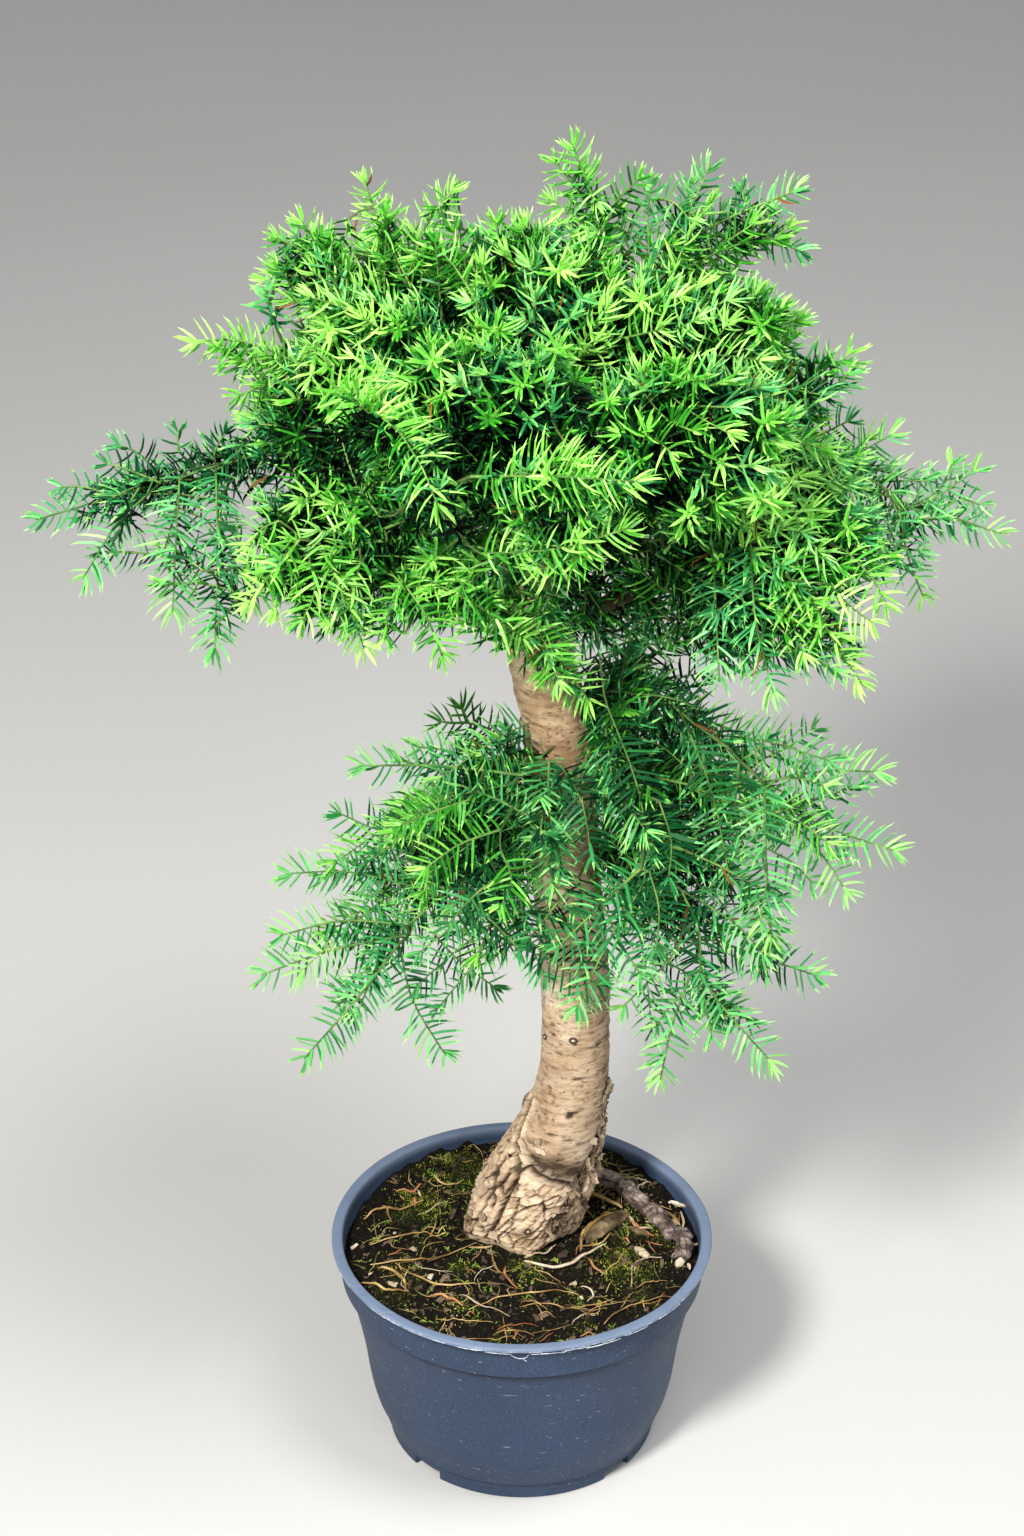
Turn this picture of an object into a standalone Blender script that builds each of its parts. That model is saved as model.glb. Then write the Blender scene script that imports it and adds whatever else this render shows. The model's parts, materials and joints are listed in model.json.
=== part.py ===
"""Hoop pine bonsai in its nursery pot, as separate solids: pot, soil, trunk, surface root, boughs and masses of foliage.

Metres, +Z up. The origin is the centre of the pot's flat underside; the bough hanging highest on the right is at +X and
the front is at -Y.
"""

import math

import bmesh
import bpy
from mathutils import Matrix, Vector, noise
from mathutils.bvhtree import BVHTree

# ---------------------------------------------------------------- driving dimensions
GAP = 0.0003

POT_HEIGHT = 0.115
POT_STEPS = 34
LIP_RADIUS = 0.0950
LIP_WIDTH = 0.0055
LIP_THICKNESS = 0.0024
COLLAR_DROP = 0.0206
COLLAR_RADIUS = 0.0903
BODY_TOP_RADIUS = 0.0874
BODY_FOOT_RADIUS = 0.0700
FOOT_RADIUS = 0.0676
FOOT_HEIGHT = 0.0090
FOOT_RING_WIDTH = 0.0080
FLOOR_LEVEL = 0.0085
FLOOR_RECESS = 0.0060
CENTRE_PAD_RADIUS = 0.0300
WALL = 0.0019
NOTCH_ANGLES = (45, 135, 225, 315)
NOTCH_WIDTH = 0.0180
NOTCH_HEIGHT = 0.0055
DRAIN_COUNT = 6
DRAIN_TURN = 0.06
DRAIN_RADIUS = 0.0050
DRAIN_CIRCLE = 0.0448

SOIL_TOP = 0.1050

TRUNK_SIDES = 14
TRUNK_FOOT = SOIL_TOP + GAP
TRUNK_TOP = 0.622
FLARE_LOBES = 5
FLARE_DEPTH = 0.0030
# height, centre x, centre y, radius
TRUNK_STATIONS = (
    (TRUNK_FOOT, -0.0008, 0.0215, 0.0272),
    (0.1160, 0.0010, 0.0205, 0.0278),
    (0.1290, 0.0057, 0.0197, 0.0270),
    (0.1410, 0.0103, 0.0193, 0.0256),
    (0.1530, 0.0150, 0.0190, 0.0236),
    (0.1690, 0.0198, 0.0185, 0.0208),
    (0.1850, 0.0232, 0.0180, 0.0183),
    (0.2030, 0.0255, 0.0175, 0.0170),
    (0.2250, 0.0260, 0.0170, 0.0168),
    (0.2550, 0.0257, 0.0158, 0.0167),
    (0.2890, 0.0232, 0.0145, 0.0165),
    (0.3280, 0.0200, 0.0125, 0.0166),
    (0.3700, 0.0190, 0.0105, 0.0168),
    (0.4020, 0.0168, 0.0088, 0.0172),
    (0.4240, 0.0115, 0.0078, 0.0162),
    (0.4480, 0.0072, 0.0065, 0.0157),
    (0.4700, 0.0034, 0.0055, 0.0152),
    (0.5050, -0.0010, 0.0040, 0.0128),
    (0.5450, -0.0025, 0.0020, 0.0098),
    (0.5850, 0.0005, 0.0005, 0.0064),
    (0.6100, 0.0040, 0.0000, 0.0034),
    (TRUNK_TOP, 0.0055, 0.0000, 0.0012),
)

ROOT_PATH = ((0.012, 0.033, 0.1240), (0.026, 0.045, 0.1190), (0.042, 0.049, 0.1120), (0.058, 0.040, 0.1092), (0.071, 0.024, 0.1086), (0.080, 0.007, 0.1080))
ROOT_RADII = (0.0072, 0.0066, 0.0056, 0.0052, 0.0060, 0.0042)

MASS_UNEVENNESS = 0.14
MASS_GRAIN = 1.9
SPRAY_OVERSHOOT = 1.04


def blob(centre, radii):
    """A lobe of foliage by its centre and its three radii."""
    return Vector(centre), Matrix.Diagonal(Vector(radii))


def spray(base, tip, radius):
    """A long lobe of foliage along one shoot, from its base to its tip."""
    base, tip = Vector(base), Vector(tip)
    half = (tip - base).length / 2 * SPRAY_OVERSHOOT
    turn = (tip - base).to_track_quat("X", "Z").to_matrix()
    return (base + tip) / 2, turn @ Matrix.Diagonal(Vector((half, radius, radius * 0.92)))


# Each mass of foliage is one or more lobes that run into one another.
MASSES = {
    "crown_top": [blob((+0.010, +0.000, 0.619), (0.060, 0.062, 0.040))],
    "crown_top_left": [blob((-0.060, +0.000, 0.620), (0.052, 0.060, 0.038)), blob((-0.095, +0.000, 0.636), (0.024, 0.028, 0.022))],
    "crown_top_right": [blob((+0.075, +0.000, 0.611), (0.054, 0.060, 0.042))],
    "crown_left": [blob((-0.090, -0.015, 0.579), (0.042, 0.055, 0.040))],
    "crown_right": [blob((+0.116, -0.010, 0.550), (0.050, 0.060, 0.046))],
    "crown_front_left": [
        blob((-0.089, -0.050, 0.533), (0.038, 0.040, 0.034)),
        blob((-0.092, -0.062, 0.511), (0.032, 0.026, 0.024)),
        blob((-0.075, -0.070, 0.502), (0.018, 0.018, 0.020)),
    ],
    "crown_front": [blob((-0.016, -0.085, 0.600), (0.060, 0.045, 0.042))],
    "crown_front_right": [blob((+0.070, -0.080, 0.591), (0.052, 0.045, 0.042))],
    "crown_back": [blob((+0.008, +0.098, 0.564), (0.060, 0.050, 0.045))],
    "crown_back_left": [blob((-0.060, +0.074, 0.564), (0.050, 0.050, 0.041))],
    "crown_back_right": [blob((+0.078, +0.078, 0.556), (0.052, 0.050, 0.043))],
    "crown_low_right": [blob((+0.117, -0.050, 0.521), (0.048, 0.045, 0.034))],
    "crown_low_front": [blob((-0.037, -0.075, 0.515), (0.032, 0.022, 0.019)), spray((-0.025, -0.058, 0.508), (+0.030, -0.058, 0.450), 0.015)],
    "hanging_right": [blob((+0.097, -0.065, 0.494), (0.026, 0.020, 0.032)), spray((+0.115, -0.068, 0.509), (+0.148, -0.080, 0.472), 0.017)],
    "top_sprig": [spray((+0.034, +0.008, 0.634), (+0.021, +0.000, 0.695), 0.016), spray((+0.033, +0.005, 0.642), (+0.050, +0.005, 0.676), 0.012)],
    "top_right_sprays": [spray((+0.064, +0.010, 0.623), (+0.080, +0.010, 0.681), 0.017), spray((+0.073, +0.012, 0.641), (+0.122, +0.020, 0.649), 0.019)],
    "top_left_sprigs": [spray((-0.053, +0.000, 0.627), (-0.068, +0.000, 0.678), 0.014), spray((-0.053, +0.000, 0.627), (-0.029, -0.005, 0.677), 0.013)],
    "left_spike": [spray((-0.095, -0.015, 0.597), (-0.145, -0.015, 0.608), 0.014)],
    "right_spray": [spray((+0.111, -0.010, 0.567), (+0.142, -0.015, 0.605), 0.019)],
    "right_tip": [spray((+0.131, +0.000, 0.530), (+0.164, +0.000, 0.557), 0.020)],
    "right_outlier": [
        spray((+0.151, +0.000, 0.519), (+0.203, +0.000, 0.539), 0.013),
        spray((+0.167, +0.000, 0.519), (+0.215, +0.000, 0.505), 0.013),
        spray((+0.171, -0.005, 0.526), (+0.180, -0.012, 0.479), 0.012),
    ],
    "left_outlier": [spray((-0.113, -0.008, 0.550), (-0.219, -0.010, 0.516), 0.019), spray((-0.173, -0.014, 0.534), (-0.197, -0.018, 0.491), 0.011)],
    "left_hanging_outer": [spray((-0.153, -0.020, 0.541), (-0.156, -0.032, 0.483), 0.015)],
    "left_hanging_inner": [spray((-0.136, -0.018, 0.545), (-0.138, -0.032, 0.462), 0.015)],
    "front_spray_left": [spray((-0.080, -0.100, 0.621), (-0.027, -0.140, 0.586), 0.020)],
    "front_spray_upper": [spray((-0.023, -0.130, 0.597), (+0.053, -0.138, 0.595), 0.016)],
    "front_spray_lower": [spray((-0.019, -0.112, 0.554), (+0.049, -0.128, 0.577), 0.015)],
    "low_left_core": [blob((-0.030, -0.020, 0.351), (0.038, 0.034, 0.040)), blob((-0.016, -0.018, 0.310), (0.024, 0.026, 0.030))],
    "low_left_rear": [blob((-0.045, +0.055, 0.305), (0.040, 0.030, 0.036))],
    "low_left_upper": [spray((-0.000, -0.030, 0.399), (-0.076, -0.030, 0.401), 0.017)],
    "low_left_mid": [spray((-0.038, -0.020, 0.332), (-0.111, -0.020, 0.339), 0.015)],
    "low_left_outer": [spray((-0.034, -0.028, 0.314), (-0.123, -0.040, 0.298), 0.019)],
    "low_left_bottom": [spray((-0.053, -0.032, 0.310), (-0.104, -0.045, 0.248), 0.014), spray((-0.053, -0.030, 0.308), (-0.037, -0.025, 0.236), 0.014)],
    "low_front": [spray((+0.004, -0.034, 0.404), (+0.030, -0.050, 0.284), 0.016)],
    "low_right_core": [blob((+0.080, -0.005, 0.308), (0.038, 0.036, 0.042))],
    "low_right_rear": [blob((+0.086, +0.055, 0.335), (0.040, 0.030, 0.042)), blob((+0.068, +0.052, 0.398), (0.030, 0.026, 0.048))],
    "low_right_curtain": [spray((+0.046, -0.024, 0.438), (+0.061, -0.050, 0.343), 0.019)],
    "low_right_arch": [spray((+0.048, -0.005, 0.428), (+0.117, -0.020, 0.388), 0.017)],
    "low_right_upper": [spray((+0.105, -0.014, 0.390), (+0.166, -0.020, 0.395), 0.015)],
    "low_right_outer": [spray((+0.106, -0.020, 0.376), (+0.175, -0.030, 0.356), 0.019)],
    "low_right_hanging": [spray((+0.112, -0.026, 0.396), (+0.116, -0.050, 0.321), 0.013)],
    "low_right_low": [spray((+0.094, -0.020, 0.295), (+0.139, -0.030, 0.289), 0.017)],
    "low_right_bottom": [spray((+0.075, -0.025, 0.287), (+0.120, -0.040, 0.245), 0.014), spray((+0.071, -0.025, 0.290), (+0.067, -0.035, 0.229), 0.014)],
}

# bough: the height where it leaves the trunk, the point it heads for, the mass it ends in, its base radius, its sag
BOUGHS = {
    "bough_left": (0.478, (-0.090, -0.015, 0.575), "crown_left", 0.0062, 0.006),
    "bough_right": (0.470, (0.116, -0.010, 0.550), "crown_right", 0.0064, -0.008),
    "bough_front": (0.496, (-0.016, -0.085, 0.600), "crown_front", 0.0050, 0.006),
    "bough_front_right": (0.488, (0.070, -0.080, 0.591), "crown_front_right", 0.0052, 0.006),
    "bough_back": (0.482, (0.008, 0.098, 0.564), "crown_back", 0.0058, -0.004),
    "bough_front_left": (0.458, (-0.089, -0.050, 0.533), "crown_front_left", 0.0054, -0.006),
    "bough_right_low": (0.448, (0.117, -0.050, 0.521), "crown_low_right", 0.0052, -0.008),
    "bough_arch": (0.408, (0.060, -0.008, 0.422), "low_right_arch", 0.0048, -0.006),
    "bough_low_right": (0.336, (0.080, -0.005, 0.316), "low_right_core", 0.0042, -0.003),
    "bough_low_right_rear": (0.368, (0.084, 0.055, 0.340), "low_right_rear", 0.0044, -0.006),
    "bough_low_left": (0.388, (-0.020, -0.030, 0.400), "low_left_upper", 0.0040, -0.002),
    "bough_low_left_rear": (0.322, (-0.045, 0.055, 0.305), "low_left_rear", 0.0044, -0.004),
}
BOUGH_SIDES = 6
BOUGH_TAPER = 0.45

COLOURS = {
    "pot": (0.115, 0.150, 0.215, 1),
    "soil": (0.030, 0.021, 0.014, 1),
    "trunk": (0.46, 0.33, 0.20, 1),
    "root": (0.22, 0.17, 0.14, 1),
    "bough": (0.30, 0.20, 0.12, 1),
    "crown": (0.13, 0.36, 0.05, 1),
    "lower": (0.06, 0.24, 0.08, 1),
}

# ---------------------------------------------------------------- scene
for old in list(bpy.data.objects):
    bpy.data.objects.remove(old, do_unlink=True)
PARTS = bpy.data.collections.new("hoop_pine_bonsai")
CUTTERS = bpy.data.collections.new("cutters")
for made in (PARTS, CUTTERS):
    bpy.context.scene.collection.children.link(made)


def material(name, colour, roughness):
    mat = bpy.data.materials.new(name)
    mat.use_nodes = True
    shader = mat.node_tree.nodes["Principled BSDF"]
    shader.inputs["Base Color"].default_value = colour
    shader.inputs["Roughness"].default_value = roughness
    mat.diffuse_color = colour
    return mat


def add(name, mesh, collection=PARTS, colour=None, roughness=0.8):
    obj = bpy.data.objects.new(name, mesh)
    collection.objects.link(obj)
    if collection is CUTTERS:
        obj.hide_render = True
        obj.display_type = "WIRE"
    else:
        mesh.materials.append(material(name, colour, roughness))
    return obj


def mesh_of(bm, name):
    mesh = bpy.data.meshes.new(name)
    bmesh.ops.recalc_face_normals(bm, faces=bm.faces)
    if bm.calc_volume(signed=True) < 0:
        bmesh.ops.reverse_faces(bm, faces=bm.faces)
    bm.to_mesh(mesh)
    bm.free()
    return mesh


def boolean(obj, cutter, operation="DIFFERENCE"):
    modifier = obj.modifiers.new(f"{operation.lower()}_{cutter.name}"[:60], "BOOLEAN")
    modifier.operation = operation
    modifier.solver = "EXACT"
    modifier.object = cutter


def evaluated_bmesh(obj):
    bpy.context.view_layer.update()
    graph = bpy.context.evaluated_depsgraph_get()
    bm = bmesh.new()
    bm.from_object(obj, graph)
    return bm


def tree_of(obj):
    bm = evaluated_bmesh(obj)
    tree = BVHTree.FromBMesh(bm)
    bm.free()
    return tree


def join_rings(rings):
    """One closed surface through rings of equal length, with flat ends."""
    bm = bmesh.new()
    rows = [[bm.verts.new(point) for point in ring] for ring in rings]
    count = len(rows[0])
    for lower, upper in zip(rows, rows[1:]):
        for i in range(count):
            j = (i + 1) % count
            bm.faces.new((lower[i], lower[j], upper[j], upper[i]))
    bm.faces.new(rows[0][::-1])
    bm.faces.new(rows[-1])
    return bm


# ---------------------------------------------------------------- pot and soil
def turned(name, profile, collection, colour=None, roughness=0.5):
    """A Screw about Z of a profile given from the axis round to the axis again."""
    mesh = bpy.data.meshes.new(name)
    mesh.from_pydata([(x, 0, z) for x, z in profile], [(i, i + 1) for i in range(len(profile) - 1)], [])
    obj = add(name, mesh, collection, colour, roughness)
    screw = obj.modifiers.new("turn", "SCREW")
    screw.angle = math.tau
    screw.steps = screw.render_steps = POT_STEPS
    screw.use_merge_vertices = True
    screw.merge_threshold = 0.00005
    screw.use_smooth_shade = False
    return obj


COLLAR_Z = POT_HEIGHT - COLLAR_DROP
INNER_TOP = LIP_RADIUS - LIP_WIDTH
INNER_COLLAR = COLLAR_RADIUS - WALL - 0.0002
INNER_BODY = BODY_TOP_RADIUS - WALL
INNER_FLOOR = BODY_FOOT_RADIUS - WALL
pot_profile = [
    (0, FLOOR_LEVEL),
    (INNER_FLOOR, FLOOR_LEVEL),
    (INNER_BODY, COLLAR_Z - 0.0020),
    (INNER_COLLAR, COLLAR_Z + 0.0012),
    (INNER_TOP, POT_HEIGHT - 0.0007),
    (INNER_TOP + 0.0008, POT_HEIGHT),
    (LIP_RADIUS - 0.0010, POT_HEIGHT - 0.0001),
    (LIP_RADIUS, POT_HEIGHT - 0.0009),
    (LIP_RADIUS - 0.0002, POT_HEIGHT - LIP_THICKNESS),
    (COLLAR_RADIUS + 0.0009, POT_HEIGHT - LIP_THICKNESS - 0.0005),
    (COLLAR_RADIUS, COLLAR_Z),
    (BODY_TOP_RADIUS, COLLAR_Z - 0.0006),
    (BODY_FOOT_RADIUS, FOOT_HEIGHT + 0.0006),
    (FOOT_RADIUS + 0.0004, FOOT_HEIGHT),
    (FOOT_RADIUS, 0),
    (FOOT_RADIUS - FOOT_RING_WIDTH, 0),
    (FOOT_RADIUS - FOOT_RING_WIDTH - 0.0006, FLOOR_RECESS),
    (CENTRE_PAD_RADIUS + 0.0006, FLOOR_RECESS),
    (CENTRE_PAD_RADIUS, 0),
    (0, 0),
]
pot = turned("pot", pot_profile, PARTS, COLOURS["pot"], 0.45)


def box(name, size, matrix):
    bm = bmesh.new()
    bmesh.ops.create_cube(bm, size=1, matrix=matrix @ Matrix.Diagonal((*size, 1)))
    return add(name, mesh_of(bm, name), CUTTERS)


def cylinder(name, radius, depth, centre):
    bm = bmesh.new()
    bmesh.ops.create_cone(bm, cap_ends=True, segments=8, radius1=radius, radius2=radius, depth=depth, matrix=Matrix.Translation(centre))
    return add(name, mesh_of(bm, name), CUTTERS)


for i, angle in enumerate(NOTCH_ANGLES):
    turn = Matrix.Rotation(math.radians(angle), 4, "Z") @ Matrix.Translation((FOOT_RADIUS, 0, NOTCH_HEIGHT / 2 - 0.001))
    boolean(pot, box(f"notch_{i}", (0.030, NOTCH_WIDTH, NOTCH_HEIGHT + 0.002), turn))
for i in range(DRAIN_COUNT):
    angle = math.tau * (i + 0.5) / DRAIN_COUNT + DRAIN_TURN
    centre = Vector((DRAIN_CIRCLE * math.cos(angle), DRAIN_CIRCLE * math.sin(angle), FLOOR_LEVEL - 0.001))
    boolean(pot, cylinder(f"drain_{i}", DRAIN_RADIUS, 0.012, centre))

soil_profile = [
    (0, SOIL_TOP),
    (INNER_COLLAR - GAP + 0.0002, SOIL_TOP),
    (INNER_COLLAR - 2 * GAP, COLLAR_Z + 0.0018),
    (INNER_BODY - 2 * GAP, COLLAR_Z - 0.0016),
    (INNER_FLOOR - GAP, FLOOR_LEVEL + GAP),
    (0, FLOOR_LEVEL + GAP),
]
soil = turned("soil", soil_profile, PARTS, COLOURS["soil"], 0.95)


# ---------------------------------------------------------------- trunk and limbs
def trunk_at(height):
    """Centre and radius of the trunk at a height."""
    stations = TRUNK_STATIONS
    for (z0, x0, y0, r0), (z1, x1, y1, r1) in zip(stations, stations[1:]):
        if height <= z1:
            t = (height - z0) / (z1 - z0)
            return Vector((x0 + (x1 - x0) * t, y0 + (y1 - y0) * t, height)), r0 + (r1 - r0) * t
    z, x, y, r = stations[-1]
    return Vector((x, y, z)), r


def trunk_rings(extra=0.0, below=0.0):
    rings = []
    for z, x, y, radius in TRUNK_STATIONS:
        flare = max(0.0, 1 - (z - TRUNK_FOOT) / 0.05)
        ring = []
        for i in range(TRUNK_SIDES):
            a = math.tau * i / TRUNK_SIDES
            lobe = FLARE_DEPTH * flare**1.5 * math.cos(FLARE_LOBES * a + 0.9)
            knot = 0.0005 * noise.noise(Vector((math.cos(a), math.sin(a), z * 22)) * 1.7)
            r = radius + lobe + (knot if radius > 0.006 else 0) + extra
            ring.append(Vector((x + r * math.cos(a), y + r * math.sin(a), z)))
        rings.append(ring)
    if below:
        for point in rings[0]:
            point.z -= below
    if extra:
        for point in rings[-1]:
            point.z += extra
    return rings


trunk = add("trunk", mesh_of(join_rings(trunk_rings()), "trunk"), PARTS, COLOURS["trunk"], 0.8)
trunk_clearance = add("trunk_clearance", mesh_of(join_rings(trunk_rings(GAP * 1.1, 0.02)), "trunk_clearance"), CUTTERS)
trunk_tree = tree_of(trunk_clearance)


def smooth_path(points, radii, pieces):
    """Points and radii along a Catmull-Rom curve."""
    points = [Vector(p) for p in points]
    ends = [points[0] * 2 - points[1], *points, points[-1] * 2 - points[-2]]
    rs = [radii[0], *radii, radii[-1]]
    out = []
    for i in range(len(points) - 1):
        for k in range(pieces):
            t = k / pieces
            a, b, c, d = ends[i : i + 4]
            p = (b * 2 + (c - a) * t + (a * 2 - b * 5 + c * 4 - d) * t**2 + (b * 3 - a - c * 3 + d) * t**3) / 2
            out.append((p, rs[i + 1] + (rs[i + 2] - rs[i + 1]) * t))
    out.append((points[-1], radii[-1]))
    return out


def limb(path, extra=0.0, sides=BOUGH_SIDES):
    """A tapering limb: rings square to a path of points and radii."""
    rings = []
    side = None
    for i, (point, radius) in enumerate(path):
        before, after = path[max(i - 1, 0)][0], path[min(i + 1, len(path) - 1)][0]
        along = (after - before).normalized()
        side = (side or Vector((0.3, 0.4, 1))).cross(along).cross(along) * -1
        side = (side - along * side.dot(along)).normalized()
        other = along.cross(side)
        r = radius + extra
        rings.append([point + (side * math.cos(math.tau * k / sides) + other * math.sin(math.tau * k / sides)) * r for k in range(sides)])
    return join_rings(rings)


root_bm = limb(smooth_path(ROOT_PATH, ROOT_RADII, 2), sides=7)
low = bmesh.ops.bisect_plane(root_bm, geom=root_bm.verts[:] + root_bm.edges[:] + root_bm.faces[:], plane_co=(0, 0, SOIL_TOP + GAP), plane_no=(0, 0, -1), clear_outer=True)
bmesh.ops.holes_fill(root_bm, edges=[e for e in root_bm.edges if e.is_boundary], sides=0)
surface_root = add("surface_root", mesh_of(root_bm, "surface_root"), PARTS, COLOURS["root"], 0.9)
boolean(surface_root, trunk_clearance)


# ---------------------------------------------------------------- masses of foliage
class Lobe:
    def __init__(self, mass, shape, seed):
        self.mass = mass
        self.centre, self.frame = shape
        self.seed = seed
        self.bm = bmesh.new()
        bmesh.ops.create_icosphere(self.bm, subdivisions=2, radius=1)
        offset = Vector((seed * 3.7, seed * 1.9, -seed * 2.3))
        for vertex in self.bm.verts:
            bump = noise.noise(vertex.co * MASS_GRAIN + offset)
            vertex.co = self.centre + self.frame @ (vertex.co * (1 + MASS_UNEVENNESS * bump))

    def reach(self, direction):
        """How far the lobe reaches from its centre along a direction."""
        inverse = self.frame.inverted() @ direction
        return 1 / inverse.length

    def cut(self, point, normal):
        bm = self.bm
        bmesh.ops.bisect_plane(bm, geom=bm.verts[:] + bm.edges[:] + bm.faces[:], plane_co=point, plane_no=normal, clear_outer=True)
        edges = [e for e in bm.edges if e.is_boundary]
        if edges:
            bmesh.ops.holes_fill(bm, edges=edges, sides=0)

    def tree(self):
        return BVHTree.FromBMesh(self.bm)


lobes = []
for name, shapes in MASSES.items():
    for shape in shapes:
        lobes.append(Lobe(name, shape, len(lobes) + 1))
trees = [lobe.tree() for lobe in lobes]
for i, first in enumerate(lobes):
    for j in range(i + 1, len(lobes)):
        second = lobes[j]
        if first.mass == second.mass or not trees[i].overlap(trees[j]):
            continue
        apart = second.centre - first.centre
        direction = apart.normalized()
        a, b = first.reach(direction), second.reach(direction)
        middle = first.centre + apart * (a / (a + b))
        first.cut(middle - direction * GAP / 2, direction)
        second.cut(middle + direction * GAP / 2, -direction)

masses = {}
for name in MASSES:
    own = [lobe for lobe in lobes if lobe.mass == name]
    colour = COLOURS["lower" if name.startswith("low") else "crown"]
    first = add(name, mesh_of(own[0].bm, name), PARTS, colour, 0.7)
    for k, lobe in enumerate(own[1:]):
        boolean(first, add(f"{name}_lobe_{k + 2}", mesh_of(lobe.bm, f"{name}_lobe_{k + 2}"), CUTTERS), "UNION")
    masses[name] = first
mass_trees = {name: tree_of(obj) for name, obj in masses.items()}


def clearance_of(name):
    """The mass of this name grown by the gap, as a cutter."""
    bm = evaluated_bmesh(masses[name])
    bmesh.ops.triangulate(bm, faces=bm.faces)
    bm.normal_update()
    moves = [vertex.normal * min(vertex.calc_shell_factor(), 2.5) * GAP * 1.3 for vertex in bm.verts]
    for vertex, move in zip(bm.verts, moves):
        vertex.co += move
    return add(f"{name}_clearance", mesh_of(bm, f"{name}_clearance"), CUTTERS)


for name, (height, goal, target, radius, sag) in BOUGHS.items():
    start, _ = trunk_at(height)
    goal = Vector(goal)
    middle = start.lerp(goal, 0.5) + Vector((0, 0, -sag))
    path = smooth_path((start, middle, goal), (radius, radius * (1 + BOUGH_TAPER) / 2, radius * BOUGH_TAPER), 2)
    bough = add(name, mesh_of(limb(path), name), PARTS, COLOURS["bough"], 0.85)
    own_tree = tree_of(bough)
    boolean(bough, trunk_clearance)
    boolean(bough, clearance_of(target))
    passed = [other for other, tree in mass_trees.items() if other != target and tree.overlap(own_tree)]
    if passed:
        grown = add(f"{name}_clearance", mesh_of(limb(path, GAP * 1.1), f"{name}_clearance"), CUTTERS)
        for other in passed:
            boolean(masses[other], grown)
for name, obj in masses.items():
    if mass_trees[name].overlap(trunk_tree):
        boolean(obj, trunk_clearance)
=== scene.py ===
"""Hoop pine bonsai in its nursery pot: needled shoots, bark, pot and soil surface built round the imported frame."""

import json
import math

import bpy
import numpy as np
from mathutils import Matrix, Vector
from mathutils.bvhtree import BVHTree
from mathutils.kdtree import KDTree

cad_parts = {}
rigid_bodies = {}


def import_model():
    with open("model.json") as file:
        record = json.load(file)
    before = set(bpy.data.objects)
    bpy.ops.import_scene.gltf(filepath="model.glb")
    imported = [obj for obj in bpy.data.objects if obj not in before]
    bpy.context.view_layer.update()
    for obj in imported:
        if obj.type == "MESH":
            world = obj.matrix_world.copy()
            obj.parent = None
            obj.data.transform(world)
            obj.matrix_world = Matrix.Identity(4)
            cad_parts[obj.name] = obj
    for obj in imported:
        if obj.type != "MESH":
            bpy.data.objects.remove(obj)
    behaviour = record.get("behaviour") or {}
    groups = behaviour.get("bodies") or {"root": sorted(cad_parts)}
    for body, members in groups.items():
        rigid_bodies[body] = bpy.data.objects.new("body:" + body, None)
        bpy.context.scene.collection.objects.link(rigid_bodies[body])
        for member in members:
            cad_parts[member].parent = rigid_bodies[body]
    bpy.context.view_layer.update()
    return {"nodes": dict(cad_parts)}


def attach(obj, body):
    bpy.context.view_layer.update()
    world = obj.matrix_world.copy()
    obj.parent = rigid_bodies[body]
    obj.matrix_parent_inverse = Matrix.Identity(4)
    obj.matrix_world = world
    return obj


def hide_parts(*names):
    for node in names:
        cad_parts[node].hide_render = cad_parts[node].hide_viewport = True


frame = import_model()
rng = np.random.default_rng(20260)

# ---------------------------------------------------------------- sizes, metres
POT_HEIGHT = 0.115
LIP_RADIUS = 0.0950
SOIL_TOP = 0.1050
TRUNK_FOOT = 0.1053
TRUNK_STATIONS = np.array(
    (
        (TRUNK_FOOT, -0.0008, 0.0215, 0.0272),
        (0.1160, 0.0010, 0.0205, 0.0278),
        (0.1290, 0.0057, 0.0197, 0.0270),
        (0.1410, 0.0103, 0.0193, 0.0256),
        (0.1530, 0.0150, 0.0190, 0.0236),
        (0.1690, 0.0198, 0.0185, 0.0208),
        (0.1850, 0.0232, 0.0180, 0.0183),
        (0.2030, 0.0255, 0.0175, 0.0170),
        (0.2250, 0.0260, 0.0170, 0.0168),
        (0.2550, 0.0257, 0.0158, 0.0167),
        (0.2890, 0.0232, 0.0145, 0.0165),
        (0.3280, 0.0200, 0.0125, 0.0166),
        (0.3700, 0.0190, 0.0105, 0.0168),
        (0.4020, 0.0168, 0.0088, 0.0172),
        (0.4240, 0.0115, 0.0078, 0.0162),
        (0.4480, 0.0072, 0.0065, 0.0157),
        (0.4700, 0.0034, 0.0055, 0.0152),
        (0.5050, -0.0010, 0.0040, 0.0128),
        (0.5450, -0.0025, 0.0020, 0.0098),
        (0.5850, 0.0005, 0.0005, 0.0064),
        (0.6100, 0.0040, 0.0000, 0.0034),
        (0.6220, 0.0055, 0.0000, 0.0012),
    )
)
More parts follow.
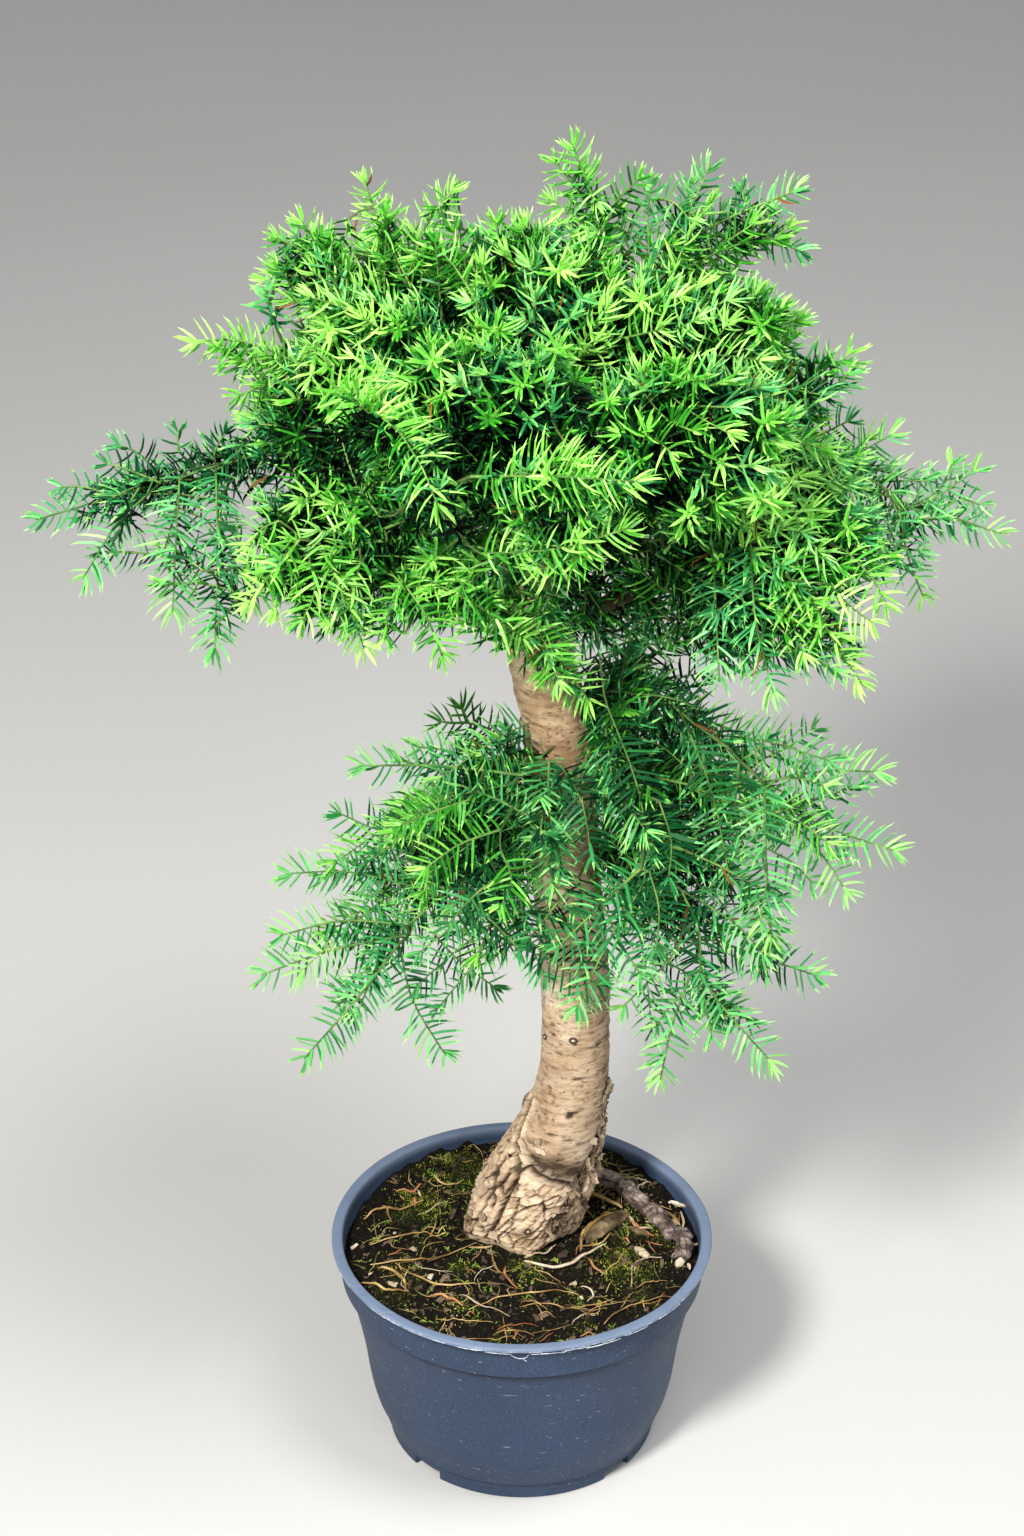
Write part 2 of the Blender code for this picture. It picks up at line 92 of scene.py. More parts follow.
BOUGHS = {
    "bough_left": (0.478, (-0.090, -0.015, 0.575), 0.0062, 0.006),
    "bough_right": (0.470, (0.116, -0.010, 0.550), 0.0064, -0.008),
    "bough_front": (0.496, (-0.016, -0.085, 0.600), 0.0050, 0.006),
    "bough_front_right": (0.488, (0.070, -0.080, 0.591), 0.0052, 0.006),
    "bough_back": (0.482, (0.008, 0.098, 0.564), 0.0058, -0.004),
    "bough_front_left": (0.458, (-0.089, -0.050, 0.533), 0.0054, -0.006),
    "bough_right_low": (0.448, (0.117, -0.050, 0.521), 0.0052, -0.008),
    "bough_arch": (0.408, (0.060, -0.008, 0.422), 0.0048, -0.006),
    "bough_low_right": (0.336, (0.080, -0.005, 0.316), 0.0042, -0.003),
    "bough_low_right_rear": (0.368, (0.084, 0.055, 0.340), 0.0044, -0.006),
    "bough_low_left": (0.388, (-0.020, -0.030, 0.400), 0.0040, -0.002),
    "bough_low_left_rear": (0.322, (-0.045, 0.055, 0.305), 0.0044, -0.004),
}
BOUGH_TAPER = 0.45

# ---------------------------------------------------------------- camera, floor and light
PITCH = math.radians(30.27)
camera_data = bpy.data.cameras.new("camera")
camera_data.lens = 93.75
camera_data.sensor_width = 36.0
camera_data.sensor_fit = "AUTO"
camera_data.clip_start = 0.05
camera_data.clip_end = 30.0
camera = bpy.data.objects.new("camera", camera_data)
camera.location = (-0.0049, -1.6117, 1.3240)
camera.rotation_euler = (math.pi / 2 - PITCH, 0, 0)
bpy.context.scene.collection.objects.link(camera)
bpy.context.scene.camera = camera


# ---------------------------------------------------------------- material helpers
class Nodes:
    """A short way to write a node tree."""

    def __init__(self, name):
        self.material = bpy.data.materials.new(name)
        self.material.use_nodes = True
        self.tree = self.material.node_tree
        self.shader = self.tree.nodes["Principled BSDF"]

    def node(self, kind, **settings):
        made = self.tree.nodes.new(kind)
        for key, value in settings.items():
            setattr(made, key, value)
        return made

    def link(self, out, into):
        self.tree.links.new(out, into)

    def coordinates(self):
        return self.node("ShaderNodeTexCoord").outputs["Object"]

    def mapped(self, scale=(1, 1, 1), rotation=(0, 0, 0)):
        m = self.node("ShaderNodeMapping")
        m.inputs["Scale"].default_value = scale
        m.inputs["Rotation"].default_value = rotation
        self.link(self.coordinates(), m.inputs["Vector"])
        return m.outputs["Vector"]

    def noise(self, scale, detail=3.0, roughness=0.55, vector=None, distortion=0.0):
        n = self.node("ShaderNodeTexNoise")
        n.inputs["Scale"].default_value = scale
        n.inputs["Detail"].default_value = detail
        n.inputs["Roughness"].default_value = roughness
        n.inputs["Distortion"].default_value = distortion
        self.link(vector if vector is not None else self.coordinates(), n.inputs["Vector"])
        return n.outputs["Fac"]

    def ramp(self, value, stops, interpolation="LINEAR"):
        r = self.node("ShaderNodeValToRGB")
        r.color_ramp.interpolation = interpolation
        while len(r.color_ramp.elements) < len(stops):
            r.color_ramp.elements.new(0.5)
        for element, (place, colour) in zip(r.color_ramp.elements, stops):
            element.position = place
            element.color = (*colour, 1) if len(colour) == 3 else colour
        self.link(value, r.inputs["Fac"])
        return r.outputs["Color"]

    def mix(self, fac, a, b, blend="MIX"):
        m = self.node("ShaderNodeMix", data_type="RGBA", blend_type=blend)
        for value, socket in ((fac, m.inputs[0]), (a, m.inputs[6]), (b, m.inputs[7])):
            if isinstance(value, (int, float)):
                socket.default_value = value
            elif isinstance(value, tuple):
                socket.default_value = (*value, 1) if len(value) == 3 else value
            else:
                self.link(value, socket)
        return m.outputs[2]

    def maths(self, operation, a, b=0.0):
        m = self.node("ShaderNodeMath", operation=operation)
        for value, socket in ((a, m.inputs[0]), (b, m.inputs[1])):
            if isinstance(value, (int, float)):
                socket.default_value = value
            else:
                self.link(value, socket)
        return m.outputs[0]

    def attribute(self, name):
        return self.node("ShaderNodeAttribute", attribute_name=name).outputs["Fac"]

    def bump(self, height, strength, distance):
        b = self.node("ShaderNodeBump")
        b.inputs["Strength"].default_value = strength
        b.inputs["Distance"].default_value = distance
        self.link(height, b.inputs["Height"])
        self.link(b.outputs["Normal"], self.shader.inputs["Normal"])

    def finish(self, colour=None, roughness=None, specular=None):
        if colour is not None:
            if isinstance(colour, tuple):
                self.shader.inputs["Base Color"].default_value = (*colour, 1)
            else:
                self.link(colour, self.shader.inputs["Base Color"])
        if roughness is not None:
            if isinstance(roughness, (int, float)):
                self.shader.inputs["Roughness"].default_value = roughness
            else:
                self.link(roughness, self.shader.inputs["Roughness"])
        if specular is not None:
            self.shader.inputs["Specular IOR Level"].default_value = specular
        return self.material


def piece(name, points, faces, material, smooth=False, replaces=(), attributes=None, crease=None):
    """A mesh piece of triangles or quads that rides on the root."""
    mesh = bpy.data.meshes.new(name)
    points = np.ascontiguousarray(points, np.float32)
    faces = np.ascontiguousarray(faces, np.int32)
    sides = faces.shape[1]
    mesh.vertices.add(len(points))
    mesh.vertices.foreach_set("co", points.ravel())
    mesh.loops.add(faces.size)
    mesh.loops.foreach_set("vertex_index", faces.ravel())
    mesh.polygons.add(len(faces))
    mesh.polygons.foreach_set("loop_start", np.arange(0, faces.size, sides, dtype=np.int32))
    mesh.polygons.foreach_set("use_smooth", np.full(len(faces), smooth, bool))
    mesh.update(calc_edges=True)
    if crease is not None:
        mesh.set_sharp_from_angle(angle=math.radians(crease))
    for key, values in (attributes or {}).items():
        layer = mesh.attributes.new(key, "FLOAT", "POINT")
        layer.data.foreach_set("value", np.ascontiguousarray(values, np.float32))
    mesh.materials.append(material)
    obj = bpy.data.objects.new(name, mesh)
    bpy.context.scene.collection.objects.link(obj)
    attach(obj, "root")
    if replaces:
        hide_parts(*replaces)
    return obj


def unit(v):
    v = np.asarray(v, float)
    return v / np.maximum(np.linalg.norm(v, axis=-1, keepdims=True), 1e-12)


def lattice_noise(points, seed=0):
    """Smooth noise from -1 to 1 at points, from hashed lattice values."""
    cell = np.floor(points).astype(np.int64)
    part = points - cell
    part = part * part * (3 - 2 * part)
    out = np.zeros(len(points))
    for corner in range(8):
        offset = np.array(((corner >> 0) & 1, (corner >> 1) & 1, (corner >> 2) & 1))
        at = cell + offset
        h = (at[:, 0] * 73856093) ^ (at[:, 1] * 19349663) ^ (at[:, 2] * 83492791) ^ (seed * 2654435761)
        h = (h ^ (h >> 13)) * 1274126177 & 0xFFFFFFFF
        h = (h ^ (h >> 16)) & 0xFFFF
        weight = np.prod(np.where(offset, part, 1 - part), axis=1)
        out += weight * (h / 32767.5 - 1)
    return out


def fractal(points, octaves=3, seed=0):
    out, scale, total = 0.0, 1.0, 0.0
    for k in range(octaves):
        out = out + lattice_noise(points / scale, seed + k) * scale
        total += scale
        scale /= 2
    return out / total


def catmull(points, count):
    """A smooth curve through points, sampled evenly along its length, with its unit tangents."""
    p = np.asarray(points, float)
    if len(p) == 2:
        p = np.array((p[0], (p[0] + p[1]) / 2, p[1]))
    ends = np.vstack((p[:1] * 2 - p[1:2], p, p[-1:] * 2 - p[-2:-1]))
    t = np.linspace(0, 1, 9)[:-1, None]
    rows = []
    for i in range(len(p) - 1):
        a, b, c, d = ends[i : i + 4]
        rows.append((b * 2 + (c - a) * t + (a * 2 - b * 5 + c * 4 - d) * t**2 + (b * 3 - a - c * 3 + d) * t**3) / 2)
    rows.append(p[-1:])
    dense = np.vstack(rows)
    lengths = np.concatenate(((0,), np.cumsum(np.linalg.norm(np.diff(dense, axis=0), axis=1))))
    want = np.linspace(0, lengths[-1], count)
    out = np.stack([np.interp(want, lengths, dense[:, k]) for k in range(3)], 1)
    return out, unit(np.gradient(out, axis=0)), lengths[-1]


def tube_arrays(curve, radii, sides, start_angle=0.0):
    """Points and quads of a tube along a sampled curve, without caps."""
    tangent = unit(np.gradient(curve, axis=0))
    side = np.cross(tangent[0], (0.31, 0.17, 0.93))
    if np.linalg.norm(side) < 0.1:
        side = np.cross(tangent[0], (0.9, 0.1, 0.1))
    side = unit(side)
    rings = []
    angles = np.arange(sides) * math.tau / sides + start_angle
    for point, along, radius in zip(curve, tangent, radii):
        side = unit(side - along * np.dot(side, along))
        other = np.cross(along, side)
        rings.append(point + radius * (np.cos(angles)[:, None] * side + np.sin(angles)[:, None] * other))
    points = np.vstack(rings)
    n, m = len(curve), sides
    i = np.arange(n - 1)[:, None] * m
    j = np.arange(m)[None, :]
    k = (j + 1) % m
    faces = np.stack((i + j, i + k, i + m + k, i + m + j), -1).reshape(-1, 4)
    return points, faces


class Bag:
    """Collects small meshes of one kind into one."""

    def __init__(self):
        self.points, self.faces, self.count, self.values = [], [], 0, []

    def add(self, points, faces, value=None):
        self.points.append(points)
        self.faces.append(faces + self.count)
        if value is not None:
            self.values.append(np.full(len(points), value))
        self.count += len(points)

    def arrays(self):
        return np.vstack(self.points), np.vstack(self.faces)


# ---------------------------------------------------------------- stage
def stage_piece():
    material = Nodes("studio_floor")
    tone = material.noise(1.3, 2.0)
    colour = material.ramp(tone, ((0.3, (0.60, 0.595, 0.58)), (0.7, (0.64, 0.635, 0.62))))
    floor_material = material.finish(colour, 0.85)
    mesh = bpy.data.meshes.new("floor")
    rows = [(-4.5, 0.0), (3.4, 0.0)]
    rows += [(3.4 + 0.9 * math.sin(a), 0.9 - 0.9 * math.cos(a)) for a in np.linspace(0.1, math.pi / 2, 14)]
    rows += [(4.3, 4.2)]
    points = [(x, y, z - 0.0002) for x in (-4.0, 4.0) for y, z in rows]
    n = len(rows)
    faces = [(i, n + i, n + i + 1, i + 1) for i in range(n - 1)]
    mesh.from_pydata(points, [], faces)
    for polygon in mesh.polygons:
        polygon.use_smooth = True
    mesh.materials.append(floor_material)
    floor = bpy.data.objects.new("floor", mesh)
    bpy.context.scene.collection.objects.link(floor)


stage_piece()

world = bpy.data.worlds.new("studio")
world.use_nodes = True
world.node_tree.nodes["Background"].inputs["Color"].default_value = (0.93, 0.96, 1.0, 1)
world.node_tree.nodes["Background"].inputs["Strength"].default_value = 0.27
bpy.context.scene.world = world


def area_light(name, place, aim, size, power, colour):
    data = bpy.data.lights.new(name, "AREA")
    data.shape = "DISK"
    data.size = size
    data.energy = power
    data.color = colour
    obj = bpy.data.objects.new(name, data)
    obj.location = place
    obj.rotation_euler = (Vector(aim) - Vector(place)).to_track_quat("-Z", "Y").to_euler()
    bpy.context.scene.collection.objects.link(obj)


area_light("key", (-0.72, -1.32, 1.72), (0, 0, 0.42), 0.40, 55.0, (1.0, 0.98, 0.94))
area_light("fill", (0.95, -1.75, 0.75), (0, 0, 0.33), 0.9, 9.5, (0.95, 0.975, 1.0))
area_light("top", (0.50, -0.42, 1.95), (0, 0, 0.50), 0.7, 21.0, (1.0, 1.0, 0.98))

bpy.context.scene.view_settings.view_transform = "Standard"
bpy.context.scene.view_settings.look = "None"


# ---------------------------------------------------------------- bark materials
def bark_material():
    m = Nodes("bark")
    bands = m.noise(230.0, 4.0, 0.6, m.mapped((0.28, 0.28, 1.0)))
    patches = m.noise(34.0, 4.0, 0.6)
    base = m.ramp(
        patches,
        ((0.32, (0.39, 0.245, 0.145)), (0.46, (0.565, 0.405, 0.262)), (0.58, (0.670, 0.520, 0.365)), (0.72, (0.79, 0.665, 0.520))),
    )
    bands_colour = m.ramp(bands, ((0.36, (0.40, 0.31, 0.22)), (0.47, (0.92, 0.89, 0.85)), (0.66, (1.10, 1.08, 1.04))))
    base = m.mix(0.62, base, bands_colour, "MULTIPLY")
    specks = m.noise(760.0, 2.0, 0.5, m.mapped((0.40, 0.40, 1.0)))
    speck_mask = m.ramp(specks, ((0.63, (0, 0, 0)), (0.68, (1, 1, 1))))
    base = m.mix(m.maths("MULTIPLY", speck_mask, 0.70), base, (0.13, 0.072, 0.040))
    # fine dark wrinkles that run round the stem, broken into lengths
    for scale, reach, strength in ((170.0, 0.018, 0.52), (360.0, 0.030, 0.42)):
        wrinkle = m.noise(scale, 2.0, 0.50, m.mapped((0.07, 0.07, 1.0)), 0.30)
        line = m.ramp(wrinkle, ((0.5 - reach, (0, 0, 0)), (0.5, (1, 1, 1)), (0.5 + reach, (0, 0, 0))))
        parts = m.ramp(m.noise(scale * 0.16, 2.0, 0.5), ((0.42, (0.15, 0.15, 0.15)), (0.58, (1, 1, 1))))
        base = m.mix(m.maths("MULTIPLY", m.maths("MULTIPLY", line, parts), strength), base, (0.18, 0.098, 0.050))
    low = m.attribute("low")
    # stains and hair-thin creases of the rough foot
    stain = m.ramp(m.noise(95.0, 4.0, 0.65), ((0.50, (0, 0, 0)), (0.64, (0.50, 0.50, 0.50))))
    base = m.mix(m.maths("MULTIPLY", stain, low), base, (0.300, 0.190, 0.112))
    for scale, reach, strength in ((150.0, 0.018, 0.72), (330.0, 0.026, 0.55)):
        crease = m.noise(scale, 3.0, 0.60, m.mapped((1.0, 1.0, 0.42), (0.10, -0.14, 0.0)), 0.55)
        line = m.ramp(crease, ((0.5 - reach, (0, 0, 0)), (0.5, (1, 1, 1)), (0.5 + reach, (0, 0, 0))))
        base = m.mix(m.maths("MULTIPLY", m.maths("MULTIPLY", line, low), strength), base, (0.075, 0.042, 0.024))
    crest = m.attribute("crest")
    base = m.mix(m.ramp(crest, ((0.0, (0, 0, 0)), (1.0, (0.74, 0.74, 0.74)))), base, (0.94, 0.765, 0.575))
    # darker in the bark's cracks, pits, wrinkles and seams, partly the bark's own colour and partly painted shade;
    # painted shade also on the stem's sides and under loose flakes
    dark_and_painted_shade = m.attribute("dark_and_painted_shade")
    base = m.mix(m.ramp(dark_and_painted_shade, ((0.0, (0, 0, 0)), (0.85, (0.96, 0.96, 0.96)))), base, (0.040, 0.022, 0.012))
    green = m.noise(55.0, 3.0)
    base = m.mix(m.maths("MULTIPLY", m.ramp(green, ((0.58, (0, 0, 0)), (0.72, (0.8, 0.8, 0.8)))), low), base, (0.16, 0.150, 0.060))
    base = m.mix(low, base, (1.06, 0.99, 0.90), "MULTIPLY")
    # painted light: the upper stem, which the crown shades, is made paler
    base = m.mix(m.attribute("high"), base, (1.30, 1.27, 1.20), "MULTIPLY")
    roughness = m.ramp(bands, ((0.3, (0.86, 0.86, 0.86)), (0.7, (0.62, 0.62, 0.62))))
    height = m.noise(650.0, 5.0, 0.65, m.mapped((0.45, 0.45, 1.0)))
    m.bump(height, 0.55, 0.0006)
    return m.finish(base, roughness, 0.25)


def bough_material():
    m = Nodes("bough_bark")
    patches = m.noise(90.0, 4.0, 0.6)
    base = m.ramp(patches, ((0.3, (0.040, 0.024, 0.013)), (0.5, (0.085, 0.052, 0.026)), (0.7, (0.150, 0.096, 0.050))))
    m.bump(m.noise(900.0, 3.0, 0.6), 0.5, 0.0004)
    return m.finish(base, 0.78, 0.25)


def root_material():
    m = Nodes("weathered_root")
    streaks = m.noise(260.0, 4.0, 0.6, m.mapped((0.35, 1.0, 1.0)))
    base = m.ramp(streaks, ((0.36, (0.100, 0.066, 0.050)), (0.5, (0.290, 0.210, 0.180)), (0.62, (0.58, 0.470, 0.420))))
    dark_and_painted_shade = m.attribute("dark_and_painted_shade")
    base = m.mix(m.ramp(dark_and_painted_shade, ((0.0, (0, 0, 0)), (1.0, (0.85, 0.85, 0.85)))), base, (0.035, 0.024, 0.018))
    m.bump(m.noise(800.0, 4.0, 0.6, m.mapped((0.4, 1.0, 1.0))), 0.5, 0.0005)
    return m.finish(base, 0.82, 0.25)


BARK, BOUGH_BARK, ROOT_BARK = bark_material(), bough_material(), root_material()


# ---------------------------------------------------------------- trunk
def dense_rows(rows, steps):
    """Catmull-Rom through table rows."""
    p = np.vstack((rows[:1] * 2 - rows[1:2], rows, rows[-1:] * 2 - rows[-2:-1]))
    t = np.linspace(0, 1, steps + 1)[:-1, None]
    out = []
    for i in range(len(rows) - 1):
        a, b, c, d = p[i : i + 4]
        out.append((b * 2 + (c - a) * t + (a * 2 - b * 5 + c * 4 - d) * t**2 + (b * 3 - a - c * 3 + d) * t**3) / 2)
    out.append(rows[-1:])
    return np.vstack(out)


TRUNK_ROWS = dense_rows(TRUNK_STATIONS, 10)


def trunk_at(z):
    z = np.asarray(z, float)
    return [np.interp(z, TRUNK_ROWS[:, 0], TRUNK_ROWS[:, k]) for k in (1, 2, 3)]


# angle in degrees, height, half-width across, half-height, relief, darkness
TRUNK_MARKS = (
    (168, 0.4100, 0.0052, 0.0060, -0.0022, 1.0),
    (160, 0.4165, 0.0060, 0.0030, 0.0016, 0.1),
    (174, 0.4030, 0.0055, 0.0026, 0.0014, 0.3),
    (-94, 0.2303, 0.0034, 0.0026, 0.0010, 0.15),
    (-62, 0.2262, 0.0022, 0.0018, 0.0010, 0.2),
    (-118, 0.2218, 0.0020, 0.0014, 0.0009, 0.5),
    (178, 0.1825, 0.0046, 0.0042, 0.0030, 0.7),
    (-85, 0.1860, 0.0046, 0.0020, -0.0007, 0.85),
    (-85, 0.1882, 0.0044, 0.0013, 0.0007, 0.0),
    (-90, 0.1216, 0.0030, 0.0026, -0.0008, 0.75),
    (-131, 0.1530, 0.0026, 0.0020, -0.0016, 1.0),
    (-124, 0.1605, 0.0022, 0.0012, -0.0010, 0.8),
    (-111, 0.1741, 0.0026, 0.0009, -0.0008, 0.8),
    (-84, 0.1718, 0.0030, 0.0008, -0.0007, 0.7),
    (-147, 0.2278, 0.0022, 0.0018, 0.0011, 0.4),
    (-120, 0.2290, 0.0060, 0.0007, 0.0006, 0.3),
    (-112, 0.2425, 0.0024, 0.0014, -0.0006, 0.8),
    (-74, 0.2795, 0.0030, 0.0018, 0.0008, 0.5),
    (-110, 0.3105, 0.0026, 0.0016, 0.0008, 0.5),
    (-60, 0.3460, 0.0026, 0.0016, 0.0008, 0.6),
    (-128, 0.3830, 0.0030, 0.0018, 0.0009, 0.5),
    (-84, 0.2065, 0.0028, 0.0010, -0.0004, 0.7),
    (60, 0.2400, 0.0032, 0.0022, 0.0011, 0.6),
    (110, 0.3000, 0.0030, 0.0020, 0.0011, 0.6),
    (20, 0.3600, 0.0030, 0.0020, 0.0011, 0.6),
    (80, 0.1900, 0.0040, 0.0022, 0.0014, 0.6),
)


def spread(candidates, spacing, taken=()):
    """Greedy spacing of candidate points; returns the indices kept."""
    cell = spacing
    grid = {}

    def near(p):
        key = tuple(np.floor(p / cell).astype(int))
        for i in (-1, 0, 1):
            for j in (-1, 0, 1):
                for k in (-1, 0, 1):
                    for q in grid.get((key[0] + i, key[1] + j, key[2] + k), ()):
                        if (p[0] - q[0]) ** 2 + (p[1] - q[1]) ** 2 + (p[2] - q[2]) ** 2 < spacing * spacing:
                            return True
        return False

    for p in taken:
        grid.setdefault(tuple(np.floor(np.asarray(p) / cell).astype(int)), []).append(tuple(p))
    kept = []
    for index, p in enumerate(candidates):
        if near(p):
            continue
        kept.append(index)
        grid.setdefault(tuple(np.floor(p / cell).astype(int)), []).append(tuple(p))
    return kept


# creases of the foot: half-width, depth, darkness, lip, and points as (degrees, height)
TRUNK_SEAMS = (
    (0.0010, 0.0022, 0.95, 0.6, ((-166, 0.1870), (-165, 0.1731), (-157.6, 0.1629), (-140, 0.1568), (-129.7, 0.1527), (-127.1, 0.1428), (-126.4, 0.1348), (-125.1, 0.1241), (-127.9, 0.1104))),
    (0.0007, 0.0012, 0.85, 0.7, ((-129.7, 0.1527), (-119.6, 0.1560), (-108, 0.1532), (-93.2, 0.1518), (-78, 0.1490), (-64.3, 0.1466), (-40.8, 0.1397))),
    (0.0006, 0.0010, 0.80, 0.5, ((-172.5, 0.1174), (-169.4, 0.1289), (-162.9, 0.1397), (-157.0, 0.1511), (-150, 0.1580))),
    (0.0006, 0.0009, 0.75, 0.5, ((-146, 0.1100), (-144.5, 0.1179), (-145.1, 0.1303), (-144.0, 0.1403), (-138, 0.1500))),
    (0.0005, 0.0009, 0.80, 0.6, ((-128, 0.1120), (-114.7, 0.1234), (-108.4, 0.1316), (-95.6, 0.1371), (-79.3, 0.1415), (-66, 0.1425))),
    (0.0005, 0.0008, 0.75, 0.5, ((-122, 0.1080), (-115.0, 0.1159), (-107.7, 0.1231), (-109.4, 0.1303), (-114, 0.1390))),
    (0.0005, 0.0008, 0.75, 0.5, ((-84, 0.1120), (-73.7, 0.1232), (-65.0, 0.1296), (-55.6, 0.1363))),
    (0.0005, 0.0007, 0.70, 0.4, ((-100, 0.1090), (-96, 0.1150), (-86, 0.1180), (-80, 0.1260), (-82, 0.1340), (-90, 0.1390))),
    (0.0005, 0.0007, 0.70, 0.4, ((-60, 0.1090), (-56, 0.1180), (-48, 0.1260), (-46, 0.1340))),
    (0.0006, 0.0010, 0.75, 0.5, ((150, 0.1110), (156, 0.1230), (166, 0.1360), (162, 0.1500), (170, 0.1640))),
    (0.0006, 0.0010, 0.75, 0.5, ((100, 0.1100), (112, 0.1230), (108, 0.1370), (122, 0.1520), (118, 0.1660))),
    (0.0006, 0.0010, 0.75, 0.5, ((50, 0.1110), (62, 0.1240), (58, 0.1400), (74, 0.1530))),
    (0.0006, 0.0010, 0.75, 0.5, ((0, 0.1100), (14, 0.1220), (10, 0.1380), (24, 0.1500), (20, 0.1660))),
    (0.0005, 0.0008, 0.70, 0.5, ((128, 0.1110), (134, 0.1290), (144, 0.1420), (140, 0.1560))),
    (0.0005, 0.0008, 0.70, 0.5, ((76, 0.1110), (84, 0.1290), (92, 0.1420), (88, 0.1560))),
    (0.0005, 0.0008, 0.70, 0.5, ((-24, 0.1110), (-16, 0.1290), (-22, 0.1420))),
)
# how high the rough foot reaches, by degrees
ROUGH_TOP = ((-180, 0.186), (-166, 0.183), (-157, 0.165), (-140, 0.158), (-129, 0.153), (-119, 0.156), (-108, 0.1535), (-93, 0.152), (-64, 0.147), (-41, 0.141), (-24, 0.160), (0, 0.176), (60, 0.170), (100, 0.178), (140, 0.172), (180, 0.186))


def from_line(u, v, line):
    """Distance of each (u, v) from a broken line."""
    best = np.full(u.shape, 9.0)
    for (u0, v0), (u1, v1) in zip(line[:-1], line[1:]):
        du, dv = u1 - u0, v1 - v0
        t = np.clip(((u - u0) * du + (v - v0) * dv) / (du * du + dv * dv), 0, 1)
        best = np.minimum(best, np.hypot(u - u0 - t * du, v - v0 - t * dv))
    return best


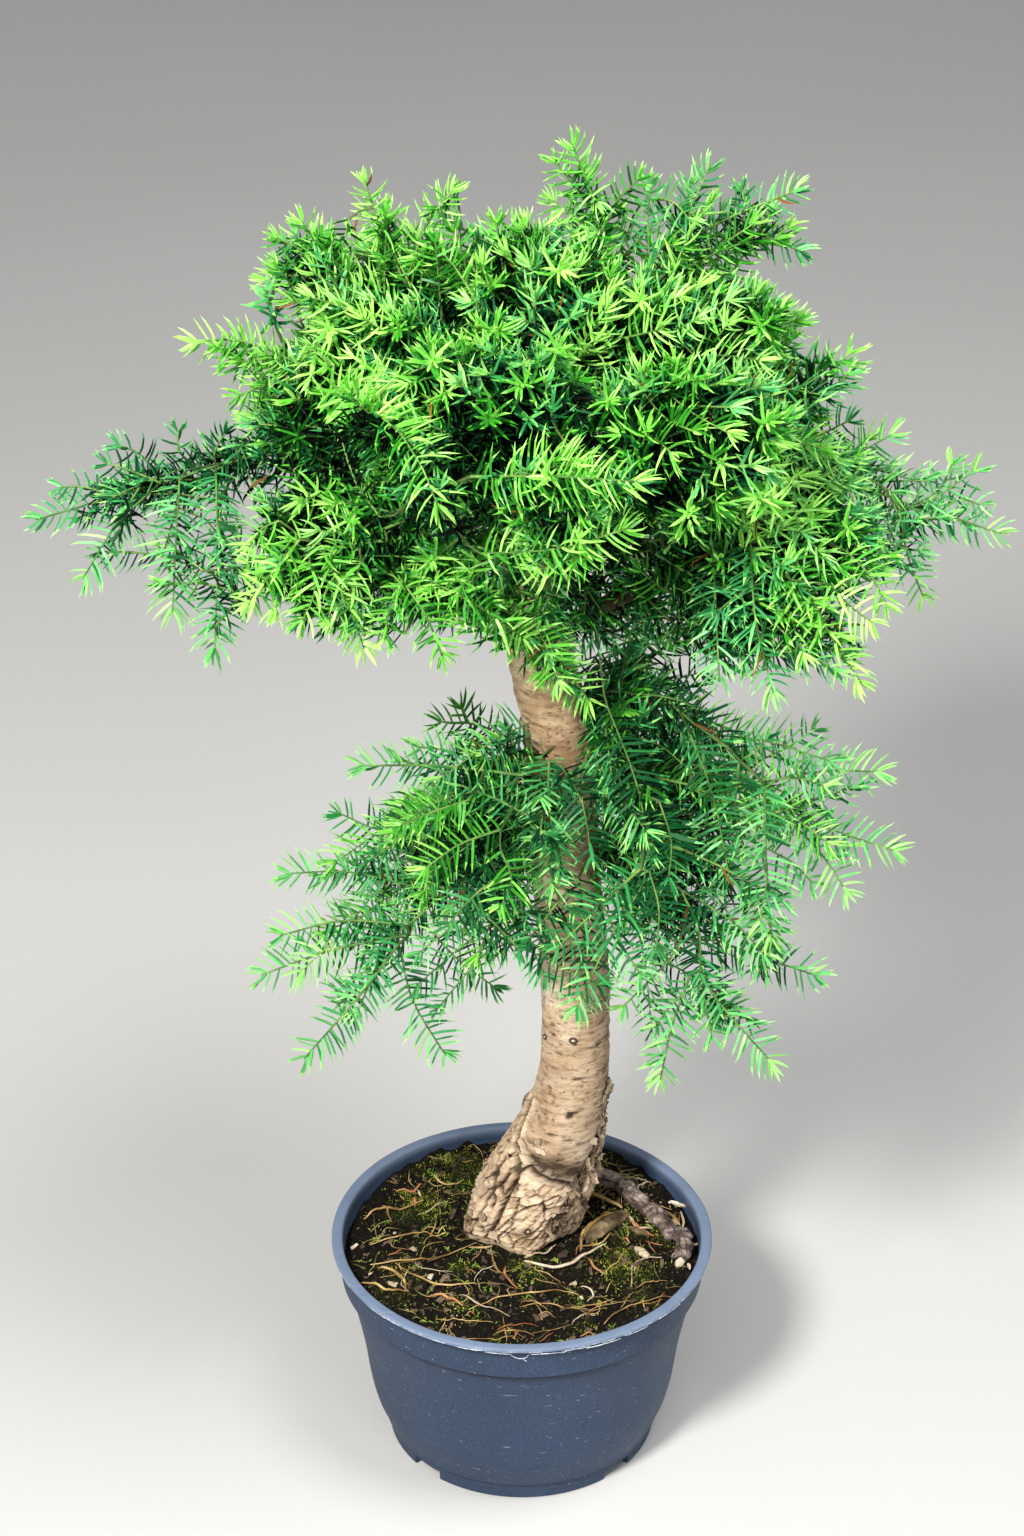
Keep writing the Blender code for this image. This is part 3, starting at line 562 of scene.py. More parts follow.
def trunk_piece():
    sides, rows = ((190, 520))
    z_top = TRUNK_STATIONS[-1, 0]
    seen_top = 0.462
    hidden = rows // 9
    z = np.concatenate(
        (
            TRUNK_FOOT + (seen_top - TRUNK_FOOT) * np.linspace(0, 1, rows - hidden) ** 1.24,
            np.linspace(seen_top, z_top, hidden + 1)[1:],
        )
    )
    cx, cy, radius = trunk_at(z)
    angle = np.arange(sides) * math.tau / sides
    zz, aa = np.meshgrid(z, angle, indexing="ij")
    rr = np.repeat(radius[:, None], sides, 1)
    flare = np.maximum(0, 1 - (zz - TRUNK_FOOT) / 0.050)
    rr = rr + 0.0030 * flare**1.5 * np.cos(5 * aa + 0.9)
    flat = np.stack((np.cos(aa) * 0.0185, np.sin(aa) * 0.0185, zz), -1).reshape(-1, 3)

    def n(scale_across, scale_up, octaves, seed):
        return fractal(flat * np.array((scale_across, scale_across, scale_up)), octaves, seed).reshape(zz.shape)

    size = np.clip(rr / 0.018, 0.25, 1.4)
    warp = n(60, 40, 2, 5)
    rings = fractal(
        np.stack(
            (
                np.cos(aa).ravel() * 1.9,
                np.sin(aa).ravel() * 1.9,
                ((zz + 0.0022 * warp) * 560).ravel(),
            ),
            -1,
        ),
        3,
        11,
    ).reshape(zz.shape)
    pleats = np.sign(rings) * np.abs(rings) ** 0.8
    lumps = n(55, 34, 3, 21)
    pits = np.clip(n(420, 640, 2, 31) - 0.30, 0, 1)
    degrees_round = np.degrees(np.angle(np.exp(1j * aa)))
    rough_top = np.interp(degrees_round, [row[0] for row in ROUGH_TOP], [row[1] for row in ROUGH_TOP])
    low = np.clip((rough_top + 0.0030 * n(90, 90, 2, 47) - zz) / 0.007, 0, 1)
    ridged = 1 - np.abs(n(150, 105, 4, 41)) * 2.1
    crust = n(300, 330, 3, 51)
    flakes = np.clip(n(120, 190, 3, 61) - 0.05, 0, 1)
    cracks = np.exp(-((n(74, 60, 3, 141) / 0.050) ** 2)) * low
    seams = np.exp(-((rings / 0.075) ** 2)) * np.clip(n(26, 40, 2, 161) * 2.4 + 0.25, 0, 1) * (1 - 0.7 * low)
    dashes = np.clip((n(150, 620, 2, 171) - 0.52) * 9, 0, 1) * (1 - low)
    bent = flat + np.stack([fractal(flat * 70 + 5.0 * k, 2, 910 + k) for k in range(3)], 1) * 0.0048

    def flow(across, up, octaves, seed):
        return fractal(bent * np.array((across, across, up)), octaves, seed).reshape(zz.shape)

    turned = np.clip((degrees_round + 131) / 16, 0, 1) * np.clip((-30 - degrees_round) / 16, 0, 1)
    folds = flow(250, 86, 2, 41) * (1 - turned) + flow(92, 300, 2, 42) * turned
    fine_folds = flow(560, 200, 2, 43) * (1 - turned) + flow(190, 620, 2, 44) * turned
    swells = flow(150, 62, 2, 45) * (1 - turned) + flow(95, 130, 2, 46) * turned
    broken = np.clip(n(120, 120, 2, 49) * 3 + 0.7, 0.15, 1)
    joints = (np.exp(-((folds / 0.052) ** 2)) * broken, np.exp(-((fine_folds / 0.070) ** 2)) * np.clip(n(150, 150, 2, 53) * 3 + 0.5, 0.1, 1))
    # plates of bark: cells round scattered seeds, longer up the stem than across it
    shift = np.stack([fractal(flat * 120, 3, 950 + k) for k in range(2)], 1).reshape(*zz.shape, 2) * 0.0034
    around = np.angle(np.exp(1j * (aa - 0.5 * math.pi))) * 0.0245
    gaps = []
    for cell, stretch in ((0.0074, 0.52), (0.0036, 0.66)):
        seeds = [(u + rng.uniform(-0.45, 0.45) * cell, v + rng.uniform(-0.45, 0.45) * cell) for u in np.arange(-0.086, 0.086, cell) for v in np.arange(0.096 * stretch, 0.196 * stretch, cell)]
        tree = KDTree(len(seeds))
        for k, (u, v) in enumerate(seeds):
            tree.insert((u, v, 0.0), k)
        tree.balance()
        gap = np.full(zz.shape, 1.0)
        for row, column in zip(*np.nonzero(low > 0.01)):
            found = tree.find_n((around[row, column] + shift[row, column, 0], zz[row, column] * stretch + shift[row, column, 1], 0.0), 2)
            gap[row, column] = found[1][2] - found[0][2]
        gaps.append(gap)
    cut = np.exp(-((gaps[0] / 0.00062) ** 2)) * np.clip(n(110, 90, 2, 55) * 3 + 0.35, 0.0, 1) * (1 - 0.60 * turned)
    fine_cut = np.exp(-((gaps[1] / 0.00042) ** 2)) * np.clip(n(170, 150, 2, 57) * 3 + 0.10, 0.0, 1) * (1 - 0.35 * turned)
    plate = np.clip(gaps[0] / 0.0022, 0, 1)
    seam_relief, seam_dark = np.zeros_like(zz), np.zeros_like(zz)
    wander = fractal(flat * 210, 3, 930).reshape(zz.shape) * 0.0013
    for half, deep, shade, lip, line in TRUNK_SEAMS:
        middle = sum(row[0] for row in line) / len(line)
        u = np.degrees(np.angle(np.exp(1j * (aa - math.radians(middle))))) * math.radians(0.0245) + wander
        off = from_line(u, zz + 0.6 * wander, [((row[0] - middle) * math.radians(0.0245), row[1]) for row in line])
        seam_relief = seam_relief - deep * np.exp(-((off / half) ** 2)) + lip * deep * np.exp(-(((off - 2.6 * half) / (1.3 * half)) ** 2))
        seam_dark = np.maximum(seam_dark, shade * np.exp(-((off / (0.9 * half)) ** 2)))
    relief = (
        low * (0.0004 + 0.0013 * swells - 0.0006 * joints[0] - 0.0003 * joints[1] - 0.0012 * cut - 0.0005 * fine_cut + 0.0006 * plate)
        + seam_relief
        + 0.00056 * pleats * (1 - 0.2 * low)
        - 0.00042 * seams
        - 0.00065 * dashes
        - 0.0003 * cracks
        + 0.00080 * lumps * (1 + 0.5 * low)
        - 0.0011 * pits
        + low * (0.0003 * ridged + 0.0004 * crust + 0.0005 * flakes - 0.0001)
    ) * size
    # darker in the troughs of the rings, pits, cracks, seams and cuts: partly the bark's own colour, partly painted
    # shade
    dark = np.clip(-pleats * 1.5 - 0.34, 0, 1) * 0.50 + np.clip(pits * 3, 0, 1) * 0.7
    dark = dark * 0.65 + 0.10 * cracks + 0.42 * seams + 0.55 * dashes
    dark = dark + low * (0.46 * joints[0] + 0.24 * joints[1] + 0.78 * cut + 0.36 * fine_cut) + seam_dark
    # the left flank of the foot is darker and its crests less pale: brown streaks, and painted shade
    flank = np.exp(-((np.angle(np.exp(1j * (aa - math.radians(-170)))) / 0.45) ** 2))
    dark = dark + low * flank * np.clip(0.06 + 0.9 * crust, 0, 0.5)
    # painted shade: the stem's right side is darkened
    dark = dark + 0.22 * np.clip(np.cos(aa - math.radians(-18)), 0, 1) ** 1.6 * np.clip(0.9 + 1.4 * lumps, 0, 1.6) * (1 - 0.6 * low)
    brown = np.exp(-(((zz - rough_top - 0.0045) / 0.0060) ** 2)) * np.clip((degrees_round + 128) / 12, 0, 1) * np.clip((-40 - degrees_round) / 14, 0, 1)
    dark = dark + brown * np.clip(0.36 + 0.9 * n(60, 200, 2, 191), 0, 0.7)
    # a rough crevice climbs the lower right side
    strip_angle = np.radians(np.interp(zz, (0.118, 0.1409, 0.1556, 0.170, 0.186), (-64, -50, -38, -24, -12)))
    across = (np.angle(np.exp(1j * (aa - strip_angle)))) * rr
    along = np.clip((zz - 0.116) / 0.014, 0, 1) * np.clip((0.196 - zz) / 0.02, 0, 1)
    strip = np.exp(-((across / (0.0034 + 0.0012 * n(160, 160, 2, 71))) ** 2)) * along
    relief = relief - 0.0021 * strip + 0.0026 * strip * np.clip(n(320, 300, 3, 81), -0.2, 1)
    # the crevice is darkened, with a dark line beside it: dark bark in the crevice, and painted shade
    dark = dark + strip * (0.82 + 0.5 * n(260, 260, 2, 91))
    dark = dark + 0.55 * np.exp(-(((across + 0.0036) / 0.0008) ** 2)) * along
    for degrees, height, half_w, half_h, lift, shade in TRUNK_MARKS:
        off = (np.angle(np.exp(1j * (aa - math.radians(degrees))))) * rr / half_w
        up = (zz - height) / half_h
        mark = np.exp(-((off**2 + up**2) ** 1.4))
        relief = relief + lift * mark
        ragged = np.clip(0.8 + 2.6 * n(330, 330, 2, 77), 0, 1) if height in (0.1860, 0.2425, 0.2065) else 1.0
        dark = dark + shade * mark * ragged
    crest = np.clip(relief / 0.0010 - 0.25, 0, 1) * 0.5 + low * np.clip(0.62 + 1.5 * swells + 0.9 * crust - joints[0] - cut, 0, 1) * 0.9 * (1 - 0.45 * flank)
    limit = np.where(zz < 0.112, 0.0010, 0.0032)
    relief = np.clip(relief, -limit, limit)
    relief *= np.clip((zz - TRUNK_FOOT) / 0.004, 0.15, 1)
    rr = rr + relief
    TRUNK_SKIN.update(z=z, angle=angle, radius=rr, cx=cx, cy=cy)
    x = cx[:, None] + rr * np.cos(aa)
    y = cy[:, None] + rr * np.sin(aa)
    points = np.stack((x, y, zz), -1).reshape(-1, 3)
    i = np.arange(rows - 1)[:, None] * sides
    j = np.arange(sides)[None, :]
    k = (j + 1) % sides
    faces = np.stack((i + j, i + k, i + sides + k, i + sides + j), -1).reshape(-1, 4)
    tip = np.array((cx[-1], cy[-1], z_top + 0.0008))
    points = np.vstack((points, tip))
    last = (rows - 1) * sides
    cap = np.array([(last + a, last + (a + 1) % sides, len(points) - 1, len(points) - 1) for a in range(sides)])
    mesh_faces = np.vstack((faces, cap))
    values = lambda grid: np.append(np.clip(grid, 0, 1).ravel(), 0.0)
    # the cap's faces are triangles, so the mesh is built from triangles throughout
    triangles = np.vstack((mesh_faces[:, (0, 1, 2)], mesh_faces[: len(faces), (0, 2, 3)]))
    return piece(
        "trunk_bark",
        points,
        triangles,
        BARK,
        smooth=True,
        replaces=("trunk",),
        attributes={"dark_and_painted_shade": values(dark), "crest": values(crest), "low": values(low), "high": values(np.clip((zz - 0.330) / 0.080, 0, 1))},
    )


TRUNK_SKIN = {}
trunk_piece()


def bark_flakes():
    """Loose plates of bark at the foot and along the crevice."""
    z, angle, radius = TRUNK_SKIN["z"], TRUNK_SKIN["angle"], TRUNK_SKIN["radius"]
    bag, dark_and_shade_values, crest = Bag(), [], []
    sites = []
    for _ in range(46):
        height = 0.1085 + 0.062 * rng.uniform() ** 1.3
        turn = rng.uniform(-math.pi, math.pi)
        sites.append((turn, height, rng.uniform(0.0014, 0.0040), rng.uniform(0.0010, 0.0022), rng.uniform(0.0002, 0.0008), rng.normal(0, 0.5), rng.uniform(0.0, 0.35)))
    for _ in range(90):
        height = rng.uniform(0.118, 0.196)
        middle = math.radians(float(np.interp(height, (0.118, 0.1409, 0.1556, 0.170, 0.186), (-64, -50, -38, -24, -12))))
        sites.append((middle + rng.normal(0, 0.13), height, rng.uniform(0.0008, 0.0018), rng.uniform(0.0016, 0.0042), rng.uniform(0.0004, 0.0022), rng.normal(0.3, 0.35), rng.uniform(0.2, 0.8)))
    for turn, height, wide, tall, lift, lean, shade in sites:
        row = int(np.clip(np.searchsorted(z, height), 0, len(z) - 1))
        column = int(round((turn % math.tau) / math.tau * len(angle))) % len(angle)
        out = np.array((math.cos(turn), math.sin(turn), 0.0))
        r = radius[row, column]
        centre = np.array((TRUNK_SKIN["cx"][row], TRUNK_SKIN["cy"][row], height)) + out * (r + lift * 0.4)
        around = np.array((-math.sin(turn), math.cos(turn), 0.0))
        first = unit(around * math.cos(lean) + np.array((0, 0, 1.0)) * math.sin(lean))
        second = unit(np.cross(out, first))
        u, v = np.meshgrid(np.linspace(-1, 1, 6), np.linspace(-1, 1, 5), indexing="ij")
        edge = 1 + rng.normal(0, 0.16, u.shape)
        shape = np.sqrt(np.clip(1.05 - 0.55 * u**2, 0.2, 1))
        side = rng.choice((-1, 1))
        rise = lift * (0.3 + 0.9 * np.clip(side * v, 0, 1) ** 1.5 + 0.5 * np.clip(u, 0, 1) ** 2) - 0.25 * wide * (u * wide / max(r, 0.004)) ** 2
        grid = centre + first * (u * wide * edge)[..., None] + second * (v * tall * shape * edge)[..., None] + out * rise[..., None]
        upper = grid.reshape(-1, 3)
        lower = upper - out * rng.uniform(0.0006, 0.0012)
        ids = np.arange(30).reshape(6, 5)
        a, b, c, d = ids[:-1, :-1].ravel(), ids[1:, :-1].ravel(), ids[1:, 1:].ravel(), ids[:-1, 1:].ravel()
        top = np.vstack((np.stack((a, b, c), -1), np.stack((a, c, d), -1)))
        loop = list(ids[:, 0]) + list(ids[-1, 1:]) + list(ids[-2::-1, -1]) + list(ids[0, -2:0:-1])
        walls = []
        for p, q in zip(loop, loop[1:] + loop[:1]):
            walls += [(q, p, p + 30), (q, p + 30, q + 30)]
        bag.add(np.vstack((upper, lower)), np.vstack((top, top[:, ::-1] + 30, np.array(walls))))
        # painted shade: the underside of each flake is dark
        dark_and_shade_values += [shade] * 30 + [0.9] * 30
        crest += [max(0.0, 0.8 - shade)] * 30 + [0.0] * 30
    points, faces = bag.arrays()
    zeros = np.zeros(len(points))
    piece("trunk_flakes", points, faces, BARK, smooth=False, attributes={"dark_and_painted_shade": np.array(dark_and_shade_values), "crest": np.array(crest), "low": zeros + 0.3, "high": zeros})


bark_flakes()


def bark_knots():
    """Scars of shed shoots: a dark rim round a pale middle."""
    bag, dark_and_shade_values, crest = Bag(), [], []
    z, angle, radius = TRUNK_SKIN["z"], TRUNK_SKIN["angle"], TRUNK_SKIN["radius"]
    for degrees, height, size, tube in (
        (-94, 0.2303, 0.00150, 0.00062), (-90, 0.1216, 0.00135, 0.00060), (-146, 0.2276, 0.00110, 0.00050), (-74, 0.2795, 0.00110, 0.00045),
        (60, 0.2402, 0.00150, 0.00060), (112, 0.2995, 0.00140, 0.00058), (22, 0.2050, 0.00120, 0.00050),
    ):
        turn = math.radians(degrees)
        row = int(np.clip(np.searchsorted(z, height), 0, len(z) - 1))
        column = int(round((turn % math.tau) / math.tau * len(angle))) % len(angle)
        out = np.array((math.cos(turn), math.sin(turn), 0.0))
        around = np.array((-math.sin(turn), math.cos(turn), 0.0))
        up = np.array((0, 0, 1.0))
        r = radius[row, column]
        centre = np.array((TRUNK_SKIN["cx"][row], TRUNK_SKIN["cy"][row], height)) + out * r
        u, v = np.meshgrid(np.arange(18) * math.tau / 18, np.arange(8) * math.tau / 8, indexing="ij")
        ring = size * (1 + 0.10 * np.cos(2 * u + degrees)) + tube * np.cos(v)
        across = np.cos(u) * ring
        grid = centre + around * across[..., None] + up * (np.sin(u) * ring)[..., None] + out * (tube * 0.8 * np.sin(v) - 0.5 * across**2 / r)[..., None]
        ids = np.arange(18 * 8).reshape(18, 8)
        a, b = ids, np.roll(ids, -1, 0)
        c, d = np.roll(b, -1, 1), np.roll(a, -1, 1)
        bag.add(grid.reshape(-1, 3), np.vstack((np.stack((a, b, c), -1).reshape(-1, 3), np.stack((a, c, d), -1).reshape(-1, 3))))
        dark_and_shade_values += [0.82] * (18 * 8)
        crest += [0.0] * (18 * 8)
        turns = np.arange(12) * math.tau / 12
        rim = centre + around * (np.cos(turns) * size * 0.72)[:, None] + up * (np.sin(turns) * size * 0.72)[:, None] + out * 0.0001
        ends = np.array((centre + out * 0.00045, centre - out * 0.0010))
        k = np.arange(12)
        n = (k + 1) % 12
        bag.add(np.vstack((rim, ends)), np.vstack((np.stack((k, n, np.full(12, 12)), -1), np.stack((n, k, np.full(12, 13)), -1))))
        dark_and_shade_values += [0.05] * 14
        crest += [0.85] * 14
    points, faces = bag.arrays()
    zeros = np.zeros(len(points))
    piece("trunk_knots", points, faces, BARK, smooth=True, attributes={"dark_and_painted_shade": np.array(dark_and_shade_values), "crest": np.array(crest), "low": zeros, "high": zeros})


bark_knots()


# ---------------------------------------------------------------- boughs
SKELETON = {"place": [], "parent": [], "radius": [], "reach": []}


def skeleton_add(place, parent, radius, reach):
    SKELETON["place"].append(np.asarray(place, float))
    SKELETON["parent"].append(parent)
    SKELETON["radius"].append(radius)
    SKELETON["reach"].append(reach)
    return len(SKELETON["place"]) - 1


def bough_line(name):
    height, goal, radius, sag = BOUGHS[name]
    cx, cy, _ = trunk_at(height)
    start = np.array((float(cx), float(cy), height))
    goal = np.asarray(goal)
    middle = (start + goal) / 2 + np.array((0, 0, -sag))
    return start, middle, goal, radius


def bough_pieces():
    for k, name in enumerate(BOUGHS):
        start, middle, goal, radius = bough_line(name)
        curve, along, length = catmull((start, middle, goal), 60)
        t = np.linspace(0, 1, len(curve))
        slim = 0.60 if goal[2] < 0.455 else 0.80
        radii = radius * slim * (1 - (1 - BOUGH_TAPER) * t)
        wobble = np.stack([fractal(curve * 45 + 7.1 * (a + 1), 2, 300 + 3 * k + a) for a in range(3)], 1)
        curve = curve + wobble * 0.0016 * np.sin(np.pi * t)[:, None]
        # swelling where it leaves the trunk, and rings along it
        radii = radii * (1 + 0.7 * np.exp(-t * length / 0.006) * (t * length < 0.05))
        sides = 24
        points, faces = tube_arrays(curve, radii, sides)
        centre = np.repeat(curve, sides, 0)
        out = unit(points - centre)
        bumps = fractal(points * 260, 3, 400 + k)
        rings = fractal(points * np.array((90, 90, 90)) + np.repeat(t * length * 420, sides)[:, None], 2, 440 + k)
        points = points + out * (bumps * 0.10 + rings * 0.07)[:, None] * np.repeat(radii, sides)[:, None] * 1.6
        end = len(points)
        points = np.vstack((points, curve[-1] + along[-1] * radii[-1]))
        last = (len(curve) - 1) * sides
        cap = np.array([(last + a, last + (a + 1) % sides, end) for a in range(sides)])
        triangles = np.vstack((faces[:, (0, 1, 2)], faces[:, (0, 2, 3)], cap))
        piece(name + "_limb", points, triangles, BOUGH_BARK, smooth=True, replaces=(name,))
        parent = -1
        for place, r, far in zip(curve[::4], radii[::4], (t * length)[::4]):
            if far < 0.016:
                continue
            parent = skeleton_add(place, parent, r, far * 0.35)


for height in np.arange(0.298, 0.612, 0.008):
    cx, cy, r = trunk_at(height)
    skeleton_add((float(cx), float(cy), height), -1, float(r), 0.0)
bough_pieces()


# ---------------------------------------------------------------- the root that shows at the surface
ROOT_LENGTHS = (
    # name, path, radii, seed
    ("long", ((0.010, 0.034, 0.1235), (0.0250, 0.0470, 0.1185), (0.0400, 0.0500, 0.1130), (0.0510, 0.0425, 0.1112), (0.0590, 0.0320, 0.1108), (0.0655, 0.0215, 0.1100)), (0.0070, 0.0058, 0.0042, 0.0038, 0.0040, 0.0028), 500),
    ("middle", ((0.0640, 0.0275, 0.1092), (0.0692, 0.0190, 0.1096), (0.0732, 0.0095, 0.1092), (0.0752, 0.0025, 0.1082)), (0.0030, 0.0042, 0.0040, 0.0026), 540),
    ("stump", ((0.0768, 0.0100, 0.1085), (0.0800, 0.0010, 0.1088), (0.0815, -0.0065, 0.1080), (0.0822, -0.0125, 0.1066)), (0.0026, 0.0040, 0.0034, 0.0020), 580),
    ("fork", ((0.0800, 0.0005, 0.1085), (0.0775, -0.0070, 0.1082), (0.0748, -0.0115, 0.1068)), (0.0026, 0.0022, 0.0012), 585),
)


def root_piece():
    bag, dark_and_shade_values = Bag(), []
    for name, path, sizes, seed in ROOT_LENGTHS:
        curve, along, length = catmull(path, 120)
        t = np.linspace(0, 1, len(curve))
        radii = np.interp(t, np.linspace(0, 1, len(sizes)), sizes)
        for end in (t, 1 - t):
            near = np.clip(end * length / 0.0022, 0, 1)
            if name == "long" and end is t:
                continue
            radii = radii * np.sqrt(np.clip(1 - (1 - near) ** 2, 0.0009, 1))
        wander = np.stack([fractal(curve * 95 + 3.7 * (k + 1), 2, seed + 20 + k) for k in range(3)], 1)
        curve = curve + wander * 0.0016 * np.sin(np.pi * t)[:, None]
        burl = fractal(np.stack((t * length * 170, t * 0 + 0.5, t * 0), -1), 2, seed + 3)
        radii = radii * (1 + 0.20 * burl)
        sides = 40
        points, faces = tube_arrays(curve, np.maximum(radii, 0.0002), sides)
        centre = np.repeat(curve, sides, 0)
        out = unit(points - centre)
        size = np.repeat(radii, sides) / 0.005
        turn = np.tile(np.arange(sides) * math.tau / sides, len(curve))
        far = np.repeat(t * length, sides)
        bark = np.stack((np.cos(turn) * 2.1, np.sin(turn) * 2.1, far * 62), -1)
        furrow = 1 - np.abs(fractal(bark, 3, seed)) * 2.6
        across = np.exp(-((fractal(np.stack((np.cos(turn) * 0.7, np.sin(turn) * 0.7, far * 260), -1), 2, seed + 1) / 0.09) ** 2))
        knobs = fractal(points * 190, 3, seed + 2)
        crumbs = fractal(points * 560, 2, seed + 4)
        relief = (0.0010 * furrow - 0.0006 * across + (0.0030 if name in ("stump", "fork") else 0.0014) * knobs + 0.0006 * crumbs) * size
        points = points + out * relief[:, None]
        points[:, 2] = np.maximum(points[:, 2], 0.1035)
        # darker in the furrows, cross cracks and low spots, partly the root's own colour and partly painted shade; the
        # stump and fork are darker throughout
        dark = np.clip(0.30 - furrow, 0, 1) * 1.3 + across * 0.6 + np.clip(-knobs, 0, 1) * 0.7 + (0.55 if name in ("stump", "fork") else 0.25 if name == "middle" else 0.0)
        ends = np.array(((len(curve) - 1) * sides, 0))
        caps = [(ends[0] + a, ends[0] + (a + 1) % sides, len(points)) for a in range(sides)] + [((a + 1) % sides, a, len(points) + 1) for a in range(sides)]
        points = np.vstack((points, curve[-1], curve[0]))
        bag.add(points, np.vstack((faces[:, (0, 1, 2)], faces[:, (0, 2, 3)], np.array(caps))))
        dark_and_shade_values.append(np.append(np.clip(dark, 0, 1), (0.2, 0.2)))
    points, triangles = bag.arrays()
    piece("surface_root_wood", points, triangles, ROOT_BARK, smooth=True, replaces=("surface_root",), attributes={"dark_and_painted_shade": np.concatenate(dark_and_shade_values)})


root_piece()


# ---------------------------------------------------------------- pot
COLLAR_Z = 0.0944
FOOT_RADIUS = 0.0676
NOTCHES = tuple(math.radians(a) for a in (45, 135, 225, 315))
NOTCH_HALF = 0.0090
NOTCH_TOP = 0.0052
DRAINS = tuple(math.tau * (i + 0.5) / 6 + 0.06 for i in range(6))
DRAIN_CIRCLE, DRAIN_RADIUS = 0.0448, 0.0050


def pot_material():
    m = Nodes("pot_plastic")
    xyz = m.node("ShaderNodeSeparateXYZ")
    m.link(m.coordinates(), xyz.inputs[0])
    tone = m.noise(14.0, 3.0, 0.55)
    base = m.ramp(tone, ((0.30, (0.0265, 0.0450, 0.0860)), (0.55, (0.0315, 0.0530, 0.1010)), (0.75, (0.0375, 0.0620, 0.1160))))
    grain = m.noise(1050.0, 2.0, 0.6)
    base = m.mix(0.85, base, m.ramp(grain, ((0.38, (0.78, 0.79, 0.81)), (0.50, (0.98, 0.98, 0.98)), (0.62, (1.36, 1.33, 1.28)))), "MULTIPLY")
    # the wall inside the pot is made paler near the top, a painted light, and the lip's top is paler, a painted
    # highlight; pale dust lies over the body in clouds
    base = m.mix(m.maths("MULTIPLY", m.attribute("inner"), 0.85), base, (0.075, 0.120, 0.215))
    lip = m.ramp(xyz.outputs["Z"], ((0.1115, (0, 0, 0)), (0.1131, (1, 1, 1))))
    base = m.mix(m.maths("MULTIPLY", lip, 0.85), base, (0.195, 0.255, 0.375))
    cloud = m.noise(60.0, 5.0, 0.7)
    base = m.mix(m.maths("MULTIPLY", m.ramp(cloud, ((0.48, (0, 0, 0)), (0.72, (1, 1, 1)))), 0.24), base, (0.060, 0.080, 0.118))
    # fine pale scratches, long and thin, in three directions
    total = None
    for turn, scale, edge in (((0.5, 0.2, 0.7), 1.0, 0.735), ((-0.4, 0.9, -0.6), 1.25, 0.742), ((1.2, -0.5, 0.1), 0.9, 0.745)):
        v = m.mapped((42 * scale, 620 * scale, 620 * scale), turn)
        s = m.noise(1.0, 1.5, 0.5, v)
        mask = m.ramp(s, ((edge, (0, 0, 0)), (edge + 0.015, (1, 1, 1))))
        total = mask if total is None else m.maths("MAXIMUM", total, mask)
    base = m.mix(m.maths("MULTIPLY", total, 0.35), base, (0.42, 0.46, 0.55))
    # pale specks
    v = m.node("ShaderNodeTexVoronoi")
    v.inputs["Scale"].default_value = 310.0
    m.link(m.coordinates(), v.inputs["Vector"])
    near = m.ramp(v.outputs["Distance"], ((0.07, (1, 1, 1)), (0.15, (0, 0, 0))))
    few = m.ramp(m.noise(120.0, 2.0), ((0.62, (0, 0, 0)), (0.68, (1, 1, 1))))
    speck = m.maths("MULTIPLY", near, few)
    base = m.mix(m.maths("MULTIPLY", speck, 0.55), base, (0.52, 0.55, 0.60))
    # painted highlight along the front of the lip's outer edge, broken up like scuffs
    edge_highlight_and_scuff = m.attribute("edge_highlight_and_scuff")
    torn = m.noise(700.0, 3.0, 0.6)
    base = m.mix(m.maths("MULTIPLY", edge_highlight_and_scuff, m.ramp(torn, ((0.47, (0.05, 0.05, 0.05)), (0.51, (1, 1, 1))))), base, (0.72, 0.77, 0.86))
    # painted shade in the creases under the lip, under the collar and above the foot; darker on the pot's inside below
    # the soil line
    dirt_and_painted_shade = m.attribute("dirt_and_painted_shade")
    base = m.mix(m.maths("MULTIPLY", dirt_and_painted_shade, 0.88), base, (0.006, 0.008, 0.012))
    roughness = m.ramp(cloud, ((0.3, (0.46, 0.46, 0.46)), (0.7, (0.60, 0.60, 0.60))))
    m.bump(m.noise(900.0, 4.0, 0.65), 0.30, 0.0003)
    return m.finish(base, roughness, 0.24)


def arc(cx, cz, r, a0, a1, n):
    return [(cx + r * math.cos(a), cz + r * math.sin(a)) for a in np.radians(np.linspace(a0, a1, n))]


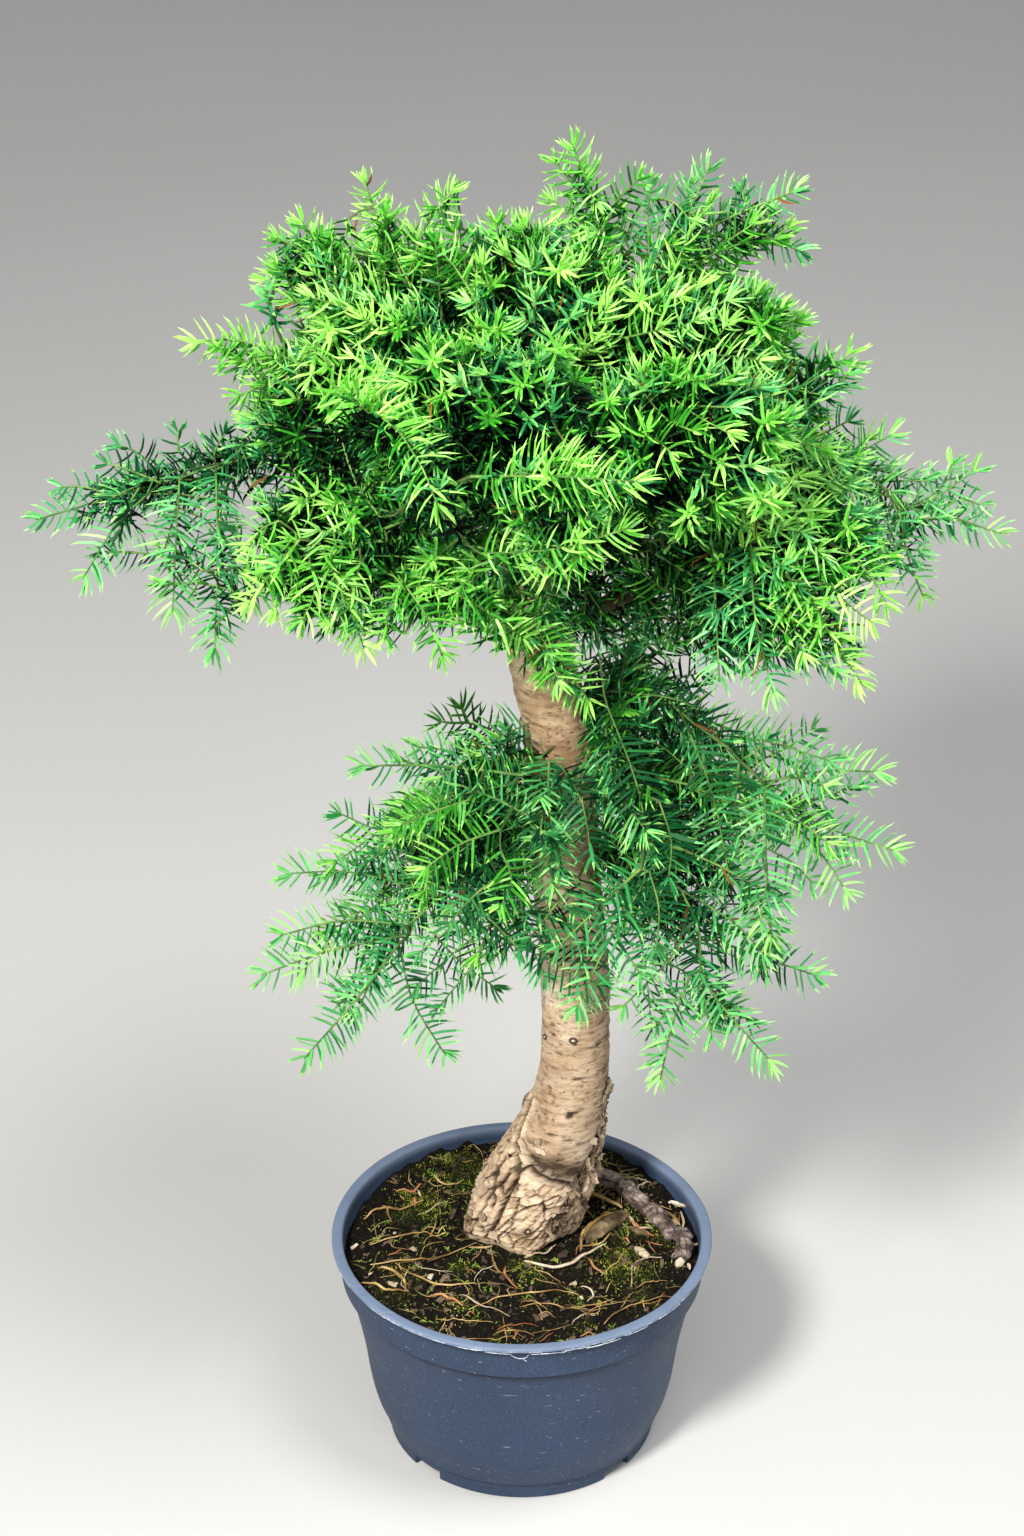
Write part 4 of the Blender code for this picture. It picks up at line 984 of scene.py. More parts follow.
def pot_piece():
    steps = 288
    profile = [(0.0, 0.0085), (0.020, 0.0085), (0.0390, 0.0085), (0.0506, 0.0085), (0.0640, 0.0085)]
    profile += arc(0.0656, 0.0110, 0.0025, -90, 0, 5)
    profile += [(0.0681 + (0.0855 - 0.0681) * t, 0.0115 + (0.0922 - 0.0115) * t) for t in np.linspace(0, 1, 8)[1:]]
    profile += [(0.0861, 0.0936), (0.0877, 0.0950), (0.0882, 0.0962), (0.0886, 0.1040), (0.0890, 0.1105)]
    profile += arc(0.0908, 0.1134, 0.0015, 180, 95, 6)
    profile += [(0.0920, 0.11495), (0.0934, 0.11492)]
    profile += arc(0.0938, 0.1138, 0.0011, 85, -10, 8)
    profile += [(0.0948, 0.1129), (0.0944, 0.1126), (0.0930, 0.1126), (0.0918, 0.1122)]
    profile += arc(0.0920, 0.1113, 0.0008, 110, 185, 4)
    profile += [(0.0909, 0.1060), (0.0906, 0.1000), (0.0904, 0.0958)]
    profile += arc(0.0897, 0.0950, 0.0007, 0, -80, 5)
    profile += [(0.0884, 0.0940), (0.0878, 0.0938), (0.08745, 0.0934)]
    lo, hi = np.array((0.0702, 0.0112)), np.array((0.08745, 0.0934))
    wall = [hi + (lo - hi) * t for t in np.concatenate(((0.008, 0.018), np.linspace(0, 1, 30)[1:]))]
    # the side swells a little above the foot before it turns in
    profile += [(r + 0.0021 * math.exp(-(((z - 0.030) / 0.020) ** 2)) * min(1.0, (z - 0.0112) / 0.010), z) for r, z in wall]
    profile += [(0.06995, 0.0101), (0.0694, 0.0095), (0.0686, 0.0092), (0.0680, 0.0089), (0.0679, 0.0080), (0.0678, 0.0066), (0.0677, 0.0053), (0.0676, 0.0051), (0.0676, 0.0030)]
    profile += [(0.0675, 0.0006), (0.0671, 0.0001), (0.0664, 0.0), (0.0604, 0.0), (0.0597, 0.0006), (0.0594, 0.0030), (0.0592, 0.0051), (0.0590, 0.0060)]
    profile += [(0.0506, 0.0060), (0.0390, 0.0060), (0.0310, 0.0060), (0.0303, 0.0053), (0.0300, 0.0006), (0.0292, 0.0), (0.0, 0.0)]
    profile = np.array(profile)
    angle = np.arange(steps) * math.tau / steps
    radius = np.repeat(profile[:, 0][:, None], steps, 1)
    height = np.repeat(profile[:, 1][:, None], steps, 1)
    turn = np.repeat(angle[None, :], len(profile), 0)
    # moulded plastic is never quite true
    upper = np.clip((height - 0.03) / 0.085, 0, 1)
    radius = radius * (1 + upper * (0.0034 * np.cos(2 * turn + 0.8) + 0.0012 * np.cos(3 * turn + 2.0)) * np.clip(radius / 0.06, 0, 1))
    height = height + np.where(height > 0.100, 0.00030 * np.cos(2 * turn + 2.1) + 0.00020 * np.cos(5 * turn), 0)
    outer = (np.arange(len(profile)) > 30)[:, None] & (profile[:, 1] < 0.1122)[:, None] & (profile[:, 1] > 0.0092)[:, None]
    # a faint mould line down the left of the front
    line = np.angle(np.exp(1j * (turn - math.radians(-122.5))))
    radius = radius + outer * 0.00022 * np.exp(-((line * radius / 0.00045) ** 2)) * (height > 0.094)
    # nicks in the rim
    dents = fractal(np.stack((np.cos(turn) * 26, np.sin(turn) * 26, height * 180), -1).reshape(-1, 3), 3, 600).reshape(turn.shape)
    rim = ((height > 0.1126) & (radius > 0.090)).astype(float)
    radius = radius - rim * 0.00035 * np.clip(dents - 0.15, 0, 1)
    # painted highlight on the lip's outer edge, on the front only, broken up like scuffs
    edge_highlight_noise = fractal(np.stack((np.cos(turn) * 16, np.sin(turn) * 16, height * 400), -1).reshape(-1, 3), 3, 620).reshape(turn.shape)
    front = np.clip(0.35 - np.sin(turn), 0, 1)
    edge = np.exp(-(((height - 0.1129) / 0.0009) ** 2)) * (radius > 0.0936)
    edge_highlight_and_scuff = np.clip(edge_highlight_noise * 2.6 + 0.45, 0, 1) * edge * front
    # darker on the pot's inside, below the soil line
    dirt_and_painted_shade = np.clip((0.0965 - height) / 0.004, 0, 1) * (np.arange(len(profile)) < 13)[:, None]
    # painted shade under the collar's edge, under the lip and above the foot's step
    crease = np.interp(height, (0.0870, 0.0900, 0.0922, 0.0940, 0.0944), (0.0, 0.28, 0.90, 1.0, 0.0)) * outer
    rows_on = np.arange(len(profile))[:, None]
    under_lip = ((profile[:, 0] < 0.0931) & (profile[:, 1] < 0.1127) & (profile[:, 1] > 0.1085))[:, None] & (rows_on > 20)
    crease = crease + np.interp(height, (0.1090, 0.1108, 0.1120), (0.0, 0.5, 0.95)) * under_lip
    crease = crease + 0.55 * np.exp(-(((height - 0.0096) / 0.0006) ** 2)) * (rows_on > 40) * (radius > 0.0675)
    dirt_and_painted_shade = np.clip(dirt_and_painted_shade + crease, 0, 1)
    # painted light: the upper wall inside the pot is made paler
    inner = np.clip((height - 0.098) / 0.006, 0, 1) * (radius < 0.0912) * (rows_on < 22)
    x, y = radius * np.cos(turn), radius * np.sin(turn)
    points = np.stack((x, y, height), -1).reshape(-1, 3)
    n = len(profile)
    i = np.arange(n - 1)[:, None] * steps
    j = np.arange(steps)[None, :]
    k = (j + 1) % steps
    quads = np.stack((i + j, i + k, i + steps + k, i + steps + j), -1)
    keep = np.ones(quads.shape[:2], bool)
    middle = (angle + math.pi / steps)[None, :]
    # notches through the foot ring, closed over by the rows beside them
    ring_rows = np.array([(profile[a, 1] <= 0.00531 and profile[a + 1, 1] <= 0.00531 and profile[a, 0] > 0.0585 and profile[a + 1, 0] > 0.0585) for a in range(n - 1)])
    in_notch = np.zeros(steps, bool)
    for notch in NOTCHES:
        in_notch |= np.abs(np.angle(np.exp(1j * (middle[0] - notch)))) < NOTCH_HALF / FOOT_RADIUS
    keep[np.ix_(ring_rows, in_notch)] = False
    first, last = np.flatnonzero(ring_rows)[0], np.flatnonzero(ring_rows)[-1] + 1
    extra = [(first * steps + a, first * steps + (a + 1) % steps, last * steps + (a + 1) % steps, last * steps + a) for a in np.flatnonzero(in_notch)]
    # the walls at each end of a notch
    for a in range(steps):
        if in_notch[a] == in_notch[a - 1]:
            continue
        ring = [r * steps + a for r in range(first, last + 1)]
        for b in range(1, len(ring) - 1):
            tri = (ring[0], ring[b], ring[b + 1])
            tri = tri if in_notch[a] else tri[::-1]
            extra.append((*tri, tri[2]))
    # drain holes through the floor, as short walls between its two faces
    top_row = next(a for a in range(n) if abs(profile[a, 0] - 0.0390) < 1e-6)
    low_row = next(a for a in range(n - 1, 0, -1) if abs(profile[a, 0] - 0.0390) < 1e-6)
    for drain in DRAINS:
        cells = np.flatnonzero(np.abs(np.angle(np.exp(1j * (middle[0] - drain)))) < DRAIN_RADIUS / DRAIN_CIRCLE)
        keep[top_row, cells] = False
        keep[low_row - 1, cells] = False
        for a in cells:
            b = (a + 1) % steps
            extra.append((top_row * steps + a, top_row * steps + b, low_row * steps + b, low_row * steps + a))
            extra.append(((top_row + 1) * steps + b, (top_row + 1) * steps + a, (low_row - 1) * steps + a, (low_row - 1) * steps + b))
        for a, flip in ((cells[0], 1), ((cells[-1] + 1) % steps, 0)):
            quad = (top_row * steps + a, (top_row + 1) * steps + a, (low_row - 1) * steps + a, low_row * steps + a)
            extra.append(quad[::-1] if flip else quad)
    faces = np.vstack((quads[keep], np.array(extra)))
    triangles = np.vstack((faces[:, (0, 1, 2)], faces[:, (0, 2, 3)]))
    corner = points[triangles]
    area = np.linalg.norm(np.cross(corner[:, 1] - corner[:, 0], corner[:, 2] - corner[:, 0]), axis=1)
    distinct = (triangles[:, 0] != triangles[:, 1]) & (triangles[:, 1] != triangles[:, 2]) & (triangles[:, 0] != triangles[:, 2])
    triangles = triangles[distinct & (area > 1e-12)][:, ::-1]
    piece("pot_shell", points, triangles, pot_material(), smooth=True, replaces=("pot",), attributes={"edge_highlight_and_scuff": edge_highlight_and_scuff.ravel(), "dirt_and_painted_shade": dirt_and_painted_shade.ravel(), "inner": inner.ravel()}, crease=34)


pot_piece()


# ---------------------------------------------------------------- soil and what lies on it
def soil_material():
    m = Nodes("potting_soil")
    grain = m.noise(420.0, 5.0, 0.7)
    base = m.ramp(grain, ((0.34, (0.0025, 0.002, 0.0015)), (0.52, (0.007, 0.005, 0.003)), (0.62, (0.020, 0.014, 0.008)), (0.70, (0.16, 0.115, 0.055))))
    moss = m.attribute("moss")
    blades = m.noise(900.0, 3.0, 0.7)
    green = m.ramp(blades, ((0.38, (0.003, 0.004, 0.001)), (0.54, (0.012, 0.018, 0.003)), (0.68, (0.085, 0.115, 0.013))))
    base = m.mix(moss, base, green)
    m.bump(m.noise(1300.0, 4.0, 0.7), 0.9, 0.0012)
    return m.finish(base, 0.9, 0.15)


MOSS_BEDS = (
    # angle, distance from the pot's axis, half-size, strength
    (118, 0.066, 0.030, 1.0), (92, 0.070, 0.022, 0.8), (146, 0.058, 0.026, 0.9), (170, 0.052, 0.018, 0.5), (196, 0.064, 0.022, 0.5),
    (64, 0.072, 0.022, 1.0), (40, 0.070, 0.020, 0.9), (22, 0.050, 0.022, 1.0), (8, 0.074, 0.018, 0.8), (-18, 0.052, 0.026, 1.0),
    (-34, 0.070, 0.020, 0.6), (-58, 0.050, 0.018, 0.5), (-84, 0.020, 0.014, 0.9), (-96, 0.070, 0.016, 0.45), (-120, 0.058, 0.018, 0.4),
    (-66, 0.074, 0.018, 0.5), (-150, 0.072, 0.018, 0.55), (210, 0.036, 0.014, 0.7), (-150, 0.040, 0.016, 0.35),
)


def moss_at(x, y):
    total = np.zeros_like(x)
    for degrees, far, size, strength in MOSS_BEDS:
        a = math.radians(degrees)
        d2 = (x - far * math.cos(a)) ** 2 + (y - far * math.sin(a)) ** 2
        total = np.maximum(total, strength * np.exp(-d2 / (size * size) * 2.2))
    return total


def soil_height(x, y):
    flat = np.stack((x, y, np.zeros_like(x)), -1).reshape(-1, 3)
    hills = fractal(flat * 38 + 3.3, 3, 700).reshape(x.shape)
    crumb = fractal(flat * 330, 3, 710).reshape(x.shape)
    clods = fractal(flat * 140, 2, 720).reshape(x.shape)
    moss = moss_at(x, y)
    tuft = fractal(flat * 520, 2, 730).reshape(x.shape)
    foot = np.hypot(x + 0.0008, y - 0.0215)
    near = np.exp(-((np.maximum(foot - 0.026, 0) / 0.012) ** 2))
    far = np.hypot(x, y)
    edge = np.clip((far - 0.080) / 0.008, 0, 1)
    z = SOIL_TOP + 0.0012 * hills + 0.0011 * crumb + 0.0011 * np.clip(clods, 0, 1) + moss * (0.0020 + 0.0014 * tuft) + near * 0.0016 - edge * 0.0018
    back = np.clip((y - 0.020) / 0.045, 0, 1) * np.clip((far - 0.050) / 0.025, 0, 1)
    z = z + back * (0.0042 + 0.0030 * np.clip(clods, -0.3, 1))
    return z, moss


def soil_piece():
    sides, rows = ((330, 150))
    radius = 0.0884 * np.sqrt(np.linspace(0.0004, 1, rows))
    angle = np.arange(sides) * math.tau / sides
    rr, aa = np.meshgrid(radius, angle, indexing="ij")
    x, y = rr * np.cos(aa), rr * np.sin(aa)
    z, moss = soil_height(x, y)
    flat = np.stack((x, y, np.zeros_like(x)), -1).reshape(-1, 3)
    patchy = fractal(flat * 120, 3, 740).reshape(x.shape)
    moss = np.clip((moss * 0.9 + 0.75 * patchy - 0.40) * 3.0, 0, 1)
    points = np.stack((x, y, z), -1).reshape(-1, 3)
    i = np.arange(rows - 1)[:, None] * sides
    j = np.arange(sides)[None, :]
    k = (j + 1) % sides
    faces = np.stack((i + j, i + sides + j, i + sides + k, i + k), -1).reshape(-1, 4)
    skirt = np.stack((x[-1], y[-1], np.full(sides, 0.0975)), -1)
    base = len(points)
    points = np.vstack((points, skirt, (0, 0, float(z[0].mean()))))
    last = (rows - 1) * sides
    a = np.arange(sides)
    b = (a + 1) % sides
    faces = np.vstack((faces, np.stack((last + a, base + a, base + b, last + b), -1)))
    centre = np.stack((np.full(sides, len(points) - 1), a, b), -1)
    triangles = np.vstack((faces[:, (0, 1, 2)], faces[:, (0, 2, 3)], centre))
    values = np.concatenate((moss.ravel(), np.zeros(sides + 1)))
    piece("soil_surface", points, triangles, soil_material(), smooth=True, replaces=("soil",), attributes={"moss": values})


soil_piece()


def soil_z(x, y):
    z, _ = soil_height(np.array([x], float), np.array([y], float))
    return float(z[0])


def on_soil(place, clear=0.030, edge=0.085):
    """True where a small thing can lie: inside the rim and outside the trunk's foot."""
    return math.hypot(place[0], place[1]) < edge and math.hypot(place[0] + 0.0008, place[1] - 0.0215) > clear


def straw_material(name, stops, roughness=0.6):
    m = Nodes(name)
    tone = m.noise(70.0, 3.0, 0.6)
    fibre = m.noise(650.0, 2.0, 0.5)
    base = m.ramp(tone, stops)
    base = m.mix(0.4, base, m.ramp(fibre, ((0.35, (0.55, 0.5, 0.45)), (0.6, (1.1, 1.08, 1.05)))), "MULTIPLY")
    m.bump(fibre, 0.3, 0.0002)
    return m.finish(base, roughness, 0.3)


STRAW = straw_material("dried_strands", ((0.34, (0.20, 0.105, 0.036)), (0.5, (0.48, 0.30, 0.105)), (0.66, (0.76, 0.56, 0.25))))
OLIVE = straw_material("olive_strands", ((0.34, (0.055, 0.045, 0.016)), (0.5, (0.17, 0.14, 0.045)), (0.66, (0.40, 0.35, 0.12))))
RUST = straw_material("rust_needles", ((0.34, (0.24, 0.075, 0.030)), (0.5, (0.48, 0.19, 0.075)), (0.66, (0.62, 0.34, 0.16))))
PALE = straw_material("bleached_litter", ((0.34, (0.40, 0.30, 0.19)), (0.5, (0.62, 0.51, 0.36)), (0.66, (0.78, 0.70, 0.56))), 0.7)
MOSS_GREEN = straw_material("moss_tips", ((0.38, (0.018, 0.026, 0.004)), (0.49, (0.115, 0.135, 0.012)), (0.60, (0.36, 0.39, 0.040))))
SPROUT = straw_material("sprouts", ((0.38, (0.060, 0.13, 0.015)), (0.5, (0.20, 0.34, 0.030)), (0.64, (0.48, 0.60, 0.09))))
FLAKE = straw_material("curled_bark", ((0.38, (0.050, 0.036, 0.016)), (0.5, (0.21, 0.150, 0.075)), (0.62, (0.47, 0.36, 0.215))), 0.8)
CHIP = straw_material("bark_chips", ((0.36, (0.030, 0.020, 0.014)), (0.5, (0.090, 0.058, 0.036)), (0.64, (0.21, 0.145, 0.095))), 0.85)

# strands that lie where the light falls on them: thickness, kind and points across the soil
LAID_STRANDS = (
    (0.00075, "straw", ((-0.0245, -0.0510), (-0.010, -0.0430), (0.004, -0.0385), (0.018, -0.0385), (0.029, -0.0420))),
    (0.0019, "pale", ((0.0015, -0.0160), (0.012, -0.0200), (0.024, -0.0165), (0.034, -0.0080), (0.0415, -0.0005))),
    (0.0013, "straw", ((-0.0795, -0.0300), (-0.0640, -0.0385), (-0.0560, -0.0385))),
    (0.00085, "straw", ((-0.0755, -0.0175), (-0.058, -0.0130), (-0.0430, -0.0120), (-0.0310, -0.0060), (-0.0225, 0.0005))),
    (0.0016, "straw", ((-0.0700, -0.0190), (-0.0620, -0.0240), (-0.0580, -0.0320), (-0.0575, -0.0390))),
    (0.0016, "rust", ((-0.0460, -0.0420), (-0.0400, -0.0420), (-0.0330, -0.0470), (-0.0290, -0.0520))),
    (0.0010, "rust", ((-0.0080, -0.0180), (-0.0085, -0.0250), (-0.0060, -0.0310), (-0.0020, -0.0360))),
    (0.0007, "pale", ((-0.0310, -0.0400), (-0.0230, -0.0470), (-0.0120, -0.0540), (-0.0060, -0.0590))),
    (0.0006, "straw", ((-0.0420, -0.0600), (-0.0260, -0.0610), (-0.0140, -0.0620))),
    (0.0006, "straw", ((0.0000, -0.0500), (0.0100, -0.0480), (0.0220, -0.0510), (0.0340, -0.0500), (0.0450, -0.0440))),
    (0.0007, "straw", ((0.0400, -0.0640), (0.0460, -0.0560), (0.0580, -0.0480), (0.0700, -0.0430), (0.0800, -0.0400))),
    (0.0006, "rust", ((-0.0120, -0.0690), (0.0010, -0.0640), (0.0080, -0.0650))),
    (0.0009, "pale", ((0.0290, -0.0340), (0.0340, -0.0370), (0.0350, -0.0430), (0.0320, -0.0470))),
    (0.0008, "straw", ((0.0560, -0.0370), (0.0640, -0.0310), (0.0720, -0.0300))),
    (0.0012, "rust", ((0.0330, -0.0120), (0.0360, -0.0200), (0.0400, -0.0260))),
    (0.0010, "pale", ((0.0050, -0.0120), (0.0120, -0.0090), (0.0170, -0.0030))),
    (0.0009, "straw", ((0.0450, 0.0090), (0.0400, 0.0000), (0.0290, -0.0020), (0.0270, -0.0090))),
    (0.0008, "straw", ((-0.0760, -0.0010), (-0.0640, 0.0060), (-0.0500, 0.0080), (-0.0400, 0.0040))),
    (0.0017, "straw", ((0.0296, -0.0040), (0.0308, 0.0076), (0.0380, 0.0177), (0.0462, 0.0227), (0.0532, 0.0202))),
    (0.0024, "straw", ((0.0309, 0.0431), (0.0360, 0.0402), (0.0414, 0.0363), (0.0509, 0.0286))),
    (0.0015, "pale", ((0.0543, 0.0212), (0.0565, 0.0160), (0.0590, 0.0124), (0.0655, 0.0120))),
    (0.0026, "pale", ((0.0749, 0.0329), (0.0794, 0.0322), (0.0839, 0.0312))),
    (0.0011, "pale", ((0.0808, 0.0278), (0.0820, 0.0194), (0.0807, 0.0126))),
    (0.0015, "pale", ((0.0884, 0.0023), (0.0868, 0.0010), (0.0850, 0.0004))),
    (0.0016, "pale", ((0.0828, -0.0141), (0.0834, -0.0165), (0.0836, -0.0190))),
    (0.0012, "straw", ((0.0861, -0.0174), (0.0856, -0.0205), (0.0849, -0.0239))),
    (0.0017, "rust", ((0.0547, 0.0185), (0.0605, 0.0110), (0.0664, 0.0068))),
    (0.0018, "straw", ((0.0675, 0.0264), (0.0731, 0.0256), (0.0774, 0.0197), (0.0798, 0.0147))),
    (0.0013, "straw", ((-0.0800, 0.0230), (-0.0720, 0.0290), (-0.0600, 0.0270), (-0.0500, 0.0330))),
    (0.0012, "rust", ((-0.0640, 0.0430), (-0.0560, 0.0400), (-0.0500, 0.0460))),
    (0.0011, "straw", ((-0.0460, 0.0560), (-0.0400, 0.0480), (-0.0300, 0.0500))),
    (0.0010, "straw", ((-0.0560, -0.0230), (-0.0470, -0.0300), (-0.0350, -0.0330), (-0.0230, -0.0310))),
)


def strand(bag, line, thickness, flatness=0.7, sides=5, tip=0.25, z_lift=0.0):
    line = np.asarray(line, float)
    count = max(8, int(np.linalg.norm(np.diff(line, axis=0), axis=1).sum() / 0.0016))
    curve, _, length = catmull(line, min(count, 40))
    t = np.linspace(0, 1, len(curve))
    radii = thickness / 2 * (tip + (1 - tip) * np.sin(np.pi * np.clip(0.12 + 0.83 * t, 0, 1)))
    points, faces = tube_arrays(curve, radii, sides, rng.uniform(0, 3))
    centre = np.repeat(curve, sides, 0)
    away = points - centre
    away[:, 2] *= flatness
    points = centre + away
    n = len(curve)
    ends = np.vstack((points, curve[0], curve[-1]))
    a = np.arange(sides)
    b = (a + 1) % sides
    caps = np.vstack(
        (
            np.stack((b, a, np.full(sides, len(points))), -1),
            np.stack(((n - 1) * sides + a, (n - 1) * sides + b, np.full(sides, len(points) + 1)), -1),
        )
    )
    bag.add(ends, np.vstack((faces[:, (0, 1, 2)], faces[:, (0, 2, 3)], caps)))


def litter_pieces():
    bags = {"straw": Bag(), "rust": Bag(), "pale": Bag(), "olive": Bag()}
    moss, sprouts, chips, curls = Bag(), Bag(), Bag(), Bag()
    for thickness, kind, line in LAID_STRANDS:
        dense, _, _ = catmull([(x, y, 0) for x, y in line], 14)
        lift = rng.uniform(0.0004, 0.0012)
        path = [(x, y, soil_z(x, y) + thickness * 0.4 + lift + 0.0008 * abs(math.sin(3.1 * k / 13 * 2))) for k, (x, y, _) in enumerate(dense)]
        strand(bags[kind], path, thickness * 1.15)
    count = 250
    for k in range(count):
        a, far = rng.uniform(0, math.tau), 0.086 * math.sqrt(rng.uniform(0, 1))
        x, y = far * math.cos(a), far * math.sin(a)
        if not on_soil((x, y)):
            continue
        kind = rng.choice(["straw", "rust", "pale", "olive"], p=(0.34, 0.14, 0.08, 0.44))
        length = rng.uniform(0.006, 0.030) if kind != "rust" else rng.uniform(0.005, 0.012)
        heading, bend = rng.uniform(0, math.tau), rng.normal(0, 45 if kind in ("straw", "olive") else 60)
        thickness = rng.uniform(0.00035, 0.00072) if kind in ("straw", "olive") else rng.uniform(0.0005, 0.0011)
        if far < 0.080 and y > -0.01 and rng.uniform() < 0.30:
            thickness, length = thickness * 1.8, length * 0.8
        path, steps = [], 9
        arch = rng.uniform(0, 0.0028) if rng.uniform() < 0.5 else 0
        for s in range(steps):
            if not on_soil((x, y), 0.0255, 0.0868):
                break
            u = s / (steps - 1)
            path.append((x, y, soil_z(x, y) + thickness * 0.45 + arch * math.sin(math.pi * u)))
            x += math.cos(heading) * length / steps
            y += math.sin(heading) * length / steps
            heading += bend * length / steps + rng.normal(0, 0.22)
        if len(path) > 4:
            strand(bags[kind], path, thickness, sides=4)
    # moss: short leaning blades in beds
    def blade(bag, place, direction, length, width, bend=0.3):
        side = unit(np.cross(direction, rng.normal(size=3)))
        up = np.cross(side, direction)
        mid = place + direction * length * 0.5 + up * length * bend * 0.25
        tip = place + direction * length + up * length * bend
        pts = np.array((place - side * width / 2, place + side * width / 2, place - up * width * 0.5, mid - side * width * 0.42, mid + side * width * 0.42, mid - up * width * 0.4, tip))
        tris = np.array(((0, 1, 4), (0, 4, 3), (1, 2, 5), (1, 5, 4), (2, 0, 3), (2, 3, 5), (3, 4, 6), (4, 5, 6), (5, 3, 6)))
        bag.add(pts, tris)

    wanted = 4600
    placed = 0
    while placed < wanted:
        a, far = rng.uniform(0, math.tau), 0.0855 * math.sqrt(rng.uniform(0, 1))
        x, y = far * math.cos(a), far * math.sin(a)
        amount = float(moss_at(np.array([x]), np.array([y]))[0])
        if rng.uniform() > amount**2.0 * 0.9 + 0.006 or not on_soil((x, y), 0.0262):
            continue
        direction = unit(np.array((rng.normal(0, 0.55), rng.normal(0, 0.55), 1.0)))
        blade(moss, np.array((x, y, soil_z(x, y) - 0.0003)), direction, rng.uniform(0.0008, 0.0020), rng.uniform(0.0004, 0.0009))
        placed += 1
    # yellow-green flecks
    for k in range(700):
        a, far = rng.uniform(0, math.tau), 0.085 * math.sqrt(rng.uniform(0, 1))
        x, y = far * math.cos(a), far * math.sin(a)
        if not on_soil((x, y), 0.0262):
            continue
        direction = unit(np.array((rng.normal(), rng.normal(), rng.uniform(0.0, 0.8))))
        kind = rng.choice(("sprout", "straw", "olive"), p=(0.42, 0.26, 0.32))
        blade(sprouts if kind == "sprout" else bags[kind], np.array((x, y, soil_z(x, y) + 0.0002)), direction, rng.uniform(0.0006, 0.0021), rng.uniform(0.0004, 0.0008))
    # sprouts: a few thin green blades in clumps
    for k in range(60):
        a, far = rng.uniform(0, math.tau), 0.082 * math.sqrt(rng.uniform(0.05, 1))
        x, y = far * math.cos(a), far * math.sin(a)
        if not on_soil((x, y), 0.034):
            continue
        for _ in range(int(rng.integers(3, 8))):
            lean = rng.normal(0, 0.95, 2)
            direction = unit(np.array((lean[0], lean[1], 1.0)))
            base = np.array((x + rng.normal(0, 0.0012), y + rng.normal(0, 0.0012), soil_z(x, y) - 0.0003))
            length = rng.uniform(0.0012, 0.0038)
            end = base + direction * length
            tip = end + np.array((direction[0], direction[1], -0.25)) * length * 0.5
            strand(sprouts, (base, (base + end) / 2 + (0, 0, length * 0.08), end, tip), rng.uniform(0.0004, 0.0008), 0.8, 4, 0.15)
    # chips and crumbs of bark
    for k in range(240):
        a, far = rng.uniform(0, math.tau), 0.084 * math.sqrt(rng.uniform(0, 1))
        x, y = far * math.cos(a), far * math.sin(a)
        if not on_soil((x, y), 0.030):
            continue
        size = rng.uniform(0.0005, 0.0015)
        bag = chips if rng.uniform() < 0.93 else bags["pale"]
        box = np.array([(i, j, k) for i in (-1, 1) for j in (-1, 1) for k in (-1, 1)], float) * np.array((1.5, 0.8, 0.35)) * size
        box += rng.normal(0, size * 0.34, box.shape)
        turn = rng.uniform(0, math.tau)
        c, s = math.cos(turn), math.sin(turn)
        tilt = rng.normal(0, 0.35)
        box[:, 2] += box[:, 0] * tilt
        box = box @ np.array(((c, s, 0), (-s, c, 0), (0, 0, 1)))
        tris = np.array(((0, 1, 3), (0, 3, 2), (4, 6, 7), (4, 7, 5), (0, 4, 5), (0, 5, 1), (2, 3, 7), (2, 7, 6), (0, 2, 6), (0, 6, 4), (1, 5, 7), (1, 7, 3)))
        bag.add(box + (x, y, soil_z(x, y) + size * 0.25), tris)
    # the larger curled flakes beside the root and the trunk
    for place, size, turn in (((0.0425, 0.0130), (0.0160, 0.0050), 0.83), ((0.0590, 0.0110), (0.0062, 0.0020), -0.6), ((0.060, -0.006), (0.0050, 0.0024), -0.9), ((0.074, 0.018), (0.0055, 0.0024), 0.2), ((0.079, -0.012), (0.0050, 0.0022), 1.2)):
        u, v = np.meshgrid(np.linspace(-1, 1, 13), np.linspace(-1, 1, 7), indexing="ij")
        width = np.sqrt(np.clip(1.04 - u**2, 0.02, 1))
        px, py = u * size[0], v * size[1] * width
        pz = 0.45 * size[1] * (1 - v**2) + 0.16 * size[0] * (1 - u**2)
        grid = np.stack((px, py, pz), -1).reshape(-1, 3)
        grid += fractal(grid * 420, 2, 800)[:, None] * 0.0007
        c, s = math.cos(turn), math.sin(turn)
        grid = grid @ np.array(((c, s, 0), (-s, c, 0), (0, 0, 1)))
        under = grid - (0, 0, 0.0009)
        base_z = soil_z(*place) - 0.0002
        both = np.vstack((grid, under)) + (place[0], place[1], base_z + 0.0006)
        idx = np.arange(13 * 7).reshape(13, 7)
        a, b, c2, d = idx[:-1, :-1].ravel(), idx[1:, :-1].ravel(), idx[1:, 1:].ravel(), idx[:-1, 1:].ravel()
        upper = np.vstack((np.stack((a, b, c2), -1), np.stack((a, c2, d), -1)))
        lower = upper[:, ::-1] + 91
        loop = list(idx[:, 0]) + list(idx[-1, 1:]) + list(idx[-2::-1, -1]) + list(idx[0, -2:0:-1])
        walls = []
        for p, q in zip(loop, loop[1:] + loop[:1]):
            walls += [(q, p, p + 91), (q, p + 91, q + 91)]
        (curls if size[0] > 0.006 else bags["pale"]).add(both, np.vstack((upper, lower, np.array(walls))))
